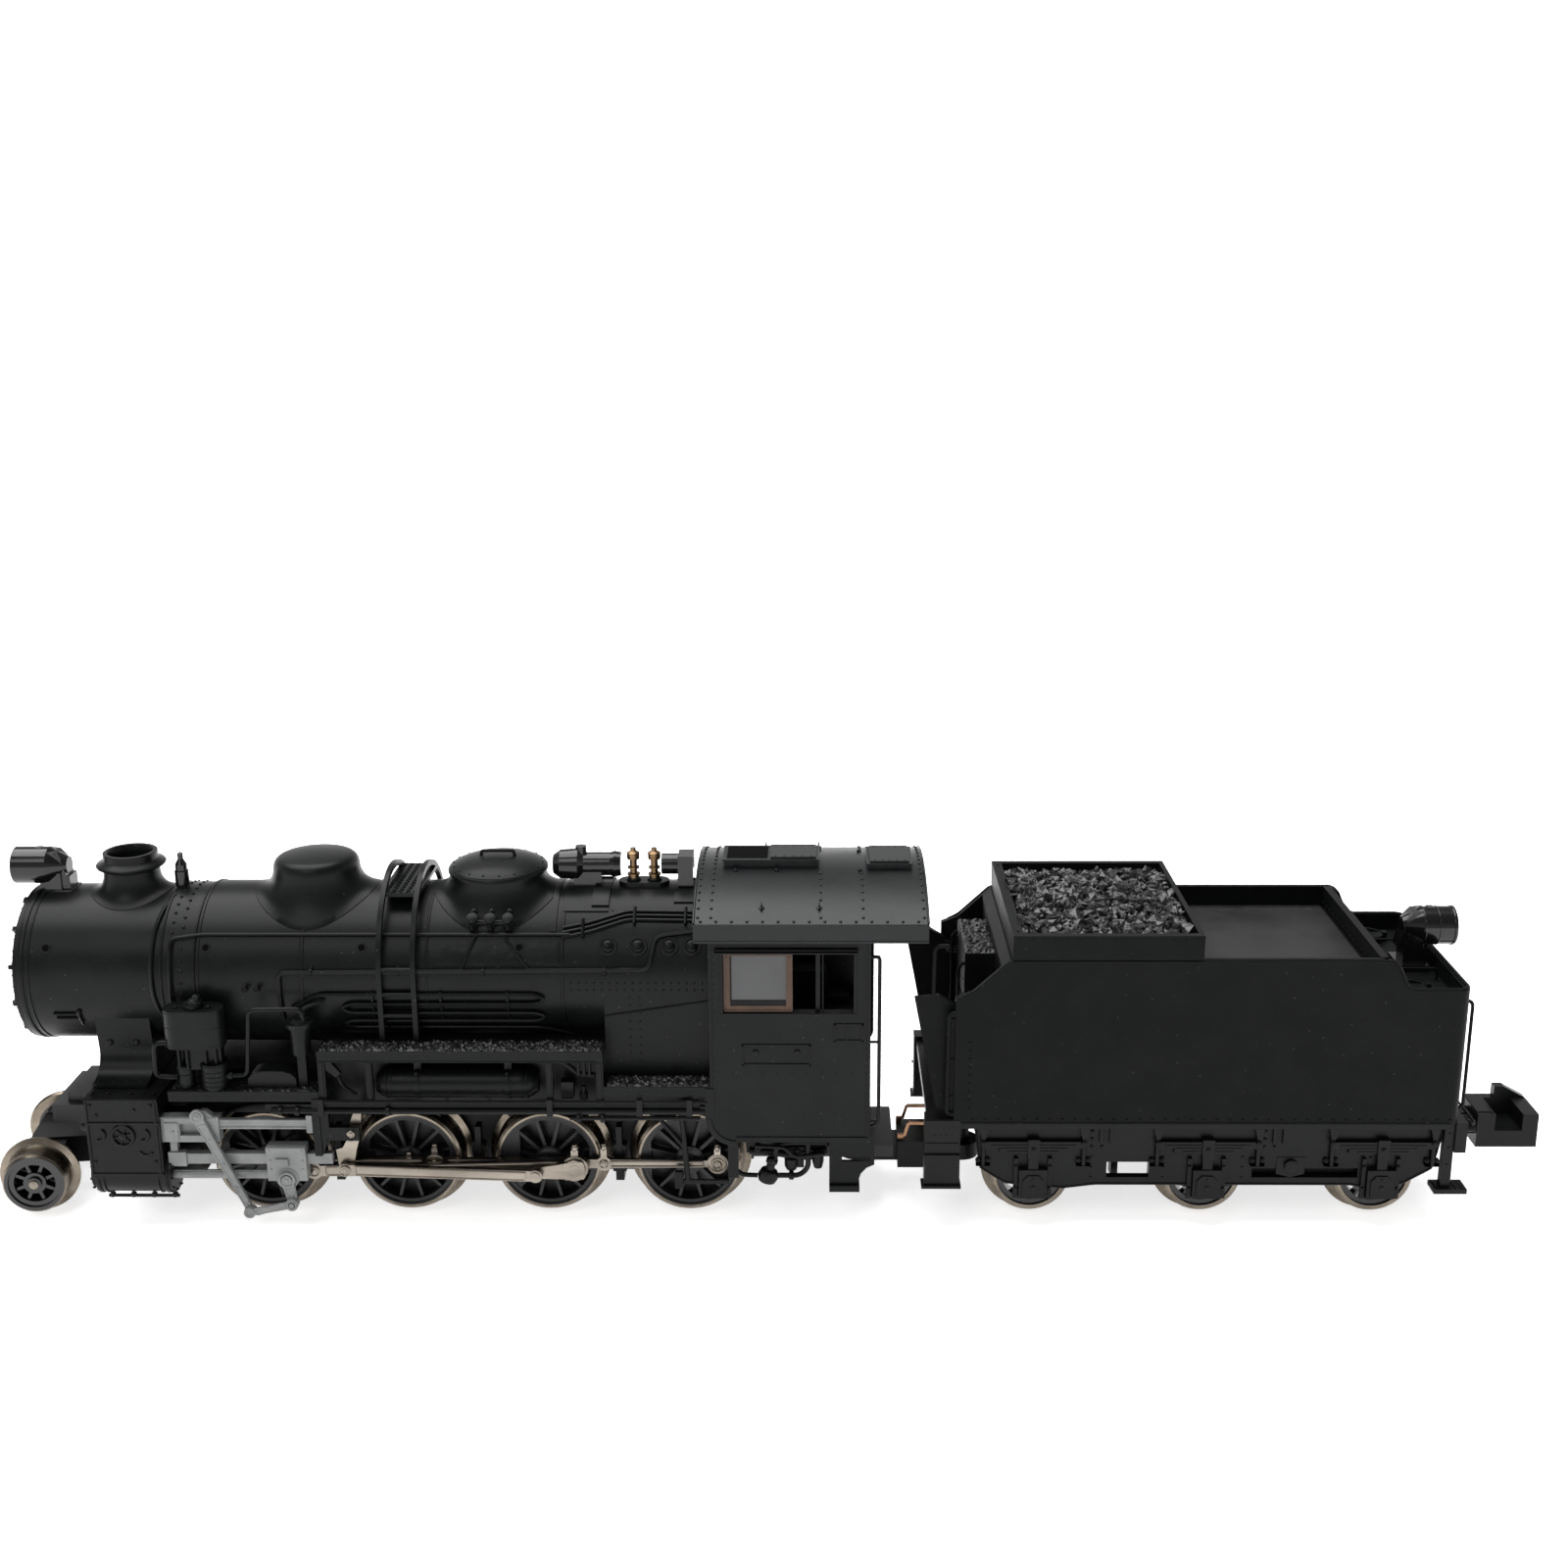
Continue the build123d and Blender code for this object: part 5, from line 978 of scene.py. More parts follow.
# ---------------------------------------------------------------- cylinders
def make_cylinder_detail():
    """Covers, ribs, bolts and drain cocks of the cylinders."""
    chest_top_z = 10.45
    low, high = span("cylinder_block")
    for side, name in SIDE_NAMES.items():
        face = side * high.y
        bore_y = side * 6.7
        out = (0, side, 0)
        detail = Shape()
        centre = Vector((-45.14, face, valve_z - 0.06))
        detail.hoop(centre, out, 0.72, 0.34, 0.16, sides=32)
        detail.turned([(-0.05, 0.28), (0.18, 0.26), (0.24, 0.1)], centre, out, 16)
        for n in range(6):
            turn = math.radians(60 * n + 15)
            spoke = Vector((math.cos(turn), 0, math.sin(turn)))
            detail.rod(centre + spoke * 0.15, centre + spoke * 0.75, 0.11, 8)
        for x in (-46.88, -43.75):
            detail.hoop((x, face, valve_z), out, 0.4, 0.3, 0.15, 250, 420, sides=32)
        for x, z in ((-47.3, 9.95), (-44.2, 9.6), (-43.0, 9.95), (-47.3, 5.6), (-43.0, 5.6), (-46.9, 9.2)):
            detail.rivet((x, face, z), out, 0.16)
        for z0, z1, rise in ((8.5, 8.66, 0.12), (4.55, 4.72, 0.1), (10.2, 10.4, 0.08)):
            detail.box(low.x + 0.02, high.x - 0.4, face, face + side * rise, z0, z1)
        for x in (low.x + 0.1, -42.75):
            detail.box(x - 0.08, x + 0.1, face, face + side * 0.08, 4.6, 10.3)
        detail.hoop((-43.6, face - side * 0.02, 6.6), out, 0.45, 0.26, 0.13, 200, 330, sides=32)
        for x, width in ((-47.35, 0.3), (-46.9, 0.12), (-42.5, 0.34), (-43.0, 0.12)):
            detail.hoop((x, bore_y, piston_z), BACK, 1.48, width, 0.12, sides=48)
        cover = [(-0.05, 1.25), (0.16, 1.25), (0.2, 1.1), (0.26, 0.75), (0.38, 0.7), (0.4, 0.2)]
        detail.turned(cover, (low.x - 0.02, bore_y, piston_z), FRONT, 36)
        for x, facing in ((low.x - 0.02, FRONT), (-42.15, BACK)):
            for a, b in around(10, 1.38):
                detail.bolt((x, bore_y + a, piston_z + b), facing, 0.11, 0.12)
        chest_cover = [(-0.05, 1.15), (0.2, 1.15), (0.25, 0.9), (0.5, 0.5), (0.9, 0.42), (0.95, 0.2)]
        detail.turned(chest_cover, (low.x, bore_y, valve_z), FRONT, 32)
        for a, b in around(8, 0.98):
            detail.bolt((low.x - 0.18, bore_y + a, valve_z + b), FRONT, 0.1, 0.1)
        detail.box(-42.45, -40.5, side * 4.0, side * 6.1, 3.4, 9.0)
        cock_y = bore_y + side * 0.6
        detail.pipe([(-47.0, cock_y, 2.48), (-41.9, cock_y, 2.48)], 0.13)
        for x in (-46.7, -45.2, -43.7, -42.2):
            detail.turned([(0, 0.12), (0.35, 0.12), (0.4, 0.2), (0.7, 0.2)], (x, cock_y, 3.1), DOWN, 10)
        detail.finish(f"cylinder_detail_{name}", "engine", "frame_black", soften=0.02)
        top = Shape()
        for x in (low.x + 0.35, -46.2, -44.6, -43.0):
            top.bolt((x, side * 7.4, chest_top_z), UP, 0.15, 0.1)
            top.bolt((x, side * 5.6, chest_top_z), UP, 0.15, 0.1)
        top.finish(f"chest_bolts_{name}", "engine", "frame_black", soften=0)


# ---------------------------------------------------------------- rods and valve gear
def ribs(shape, start, end, width0, width1, face, rib=0.1):
    """Raised edges along both sides of a flat bar, which leave a flute between them."""
    start = Vector((start[0], face, start[1]))
    end = Vector((end[0], face, end[1]))
    along = (end - start).normalized()
    across = Vector((-along.z, 0, along.x))
    for s in SIDES:
        a = start + across * s * (width0 / 2 - rib)
        b = end + across * s * (width1 / 2 - rib)
        shape.pipe([a, b], rib, sides=8)
    for place, width in ((start, width0), (end, width1)):
        shape.pipe([place - across * (width / 2 - rib), place + across * (width / 2 - rib)], rib, sides=8)


def pin_head(shape, x, z, face, side, radius):
    """A turned pin end with a collar and a small centre."""
    profile = [(-0.06, radius), (0.07, radius), (0.1, radius * 0.86), (0.06, radius * 0.7)]
    profile += [(0.08, radius * 0.45), (0.13, radius * 0.4), (0.15, radius * 0.12)]
    shape.turned(profile, (x, face, z), (0, side, 0), 24)


def oil_cup(shape, x, z, y):
    """A small lidded oil cup on top of a rod."""
    profile = [(0, 0.24), (0.12, 0.2), (0.16, 0.26), (0.34, 0.27), (0.38, 0.2), (0.48, 0.17), (0.52, 0.05)]
    shape.turned(profile, (x, y, z), UP, 16)


def make_motion():
    """Flutes, pins, oil cups and rivets of the rods and the valve gear."""
    side_rod_middle = 6.02
    trunnion_face = 7.88
    bracket_y = 7.4
    for side, name in SIDE_NAMES.items():
        pin = joint_at[f"side_rod_{name}_turn"]
        tip = joint_at[f"eccentric_rod_{name}_turn"]
        throw = (pin.x - axle_x[3], pin.z - driver_z)
        rod = Shape()
        face = side * 6.2
        pins = [(axle_x[n] + throw[0], driver_z + throw[1]) for n in (1, 2, 3, 4)]
        for first, last, width in ((0, 1, 0.75), (1, 2, 0.75), (2, 3, 0.6)):
            a, b = pins[first], pins[last]
            gap = 2.5 if first == 2 else 1.0
            ribs(rod, (a[0] + gap, a[1]), (b[0] - 1.0, b[1]), width, width * 0.9, face - side * 0.02)
        for x, z in pins:
            rod.hoop((x, face, z), (0, side, 0), 0.56, 0.1, 0.13, sides=32)
            oil_cup(rod, x, z + 1.0, side * side_rod_middle)
        knuckle = (pins[2][0] + 2.0, pins[2][1])
        pin_head(rod, knuckle[0], knuckle[1], face, side, 0.34)
        oil_cup(rod, knuckle[0], knuckle[1] + 1.05, side * side_rod_middle)
        oil_cup(rod, pins[1][0] - 1.9, pins[1][1] + 0.36, side * side_rod_middle)
        rod.finish(f"side_rod_detail_{name}", f"side_rod_{name}", "nickel", soften=0)
        for n in (1, 2, 4):
            cap = Shape()
            pin_head(cap, pins[n - 1][0], pins[n - 1][1], side * 6.36, side, 0.36)
            cap.finish(f"crank_pin_cap_{n}_{name}", f"driver_{n}", "nickel", soften=0)

        main = Shape()
        eye = (span(f"main_rod_{name}")[0].x + 0.62, piston_z)
        face = side * 6.9
        hidden = 0.9 if side < 0 else 3.3
        ribs(main, (eye[0] + hidden, eye[1]), (pin.x - 1.3, pin.z - 0.02), 0.85, 1.1, face - side * 0.05)
        main.hoop((pin.x, face, pin.z), (0, side, 0), 0.72, 0.12, 0.2, sides=32)
        if side < 0:
            pin_head(main, eye[0], eye[1], face, side, 0.42)
        oil_cup(main, pin.x, pin.z + 1.3, side * 6.7)
        main.bolt((pin.x - 1.15, face - side * 0.03, pin.z + 0.25), (0, side, 0), 0.14, 0.04)
        main.bolt((pin.x - 1.15, face - side * 0.03, pin.z - 0.25), (0, side, 0), 0.14, 0.04)
        main.finish(f"main_rod_detail_{name}", f"main_rod_{name}", "nickel", soften=0)

        crank = Shape()
        face = side * 7.3
        along = Vector((tip.x - pin.x, 0, tip.z - pin.z)).normalized()
        across = Vector((-along.z, 0, along.x))
        middle = Vector((pin.x, face - side * 0.05, pin.z))
        plate = [middle + along * a + across * b for a, b in
                 ((-0.75, -0.5), (-0.6, -0.7), (0.7, -0.66), (0.8, -0.5), (0.8, 0.5), (0.7, 0.66),
                  (-0.6, 0.7), (-0.75, 0.5))]
        crank.prism(plate, (0, side * 0.09, 0))
        crank.hoop((pin.x, face, pin.z), (0, side, 0), 0.4, 0.1, 0.1, sides=32)
        crank.rivet((pin.x - 0.45, face + side * 0.02, pin.z - 0.4), (0, side, 0), 0.05)
        crank.finish(f"return_crank_detail_{name}", "driver_3", "nickel")

        foot = span(f"eccentric_rod_{name}")[0]
        eye = (foot.x + 0.5, joint_at[f"expansion_link_{name}_swing"].z - 2.9)
        eccentric = Shape()
        face = side * 7.75
        ribs(eccentric, (eye[0] + 0.75, eye[1]), (tip.x - 0.7, tip.z), 0.84, 0.8, face - side * 0.02, 0.09)
        pin_head(eccentric, eye[0], eye[1], face, side, 0.42)
        eccentric.hoop((tip.x, face, tip.z), (0, side, 0), 0.36, 0.1, 0.13, sides=24)
        eccentric.finish(f"eccentric_rod_detail_{name}", f"eccentric_rod_{name}", "nickel", soften=0)

        pivot = joint_at[f"expansion_link_{name}_swing"]
        trunnion = Shape()
        pin_head(trunnion, pivot.x, pivot.z, side * trunnion_face, side, 0.3)
        trunnion.finish(f"trunnion_cap_{name}", f"expansion_link_{name}", "nickel", soften=0)
        bearing = Shape()
        bearing.hoop((pivot.x, side * trunnion_face, pivot.z), (0, side, 0), 0.42, 0.1, 0.12, sides=24)
        for x, z in ((-31.3, 7.1), (-31.3, 9.3), (-30.8, 7.1), (-30.8, 9.3)):
            bearing.rivet((x, side * 7.9, z), (0, side, 0), 0.1)
        bearing.prism([(-31.5, side * bracket_y, 6.8), (-30.9, side * bracket_y, 6.8),
                       (-31.1, side * bracket_y, 6.0),
                       (-31.5, side * bracket_y, 6.0)], (0, side * 0.45, 0))
        bearing.finish(f"motion_bracket_detail_{name}", "engine", "frame_black")
        make_grey_gear(side, name)


def make_grey_gear(side, name):
    """Detail of the grey plastic motion: slide bars, crosshead, lever and union link."""
    pin_face = 8.3
    guide = Shape()
    face = side * 7.8
    guide.box(-38.3, -32.0, face - side * 0.02, face + side * 0.07, 8.5, 8.68)
    guide.box(-38.3, -32.0, face - side * 0.02, face + side * 0.07, 7.97, 8.12)
    guide.box(-32.2, -31.75, side * 7.5, side * 7.95, 7.7, 9.05)
    guide.prism([(-40.1, side * 7.3, 8.85), (-39.7, side * 7.3, 9.35), (-39.3, side * 7.3, 9.35),
                 (-38.7, side * 7.3, 8.85)], (0, side * 0.62, 0))
    guide.box(-42.3, -38.6, side * 7.92, side * 8.0, 8.6, 8.86)
    guide.box(-42.3, -41.3, side * 7.9, side * 8.02, 7.02, 8.5)
    guide.rivet((-41.7, side * 8.0, 7.8), (0, side, 0), 0.16)
    guide.rivet((-38.9, side * 7.95, 8.2), (0, side, 0), 0.12)
    guide.box(-41.9, -31.2, side * 7.3, side * 7.68, 5.86, 5.97)
    guide.box(-42.3, -41.0, side * 7.2, side * 7.75, 5.0, 6.1)
    guide.finish(f"slide_bar_detail_{name}", "engine", "grey_gear")

    low, high = span(f"crosshead_{name}")
    drop = joint_at[f"union_link_{name}_swing"]
    x = drop.x - 0.3
    cross = Shape()
    face = side * 8.0
    cross.box(x - 1.4, x + 1.4, face - side * 0.03, face + side * 0.1, 6.2, 6.6)
    cross.box(x - 0.75, x + 0.15, face, face + side * 0.16, 5.2, 5.75)
    for dx in (-1.15, 1.15):
        for z in (6.42, 5.6, 4.9):
            cross.rivet((x + dx, face + side * 0.08 * (z > 6.3), z), (0, side, 0), 0.1)
    cross.hoop((x, side * pin_face, 4.2), (0, side, 0), 0.5, 0.1, 0.1, sides=28)
    pin_head(cross, x, 4.2, side * pin_face, side, 0.36)
    cross.box(low.x + 0.2, x - 1.4, side * 7.25, side * 7.45, 4.45, 4.55)
    arm = ((x, 4.2), (drop.x, drop.z))
    ribs(cross, (arm[0][0] + 0.08, 3.5), (arm[1][0] - 0.02, drop.z + 0.45), 0.7, 0.5, side * 8.28, 0.06)
    cross.finish(f"crosshead_detail_{name}", f"crosshead_{name}", "grey_gear", soften=0.02)

    top = joint_at[f"combination_lever_{name}_swing"]
    low, high = span(f"combination_lever_{name}")
    tip = ((high.x - 0.45) if high.x - top.x > top.x - low.x else (low.x + 0.45), low.z + 0.45)
    lever = Shape()
    face = side * 8.32
    start = Vector((top.x, 0, top.z))
    along = (Vector((tip[0], 0, tip[1])) - start).normalized()
    a = start + along * 0.7
    b = start + along * 7.3
    ribs(lever, (a.x, a.z), (b.x, b.z), 0.7, 0.5, face - side * 0.01, 0.06)
    pin_head(lever, top.x, top.z, face, side, 0.34)
    for reach in (1.9, 4.0, 6.0):
        spot = start + along * reach
        lever.rivet((spot.x, face, spot.z), (0, side, 0), 0.1)
    lever.finish(f"combination_lever_detail_{name}", f"combination_lever_{name}", "grey_gear", soften=0)
    union = Shape()
    face = side * 8.62
    union.hoop((tip[0], face, tip[1]), (0, side, 0), 0.3, 0.1, 0.08, sides=20)
    union.hoop((drop.x, face, drop.z), (0, side, 0), 0.3, 0.1, 0.06, sides=20)
    ribs(union, (tip[0] + (0.5 if drop.x > tip[0] else -0.5), tip[1]),
         (drop.x - (0.5 if drop.x > tip[0] else -0.5), drop.z), 0.44, 0.44, face - side * 0.01, 0.05)
    union.finish(f"union_link_detail_{name}", f"union_link_{name}", "grey_gear", soften=0)


def make_valve_cover():
    """Black oval foot and brass collars of the safety valves."""
    low, high = span("safety_valves")
    middle = (low.x + high.x) / 2
    cover = Shape()
    crown = boiler_z + jacket_radius
    outline = [(middle + a + (1.0 if a > 0 else -1.0), b, crown - 0.35) for a, b in around(36, 0.82)]
    cover.prism(outline, (0, 0, 0.66))
    for x in (middle - 0.75, middle + 0.75):
        cover.turned([(0, 0.52), (0.12, 0.52), (0.2, 0.44)], (x, 0, crown + 0.3), UP, 20)
    cover.finish("safety_valve_foot", "engine", "black_body")
    collars = Shape()
    for x in (middle - 0.75, middle + 0.75):
        for z, radius in ((crown + 0.75, 0.46), (crown + 1.25, 0.42), (high.z - 0.75, 0.44)):
            collars.turned([(-0.1, radius * 0.6), (-0.06, radius), (0.06, radius), (0.1, radius * 0.6)],
                           (x, 0, z), UP, 20)
    collars.finish("safety_valve_collars", "engine", "brass", soften=0)


def make_wheel_detail():
    """Hub caps, rims and pin ends of the wheels, and dark discs of painted shade behind the spokes."""
    for number, x in axle_x.items():
        detail = Shape()
        for side in SIDES:
            hub = [(-0.1, 0.92), (0.06, 0.9), (0.1, 0.78), (0.12, 0.5), (0.2, 0.46), (0.22, 0.15)]
            detail.turned(hub, (x, side * 5.5, driver_z), (0, side, 0), 32)
            # A dark disc behind the spokes is painted shade: it hides the see-through where the wheel's inside is
            # dark.
            driver_shade_disc = [(0, 3.5), (0.1, 3.5), (0.14, 1.2)]
            detail.turned(driver_shade_disc, (x, side * 4.3, driver_z), (0, side, 0), 48)
            detail.hoop((x, side * 5.5, driver_z), ACROSS, 3.18, 0.14, 0.07, sides=90)
            detail.hoop((x, side * 5.62, driver_z), ACROSS, 3.5, 0.12, 0.1, sides=90)
        detail.finish(f"driver_hubs_{number}", f"driver_{number}", "wheel_black", soften=0)
    wheel = joint_at["leading_wheelset_spin"]
    spin = next(j for j in frame["joints"] if j["name"] == "leading_wheelset_spin")
    axle = Vector(spin["axis"]).normalized()
    ends = Shape()
    for s in SIDES:
        ends.turned([(0, 0.34), (0.1, 0.32), (0.16, 0.12)], wheel + axle * (5.74 * s), axle * s, 20)
    ends.finish("leading_axle_ends", "leading_wheelset", "nickel", soften=0)
    # Dark discs behind the leading wheels' spokes are painted shade too.
    leading_shade_discs = Shape()
    for s in SIDES:
        leading_shade_discs.turned([(0, 1.86), (0.08, 1.86), (0.1, 0.8)], wheel + axle * (4.3 * s), axle * s, 36)
    leading_shade_discs.finish("leading_wheel_shade_discs", "leading_wheelset", "wheel_black", "nickel", soften=0)


# ---------------------------------------------------------------- cab
def roof_z(y):
    """Height of the roof's outer surface."""
    drop = roof_ridge - roof_eave
    radius = (roof_high.y ** 2 + drop ** 2) / (2 * drop)
    return roof_ridge - radius + math.sqrt(radius ** 2 - min(abs(y), roof_high.y) ** 2)


def roof_slope(y):
    """Direction straight out of the roof."""
    return Vector((0, roof_z(y - 0.05) - roof_z(y + 0.05), 0.1)).normalized()


def make_roof_detail():
    """Rivet rows, gutters, ventilator lids and lugs of the cab roof, and a thin dark sheet of painted shade where
    the ventilator stands open.
    """
    hook_y = 6.84
    roof_bolt_y = 2.2
    roof = Shape()
    x0, x1 = roof_low.x, roof_high.x
    for side in SIDES:
        y = side * 8.1
        for n in range(15):
            roof.rivet((x0 + 0.5 + 1.06 * n, y, roof_z(y)), roof_slope(y), 0.12)
        roof.box(x0 - 0.03, x1 + 0.03, side * (roof_high.y - 0.05), side * (roof_high.y + 0.1), 23.34, 23.5)
        roof.box(x0, x1, side * (roof_high.y - 0.03), side * (roof_high.y + 0.06), 22.15, 22.3)
        for x in (0.04, 4.0):
            roof.hoop((x, side * hook_y, roof_z(hook_y) + 0.1), BACK, 0.22, 0.12, 0.1, sides=16)
            roof.rivet((x, side * hook_y, roof_z(hook_y) - 0.02), roof_slope(side * hook_y), 0.24, 0.12)
        for x in (-1.9, 1.0, 6.9):
            roof.bolt((x, side * roof_bolt_y, roof_z(roof_bolt_y)), UP, 0.16, 0.12)
    for x in (x0 + 0.3, x0 + 1.2, 4.1, 7.0, x1 - 0.3):
        for n in range(-9, 10):
            y = 0.86 * n
            if x in (4.1, 7.0) and abs(y) < 2.1:
                continue
            roof.rivet((x, y, roof_z(y)), roof_slope(y), 0.12)
    for x, half in ((-0.9, 1.55), (9.0, 1.9)):
        front = x < 5
        low, high = (-2.75, 3.9) if front else (7.5, 10.5)
        top = 25.95 if front else 25.75
        roof.box(low - 0.12, high + 0.12, -half - 0.14, half + 0.14, top - 0.12, top)
        roof.box(low - 0.2, high + 0.2, -half - 0.3, half + 0.3, 25.0, 25.28 if front else 25.2)
        start = 0.55 if front else low + 0.12
        roof.box(start, high - 0.12, -half + 0.1, half - 0.1, top, top + 0.14)
        for s in SIDES:
            for n in range(5):
                lid_x = start + 0.35 + (high - start - 0.8) * n / 4
                roof.rivet((lid_x, s * (half - 0.3), top + 0.14), UP, 0.07)
    for edge_x in (x0 + 0.02, x1 - 0.02):
        rim = [(edge_x, y, roof_z(y) + 0.04) for y in (-8.3, -7, -5, -2.5, 0, 2.5, 5, 7, 8.3)]
        roof.pipe(rim, 0.09, 0.2, 6)
    # Roof pieces take the same lighter black of painted top light.
    roof.finish("roof_detail", "engine", "roof_black_painted_toplight", "black_body", soften=0.02)
    # A thin near-black sheet of painted shade stands in for the dark inside of the open ventilator.
    vent_shade_sheet = Shape()
    vent_shade_sheet.box(-2.55, 0.35, -1.35, 1.35, 25.9, 25.965)
    vent_shade_sheet.finish("roof_vent_painted_shade", "engine", "painted_hole_shade", "black_body", soften=0)


def make_cab_sides():
    """Rain strips, plate holders, raised borders, handrails and rivets of the cab sides."""
    handrail_y = 7.7
    plate_low = 14.75
    plate_high = 16.1
    x0, x2, y_out = cab_x, 7.5, cab_y
    for side, name in SIDE_NAMES.items():
        face = side * y_out
        out = (0, side, 0)
        cab = Shape()
        cab.box(-3.2, 6.65, face - side * 0.02, face + side * 0.32, 21.4, 21.56)
        cab.box(-3.2, 6.65, face + side * 0.2, face + side * 0.32, 21.3, 21.62)
        frame_lines = ((-1.4, 3.4, 12.96, 14.55), (5.0, 7.05, plate_low, plate_high))
        for a, b, low, high in frame_lines:
            cab.box(a, b, face, face + side * 0.1, low, low + 0.14)
            cab.box(a, b, face, face + side * 0.1, high - 0.14, high)
            cab.box(a, a + 0.14, face, face + side * 0.1, low, high)
            cab.box(b - 0.14, b, face, face + side * 0.1, low, high)
        cab.box(5.85, 5.97, face, face + side * 0.08, plate_low, plate_high)
        for x in (-0.43, 2.46):
            cab.turned([(-0.02, 0.24), (0.1, 0.22), (0.14, 0.12)], (x, face, 13.94), out, 16)
        corner_x, corner_z = x0 + 1.8, 8.9
        cab.box(corner_x, x2, face, face + side * 0.1, 7.12, 7.5)
        cab.box(x0 - 0.36, x0 + 0.3, face - side * 0.3, face + side * 0.08, corner_z, 11.2)
        cab.hoop((corner_x, face - side * 0.1, corner_z), ACROSS, 1.75, 0.4, 0.36, 90, 180, sides=96)
        cab.box(x0 + 0.02, x0 + 0.22, face, face + side * 0.06, 11.3, 22.1)
        cab.box(x2 - 0.22, x2 + 0.02, face, face + side * 0.06, 7.5, 22.1)
        for a, b, low, high in ((-2.85, -2.64, 16.8, 21.3), (6.36, 6.56, 16.8, 21.3)):
            cab.box(a, b, face - side * 0.1, face + side * 0.07, low, high)
        cab.box(-2.85, 6.56, face - side * 0.1, face + side * 0.1, 16.66, 16.87)
        for n in range(11):
            cab.rivet((x0 + 0.6 + n * 1.03, face, 12.35), out, 0.055)
        for n in range(20):
            cab.rivet((x0 + 0.32, face, 12.0 + 0.5 * n), out, 0.05)
            cab.rivet((x2 - 0.1, face + side * 0.05, 8.0 + 0.7 * n), out, 0.05)
        cab.pipe([(7.6, side * handrail_y, 20.9), (8.15, side * handrail_y, 20.9),
                  (8.15, side * handrail_y, 8.4), (7.3, side * 7.6, 8.1)], 0.14)
        for z in (20.9, 14.6, 8.6):
            cab.rod((7.5, side * handrail_y, z), (8.2, side * handrail_y, z), 0.1)
        cab.finish(f"cab_side_detail_{name}", "engine", "black_body", soften=0.015)
        glazing = Shape()
        glazing.box(-2.15, 1.7, side * 7.6, side * 7.8, 17.35, 17.72)
        glazing.box(-2.15, -2.05, side * 7.6, side * 7.78, 17.7, 21.0)
        glazing.box(4.2, 4.28, side * 7.5, side * 7.66, 16.9, 21.15)
        glazing.finish(f"cab_shutter_strips_{name}", "engine", "black_body", soften=0)
        sash = Shape()
        sash.box(-2.55, 2.1, side * 7.84, side * 7.9, 16.93, 17.05)
        for x in (-2.38, 1.93):
            for z in (17.12, 20.9):
                sash.rivet((x, side * 7.84, z), out, 0.08)
        sash.finish(f"sash_detail_{name}", "engine", "window_brown", soften=0)
        under = Shape()
        y = side * 6.8
        under.turned([(0, 0.3), (0.15, 0.62), (0.55, 0.75), (1.0, 0.6), (1.15, 0.32), (1.5, 0.3), (1.6, 0.42),
                      (1.9, 0.42)], (0.2, y, 3.35), (0.25, 0, 1), 20)
        under.pipe([(0.8, y, 5.1), (0.95, y, 6.2), (1.8, y, 6.5), (4.5, y, 6.5)], 0.22)
        under.pipe([(-0.4, y, 3.9), (-1.6, y, 3.95), (-2.1, y, 4.6), (-2.1, y, 7.2)], 0.18)
        under.pipe([(1.0, y, 3.9), (2.6, y, 3.9), (3.2, y, 4.5), (3.2, y, 7.1)], 0.2)
        under.hoop((2.0, y, 3.9), BACK, 0.2, 0.36, 0.12, sides=16)
        under.bolt((0.6, y + side * 0.3, 5.2), out, 0.26, 0.2)
        under.box(-2.5, -1.75, side * 6.7, side * 7.25, 3.9, 7.15)
        under.box(-1.2, 4.6, side * 5.6, side * 6.3, 5.4, 7.1)
        under.box(1.6, 2.9, side * 5.9, side * 6.6, 4.4, 6.0)
        under.turned([(0, 0.35), (0.3, 0.5), (0.9, 0.5), (1.0, 0.3)], (2.0, side * 6.4, 4.2), UP, 16)
        under.turned([(0, 0.3), (0.5, 0.42), (1.2, 0.42), (1.4, 0.2)], (3.9, side * 6.5, 4.4), UP, 16)
        under.pipe([(-1.0, side * 6.4, 5.6), (0.4, side * 6.5, 5.6), (2.4, side * 6.5, 5.2),
                    (4.2, side * 6.4, 5.2)], 0.24)
        under.pipe([(-0.6, side * 7.0, 6.3), (1.6, side * 7.0, 6.2), (2.2, side * 7.0, 5.4),
                    (4.4, side * 7.0, 5.7)], 0.16)
        for x in (-0.4, 0.9, 2.4, 3.4, 4.3):
            under.bolt((x, side * 6.6, 5.9 - 0.2 * (x > 2)), out, 0.24, 0.2)
        under.box(-6.3, -5.72, side * 6.95, side * 7.35, 3.1, 4.4)
        under.rod((-5.74, side * 7.15, 8.85), (-5.36, side * 7.15, 3.5), 0.2)
        under.rod((-7.4, side * 7.15, 8.6), (-5.6, side * 7.15, 6.3), 0.16)
        under.box(-5.7, -2.4, side * 7.05, side * 7.3, 3.45, 3.75)
        under.box(-5.95, -5.2, side * 7.0, side * 7.5, 8.5, 9.5)
        under.finish(f"injector_{name}", "engine", "frame_black")
        inlay = Shape()
        inlay.box(4.72, 6.85, side * 6.35, side * 7.58, 3.4, 3.46)
        for n in range(6):
            inlay.rod((4.9 + 0.34 * n, side * 6.4, 3.47), (4.9 + 0.34 * n, side * 7.5, 3.47), 0.05, 6)
        for z in (11.6, 9.8, 8.2):
            inlay.rivet((6.9, side * 7.35, z), out, 0.11)
            inlay.rivet((5.1, side * 7.35, z), out, 0.11)
        inlay.finish(f"cab_step_detail_{name}", "engine", "black_body", soften=0)


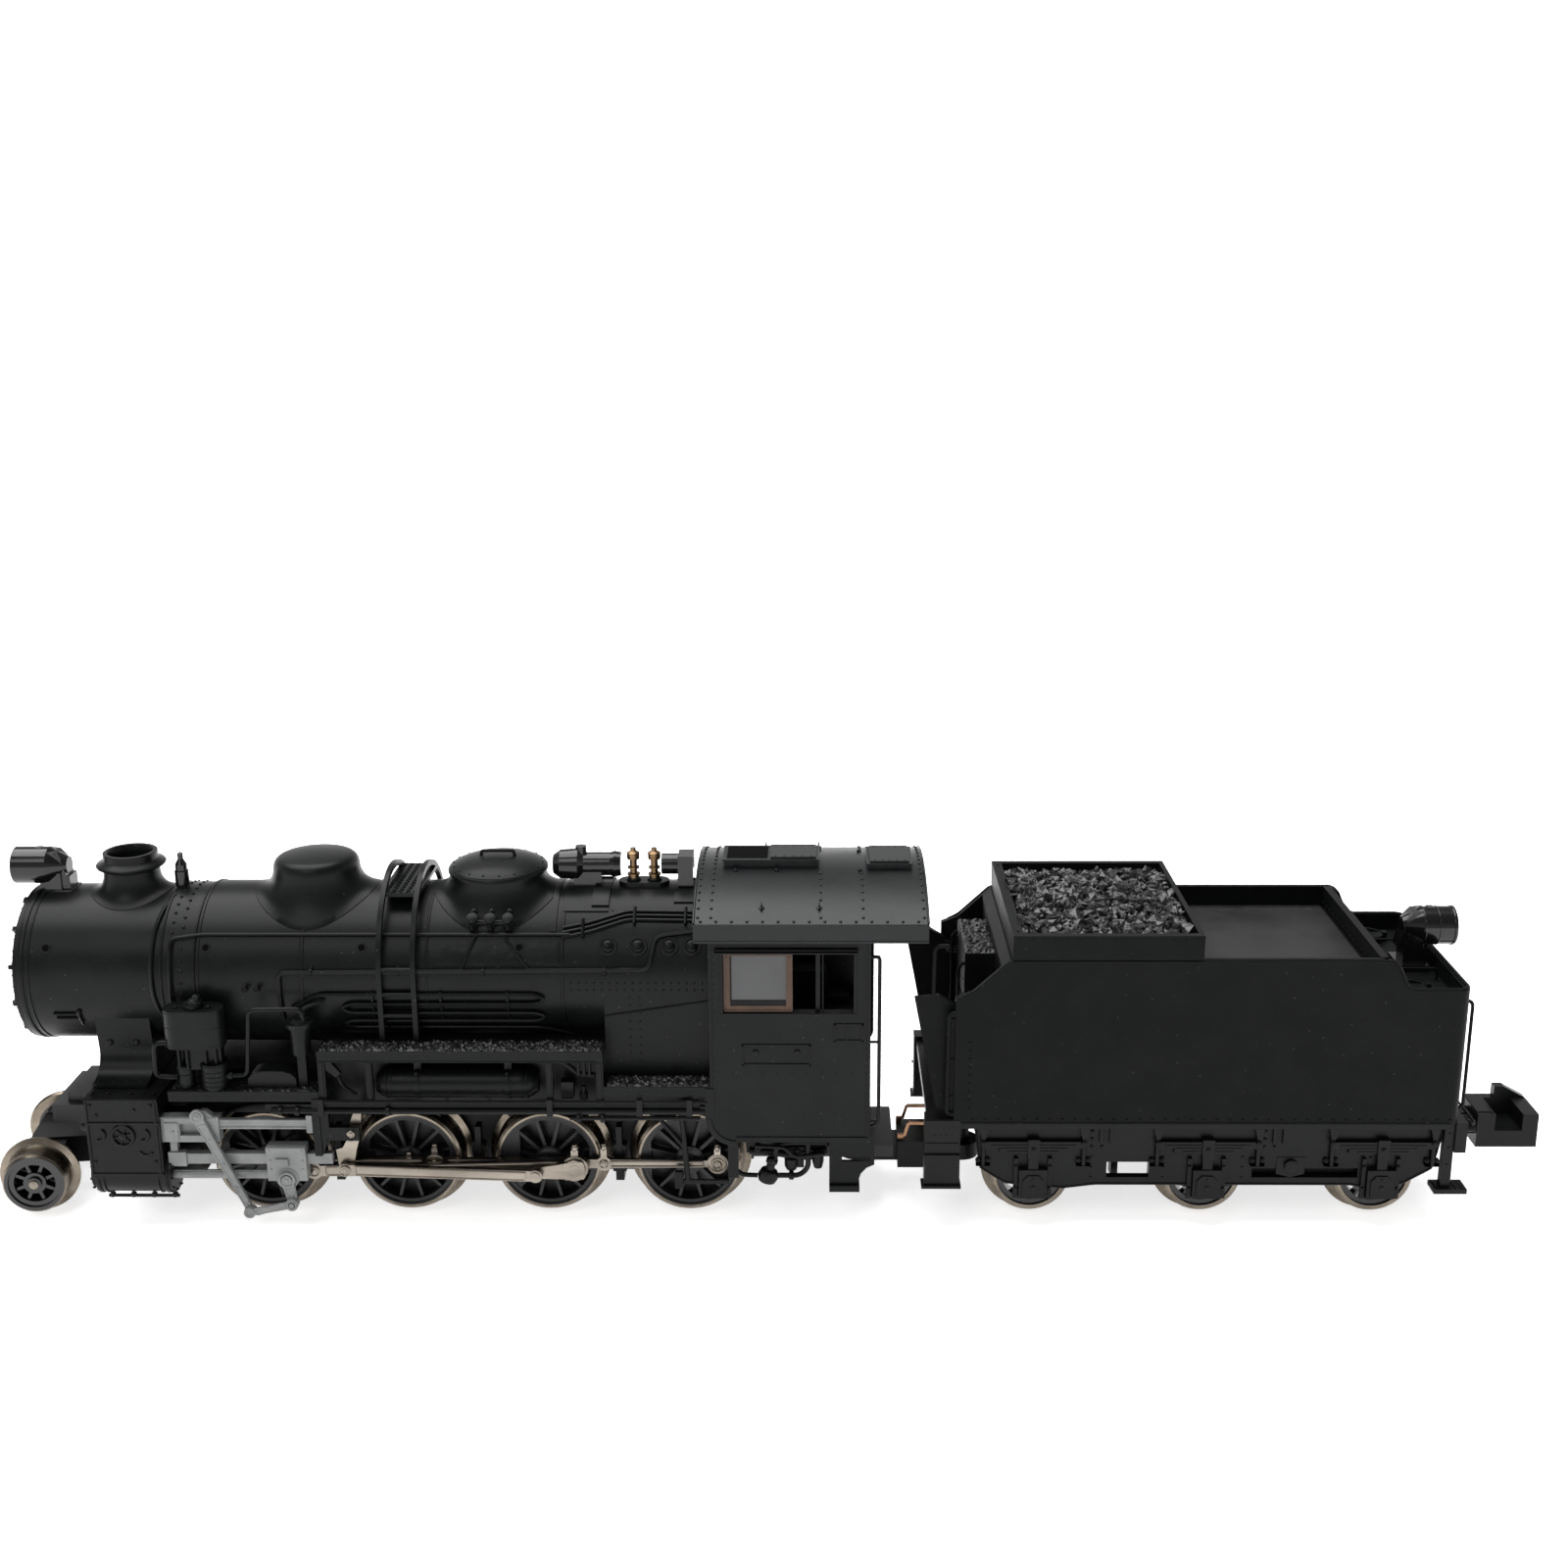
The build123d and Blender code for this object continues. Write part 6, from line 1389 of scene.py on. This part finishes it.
def make_backhead():
    """Boiler backhead with its fire door, gauges and valves, and the seats."""
    backhead_radius = 5.3
    rivet_ring = 4.95
    backhead_valve_z = 19.3
    front = cab_x + 0.7
    body = Shape()
    turned = [(math.cos(math.radians(a)) * backhead_radius,
               boiler_z + math.sin(math.radians(a)) * backhead_radius) for a in range(0, 181, 12)]
    outline = [(front - 0.02, y, z) for y, z in turned]
    outline += [(front - 0.02, -backhead_radius, 12.5), (front - 0.02, backhead_radius, 12.5)]
    body.prism(outline, (0.65, 0, 0))
    plate_x = front + 0.62
    for n in range(15):
        turn = math.radians(12.8 * n)
        place = (plate_x, rivet_ring * math.cos(turn), boiler_z + rivet_ring * math.sin(turn))
        body.rivet(place, BACK, 0.1)
    body.turned([(0, 1.35), (0.2, 1.35), (0.28, 1.1), (0.32, 0.2)], (plate_x, 0, 14.9), BACK, 32)
    body.rod((plate_x + 0.2, -1.2, 14.9), (plate_x + 0.5, 0.9, 14.9), 0.12)
    body.pipe([(plate_x, 0, 20.4), (plate_x + 0.8, 0, 20.5), (plate_x + 1.0, -2.6, 19.6)], 0.16)
    for side in SIDES:
        body.rod((plate_x + 0.35, side * 2.6, 17.0), (plate_x + 0.35, side * 2.6, 19.8), 0.16)
        for z in (17.0, 19.8):
            body.turned([(0, 0.3), (0.5, 0.3)], (plate_x, side * 2.6, z), BACK, 12)
        body.box(front, 6.2, side * 4.6, side * 7.2, 12.4, 13.0)
        body.box(1.9, 4.6, side * 4.9, side * 7.1, 13.0, 14.9)
        body.pipe([(plate_x, side * 4.2, 18.5), (1.0, side * 5.0, 18.4), (1.1, side * 5.2, 13.0)], 0.15)
        body.hoop((plate_x + 0.8, side * 4.1, backhead_valve_z), BACK, 0.5, 0.1, 0.08, sides=20)
        body.rod((plate_x, side * 4.1, backhead_valve_z), (plate_x + 0.8, side * 4.1, backhead_valve_z), 0.1)
    body.finish("backhead", "engine", "frame_black")
    gauges = Shape()
    for y, z, radius in ((-1.0, 21.4, 0.55), (0.7, 21.6, 0.6), (2.0, 21.2, 0.42)):
        gauges.turned([(0, radius), (0.3, radius), (0.34, radius * 0.8), (0.3, radius * 0.75), (0.3, 0.1)],
                      (plate_x, y, z), BACK, 24)
    gauges.finish("cab_gauges", "engine", "gloss_black", soften=0)


# ---------------------------------------------------------------- tender
def make_tender_sides():
    """Rivet rows, handrails, edge beads and pipes of the tender's sides and front."""
    rim_z = 20.66
    rim_pipe_y = 7.85
    x0, x1, y_out = tender_front, tender_high.x, tender_high.y
    for side, name in SIDE_NAMES.items():
        face = side * y_out
        out = (0, side, 0)
        tank = Shape()
        tank.rivet_row((x0 + 1.0, face, tender_low.z + 0.32), (0.9, 0, 0), 38, out, 0.12)
        for n in range(9):
            tank.rivet((x0 + 0.75, face, 9.7 + 0.62 * n), out, 0.1)
            tank.rivet((x1 - 1.1, face, 9.7 + 0.9 * n), out, 0.06)
        tank.box(x0 + 0.3, x1 - 0.7, face, face + side * 0.05, tender_low.z, tender_low.z + 0.12)
        edge = [(x0 + 0.2, face, 18.0), (14.7, face, 18.4), (17.1, face, rim_z), (43.05, face, rim_z)]
        edge += [(43.6, face, 20.25), (44.2, face, 18.9), (44.8, face, 18.47), (x1 - 0.75, face, 18.47)]
        tank.pipe(edge, 0.11, 0.3)
        tank.box(17.5, 42.6, side * (y_out - 0.42), side * (y_out - 0.1), rim_z, 20.78)
        if side < 0:
            tank.pipe([(12.9, -7.7, 21.7), (11.9, -7.7, 21.7), (11.85, -7.7, 17.9)], 0.15, 0.6)
            tank.pipe([(13.5, -rim_pipe_y, 16.8), (12.95, -rim_pipe_y, 16.75), (12.9, -rim_pipe_y, 9.3),
                       (13.4, -rim_pipe_y, 9.2)], 0.16, 0.5)
        for z in (10.4, 13.2, 16.2):
            tank.box(12.8, 13.7, side * 7.6, side * rim_pipe_y, z, z + 0.16)
        tank.pipe([(x1 - 0.35, side * 7.2, 17.6), (x1 + 0.35, side * 7.2, 17.4), (x1 + 0.35, side * 7.2, 9.6),
                   (x1 - 0.1, side * 7.2, 9.4)], 0.13, 0.4)
        tank.finish(f"tank_detail_{name}", "tender", "tender_black", soften=0)
        wing = Shape()
        wing.box(13.7, 16.4, side * 4.6, side * 7.3, 9.8, 11.4)
        wing.box(14.3, 16.4, side * 4.9, side * 7.2, 11.4, 14.2)
        for n in range(3):
            wing.pipe([(13.9, side * (5.0 + 0.6 * n), 9.8), (13.9, side * (5.0 + 0.6 * n), 12.6),
                       (14.5, side * (5.0 + 0.6 * n), 13.0)], 0.14)
        wing.finish(f"tender_front_lockers_{name}", "tender", "tender_black")


def make_tender_deck():
    """Deck plates, filler lid, coal on the front locker, bulkhead and rear rim."""
    rear_deck_z = 17.3
    deck_rim_z = 18.5
    bulkhead_pipe_x = 14.35
    deck = Shape()
    deck.box(30.6, 42.2, -7.5, 7.5, deck_z - 0.02, deck_z + 0.06)
    for side in SIDES:
        granular(deck, 30.7, 42.2, side * 6.4, side * 7.5, deck_z + 0.07, 0.24, 0.09)
    deck.finish("deck_plate", "tender", "deck_grey", "tender_black", soften=0)
    fittings = Shape()
    fittings.box(42.35, 42.9, -7.55, 7.55, deck_z + 0.8, deck_z + 1.62)
    fittings.rivet_row((42.3, -6.9, deck_z + 0.5), (0, 0.92, 0), 16, FRONT, 0.08)
    x1 = tender_high.x
    rim = [(44.6, -7.75, deck_rim_z), (x1 - 0.5, -7.75, deck_rim_z), (x1 - 0.1, -7.3, deck_rim_z),
           (x1 - 0.1, 7.3, deck_rim_z)]
    rim += [(x1 - 0.5, 7.75, deck_rim_z), (44.6, 7.75, deck_rim_z)]
    fittings.pipe(rim, 0.17, 0.4)
    for y in (-5.2, 5.2):
        fittings.turned([(0, 1.05), (0.35, 1.05), (0.45, 1.2), (0.6, 1.2), (0.68, 0.9), (0.75, 0.2)],
                        (45.2, y, rear_deck_z), UP, 32)
        fittings.pipe([(45.2 - 0.9, y, 17.95), (45.2, y, 18.25), (45.2 + 0.9, y, 17.95)], 0.1)
        fittings.box(46.3, 46.7, y - 0.25, y + 0.25, rear_deck_z, 18.0)
    for y in (-2.9, 2.9):
        fittings.pipe([(43.5, y, rear_deck_z), (43.5, y, 18.2), (47.9, y, 18.2), (47.9, y, rear_deck_z)],
                      0.09, 0.3)
    low, high = bunker_low, bunker_high
    for side in SIDES:
        fittings.rivet_row((low.x + 0.5, side * high.y, high.z - 0.25), (0.8, 0, 0), 16, (0, side, 0), 0.06)
        fittings.box(low.x, high.x, side * (high.y - 0.02), side * (high.y + 0.07), high.z - 0.12, high.z)
        fittings.rivet((low.x + 0.4, side * 7.2, high.z), UP, 0.1)
    fittings.finish("tender_top_detail", "tender", "tender_black", soften=0.015)
    grains = Shape()
    granular(grains, 14.45, 16.65, -2.55, 4.45, 19.22, 0.16, 0.16)
    faceted(grains.finish("locker_grains", "tender", "granules", "tender_black", soften=0))
    bulkhead = Shape()
    bulkhead.box(14.3, 14.42, -1.6, 3.5, 10.2, 15.4)
    for y in (-1.9, 3.8):
        bulkhead.rivet_row((14.4, y, 10.4), (0, 0, 1.1), 8, FRONT, 0.09)
    bulkhead.box(14.2, 14.42, 0.2, 1.7, 10.3, 12.4)
    bulkhead.pipe([(bulkhead_pipe_x, -2.3, 10.0), (14.0, -2.3, 10.4), (14.0, -2.3, 18.0),
                   (bulkhead_pipe_x, -2.3, 18.4)], 0.12)
    bulkhead.pipe([(bulkhead_pipe_x, 4.2, 10.0), (14.0, 4.2, 10.4), (14.0, 4.2, 18.0),
                   (bulkhead_pipe_x, 4.2, 18.4)], 0.12)
    for y in (-5.0, 5.0):
        bulkhead.rod((14.2, y, 14.2), (14.2, y, 16.6), 0.14)
        bulkhead.hoop((14.2, y, 16.6), UP, 0.55, 0.12, 0.1, sides=20)
        bulkhead.rod((14.2 - 0.55, y, 16.6), (14.2 + 0.55, y, 16.6), 0.08)
    bulkhead.finish("tender_bulkhead", "tender", "tender_black")


def make_tender_underframe():
    """Springs, axlebox lids, guides, equalisers and steps of the tender frame."""
    for side, name in SIDE_NAMES.items():
        plate = side * 7.0
        out = (0, side, 0)
        gear = Shape()
        for x, z in tender_axles:
            for leaf, half in enumerate((3.6, 3.0, 2.4, 1.8)):
                top = 6.85 - 0.24 * leaf
                gear.box(x - half, x + half, side * 6.95, side * 7.42, top - 0.2, top)
            gear.box(x - 0.42, x + 0.42, side * 6.95, side * 7.55, 5.6, 7.05)
            gear.bolt((x, side * 7.55, 6.3), out, 0.18, 0.1)
            for s in SIDES:
                gear.rod((x + s * 3.55, side * 7.25, 5.0), (x + s * 3.55, side * 7.25, 7.9), 0.16)
                gear.prism([(x + s * 3.2, side * 7.0, 7.9), (x + s * 3.9, side * 7.0, 7.9),
                            (x + s * 3.7, side * 7.0, 7.1),
                            (x + s * 3.4, side * 7.0, 7.1)], (0, side * 0.5, 0))
                gear.bolt((x + s * 3.55, side * 7.4, 6.75), out, 0.24, 0.14)
                for dx in (-0.35, 0.35):
                    gear.bolt((x + s * 3.55 + dx, plate, 5.3), out, 0.2, 0.2)
                    gear.box(x + s * 3.55 - 0.5, x + s * 3.55 + 0.5, plate, side * 7.3, 4.9, 5.15)
                gear.box(x + s * 1.05, x + s * 1.35, side * 6.95, side * 7.3, 2.6, 5.5)
                gear.bolt((x + s * 1.2, side * 7.3, 4.9), out, 0.14, 0.1)
                gear.bolt((x + s * 1.2, side * 7.3, 3.2), out, 0.14, 0.1)
            gear.prism([(x - 0.75, side * 7.5, 2.7), (x + 0.75, side * 7.5, 2.7), (x + 0.75, side * 7.5, 3.9),
                        (x + 0.4, side * 7.5, 4.3), (x - 0.4, side * 7.5, 4.3), (x - 0.75, side * 7.5, 3.9)],
                       (0, side * 0.16, 0))
            gear.rivet((x, side * 7.66, 3.4), out, 0.22, 0.1)
            gear.rivet((x, side * 7.66, 4.05), out, 0.1)
            gear.box(x - 1.4, x + 1.4, side * 6.95, side * 7.2, 2.35, 2.62)
        for x in (23.3, 24.0, 35.5, 36.2):
            gear.rivet_row((x, plate, 6.3), (0, 0, 0.6), 3, out, 0.14)
            gear.box(x + 0.5, x + 0.75, plate, side * 7.25, 6.6, 7.8)
        for x in (23.3, 28.4, 34.0, 43.0):
            gear.rivet_row((x, plate, 3.9), (0, 0, 0.8), 3, out, 0.11)
        gear.turned([(-0.05, 0.5), (0.3, 0.46), (0.36, 0.2)], (37.4, plate, 4.9), out, 20)
        gear.box(33.9, 42.9, side * 6.5, side * 6.95, 4.6, 5.2)
        gear.box(34.5, 42.4, side * 5.9, side * 6.3, 3.7, 4.6)
        gear.prism([(36.4, side * 6.6, 4.2), (37.4, side * 6.6, 3.95), (38.4, side * 6.6, 4.2),
                    (38.4, side * 6.6, 5.5),
                    (36.4, side * 6.6, 5.5)], (0, side * 0.45, 0))
        for x in (25.2, 38.0):
            gear.box(x - 0.25, x + 0.25, side * 4.4, side * 5.5, 3.2, 6.8)
        lip = [(15.0, 7.9), (15.4, 4.6), (17.2, 3.4), (21.3, 3.0), (23.6, 3.3), (29.4, 3.3), (33.6, 3.3)]
        lip += [(41.6, 3.3), (43.4, 3.0), (45.4, 3.4), (47.4, 4.6), (48.0, 7.9)]
        gear.pipe([(x, plate, z + 0.1) for x, z in lip], 0.09, 0.3, 6)
        gear.box(11.42, 13.88, side * 7.88, side * 7.98, 8.3, 8.75)
        gear.box(11.45, 13.8, side * 7.9, side * 7.97, 6.8, 7.0)
        gear.box(11.2, 14.0, side * 6.9, side * 8.15, 3.55, 3.75)
        gear.box(11.3, 13.9, side * 7.9, side * 8.1, 6.0, 6.14)
        for n in range(5):
            gear.rod((11.4 + 0.5 * n, side * 7.0, 3.76), (11.4 + 0.5 * n, side * 8.05, 3.76), 0.05, 6)
            gear.rod((47.6 + 0.45 * n, side * 6.5, 3.46), (47.6 + 0.45 * n, side * 7.8, 3.46), 0.05, 6)
        for z in (5.2, 6.5, 7.6):
            gear.rivet((48.25, side * 7.5, z), out, 0.1)
        gear.rivet_row((12.1, side * 7.9, 7.6), (0.42, 0, 0), 4, out, 0.07)
        gear.finish(f"underframe_detail_{name}", "tender", "frame_black", soften=0.015)


def make_rear_end():
    """Ladder, buffer beam, hoses and plate of the tender's rear, and the coupler's edges."""
    x1 = tender_high.x
    rear = Shape()
    for y in (2.9, 4.5):
        rear.pipe([(x1, y, 17.9), (x1 + 0.4, y, 17.9), (x1 + 0.45, y, 9.0), (x1, y, 8.9)], 0.13, 0.3)
    for n in range(7):
        rear.rod((x1 + 0.42, 2.9, 9.9 + 1.15 * n), (x1 + 0.42, 4.5, 9.9 + 1.15 * n), 0.11)
    for n in range(17):
        rear.rivet((x1, -7.2 + 0.9 * n, 8.9), BACK, 0.08)
        rear.rivet((x1, -7.2 + 0.9 * n, 17.8), BACK, 0.06)
    for y in (-6.9, 6.9):
        rear.rivet_row((x1, y, 9.6), (0, 0, 0.92), 9, BACK, 0.06)
    rear.box(x1 - 0.02, x1 + 0.1, -3.4, 0.4, 12.9, 14.6)
    for y, z in ((-3.1, 13.2), (-3.1, 14.3), (0.1, 13.2), (0.1, 14.3)):
        rear.rivet((x1 + 0.1, y, z), BACK, 0.09)
    for y in (-6.2, -4.0, 4.0, 6.2):
        rear.bolt((beam_x, y, 7.9), BACK, 0.2, 0.14)
    for y in (-2.6, 2.9):
        route = [(beam_x - 0.1, y, 7.4), (beam_x + 0.5, y, 7.3), (beam_x + 0.65, y, 6.6),
                 (beam_x + 0.5, y, 5.2)]
        rear.pipe(route, 0.22, 0.5)
        rear.turned([(0, 0.3), (0.4, 0.32), (0.45, 0.2)], (beam_x + 0.5, y, 5.2), DOWN, 12)
        rear.bolt((beam_x + 0.2, y, 7.4), BACK, 0.3, 0.15)
    for y in (-5.6, 5.6):
        rear.turned([(0, 0.7), (0.2, 0.7), (0.25, 0.45), (0.9, 0.45)], (beam_x, y, 7.3), BACK, 24)
    rear.pipe([(beam_x, -7.4, 8.2), (beam_x + 0.4, -7.0, 8.2), (beam_x + 0.4, -1.6, 8.1),
               (beam_x, -1.2, 8.0)], 0.09)
    rear.finish("tender_rear_detail", "tender", "tender_black", soften=0.015)
    coupler = Shape()
    low, high = span("rear_coupler")
    shank_z, head_z, half = low.z + 2.05, high.z - 0.9, high.y
    coupler.pipe([(53.4, -half + 0.2, head_z), (53.4, half - 0.2, head_z)], 0.06)
    coupler.box(49.8, 52.0, -0.5, 0.5, shank_z - 0.02, shank_z + 0.08)
    coupler.turned([(0, 0.8), (0.12, 0.78), (0.16, 0.3)], (47.0, 0, shank_z), UP, 24)
    coupler.box(52.35, 53.5, -half + 0.4, half - 0.4, head_z - 0.02, head_z + 0.05)
    coupler.finish("coupler_detail", "rear_coupler", "frame_black", soften=0)


make_domes()
make_bands()
make_barrel_holes()
make_barrel_pipes()
make_feed_valves()
make_firebox_detail()
make_treads()
make_coal()
make_smokebox_detail()
make_lamp("front_lamp", "engine", span("front_headlight")[0].x, -50.0, 25.05, 1.3, 23.1)
make_under_board_pipes()
make_tank_bands()
make_pump_detail()
make_ladder_tread()
make_cylinder_detail()
make_motion()
make_wheel_detail()
make_valve_cover()
make_roof_detail()
make_cab_sides()
make_backhead()
make_tender_sides()
make_tender_deck()
make_tender_underframe()
make_rear_end()
make_lamp("rear_lamp", "tender", span("rear_headlight")[1].x, 46.0, 20.4, 1.4, 17.35)


# ---------------------------------------------------------------- stage, light and camera
def make_stage():
    """Pale floor under the wheels."""
    half = 4000
    floor = Shape()
    floor.box(-half, half, -half, half, -2, 0)
    mesh = bpy.data.meshes.new("floor")
    mesh.from_pydata([p * MM for p in floor.points], [], floor.faces)
    piece = bpy.data.objects.new("floor", mesh)
    bpy.context.scene.collection.objects.link(piece)
    pale = surface("pale_floor", (0.86, 0.86, 0.86), (0.88, 0.88, 0.88), 0.9, specular=0.1, patch=3)
    glow = pale.node_tree.nodes["Principled BSDF"]
    glow.inputs["Emission Color"].default_value = (1, 1, 1, 1)
    glow.inputs["Emission Strength"].default_value = 0.7
    mesh.materials.append(pale)


def softbox(name, place, target, size, power):
    """A square soft light aimed at a point."""
    data = bpy.data.lights.new(name, "AREA")
    data.shape = "SQUARE"
    data.size = size * MM
    data.energy = power
    lamp = bpy.data.objects.new(name, data)
    lamp.location = Vector(place) * MM
    lamp.rotation_mode = "QUATERNION"
    lamp.rotation_quaternion = (Vector(target) - Vector(place)).to_track_quat("-Z", "Y")
    bpy.context.scene.collection.objects.link(lamp)


def make_light():
    """Even light from overhead, and surroundings that are white at the horizon and dimmer above it."""
    data = bpy.data.lights.new("overhead", "SUN")
    data.energy = 4.6
    data.angle = math.radians(58)
    sun = bpy.data.objects.new("overhead", data)
    sun.rotation_euler = (math.radians(-9), math.radians(-13), 0)
    bpy.context.scene.collection.objects.link(sun)
    softbox("front_fill", (-220, -520, 520), (0, 0, 12), 300, 1.1)
    world = bpy.data.worlds.new("surroundings")
    world.use_nodes = True
    tree = world.node_tree
    place = tree.nodes.new("ShaderNodeTexCoord")
    parts = tree.nodes.new("ShaderNodeSeparateXYZ")
    tree.links.new(place.outputs["Generated"], parts.inputs["Vector"])
    fade = make_node(tree, "ShaderNodeMapRange", From_Min=0.16, From_Max=0.5, To_Min=1.08, To_Max=0.34)
    tree.links.new(parts.outputs["Z"], fade.inputs["Value"])
    front = make_node(tree, "ShaderNodeMapRange", From_Min=-0.75, From_Max=-0.1, To_Min=0.6, To_Max=1.0)
    tree.links.new(parts.outputs["Y"], front.inputs["Value"])
    strength = tree.nodes.new("ShaderNodeMath")
    strength.operation = "MULTIPLY"
    tree.links.new(fade.outputs["Result"], strength.inputs[0])
    tree.links.new(front.outputs["Result"], strength.inputs[1])
    tree.nodes["Background"].inputs["Color"].default_value = (1, 1, 1, 1)
    tree.links.new(strength.outputs["Value"], tree.nodes["Background"].inputs["Strength"])
    bpy.context.scene.world = world
    bpy.context.scene.view_settings.view_transform = "Standard"


def make_camera():
    """Camera a hand's breadth from the engine, a little above it and looking down along +Y."""
    pitch = math.radians(15.79)
    yaw = math.radians(-0.93)
    roll = math.radians(-0.33)
    ahead = Vector((math.sin(yaw) * math.cos(pitch), math.cos(yaw) * math.cos(pitch), -math.sin(pitch)))
    right = Vector((math.cos(yaw), -math.sin(yaw), 0))
    up = right.cross(ahead)
    tilted_right = right * math.cos(roll) + up * math.sin(roll)
    tilted_up = up * math.cos(roll) - right * math.sin(roll)
    data = bpy.data.cameras.new("camera")
    data.sensor_width = 36.0
    data.lens = 42.8
    data.clip_start = 0.005
    camera = bpy.data.objects.new("camera", data)
    axes = Matrix((tilted_right, tilted_up, -ahead)).transposed()
    camera.matrix_world = Matrix.Translation(Vector((3.59, -127.4, 67.07)) * MM) @ axes.to_4x4()
    bpy.context.scene.collection.objects.link(camera)
    bpy.context.scene.camera = camera


make_stage()
make_light()
make_camera()
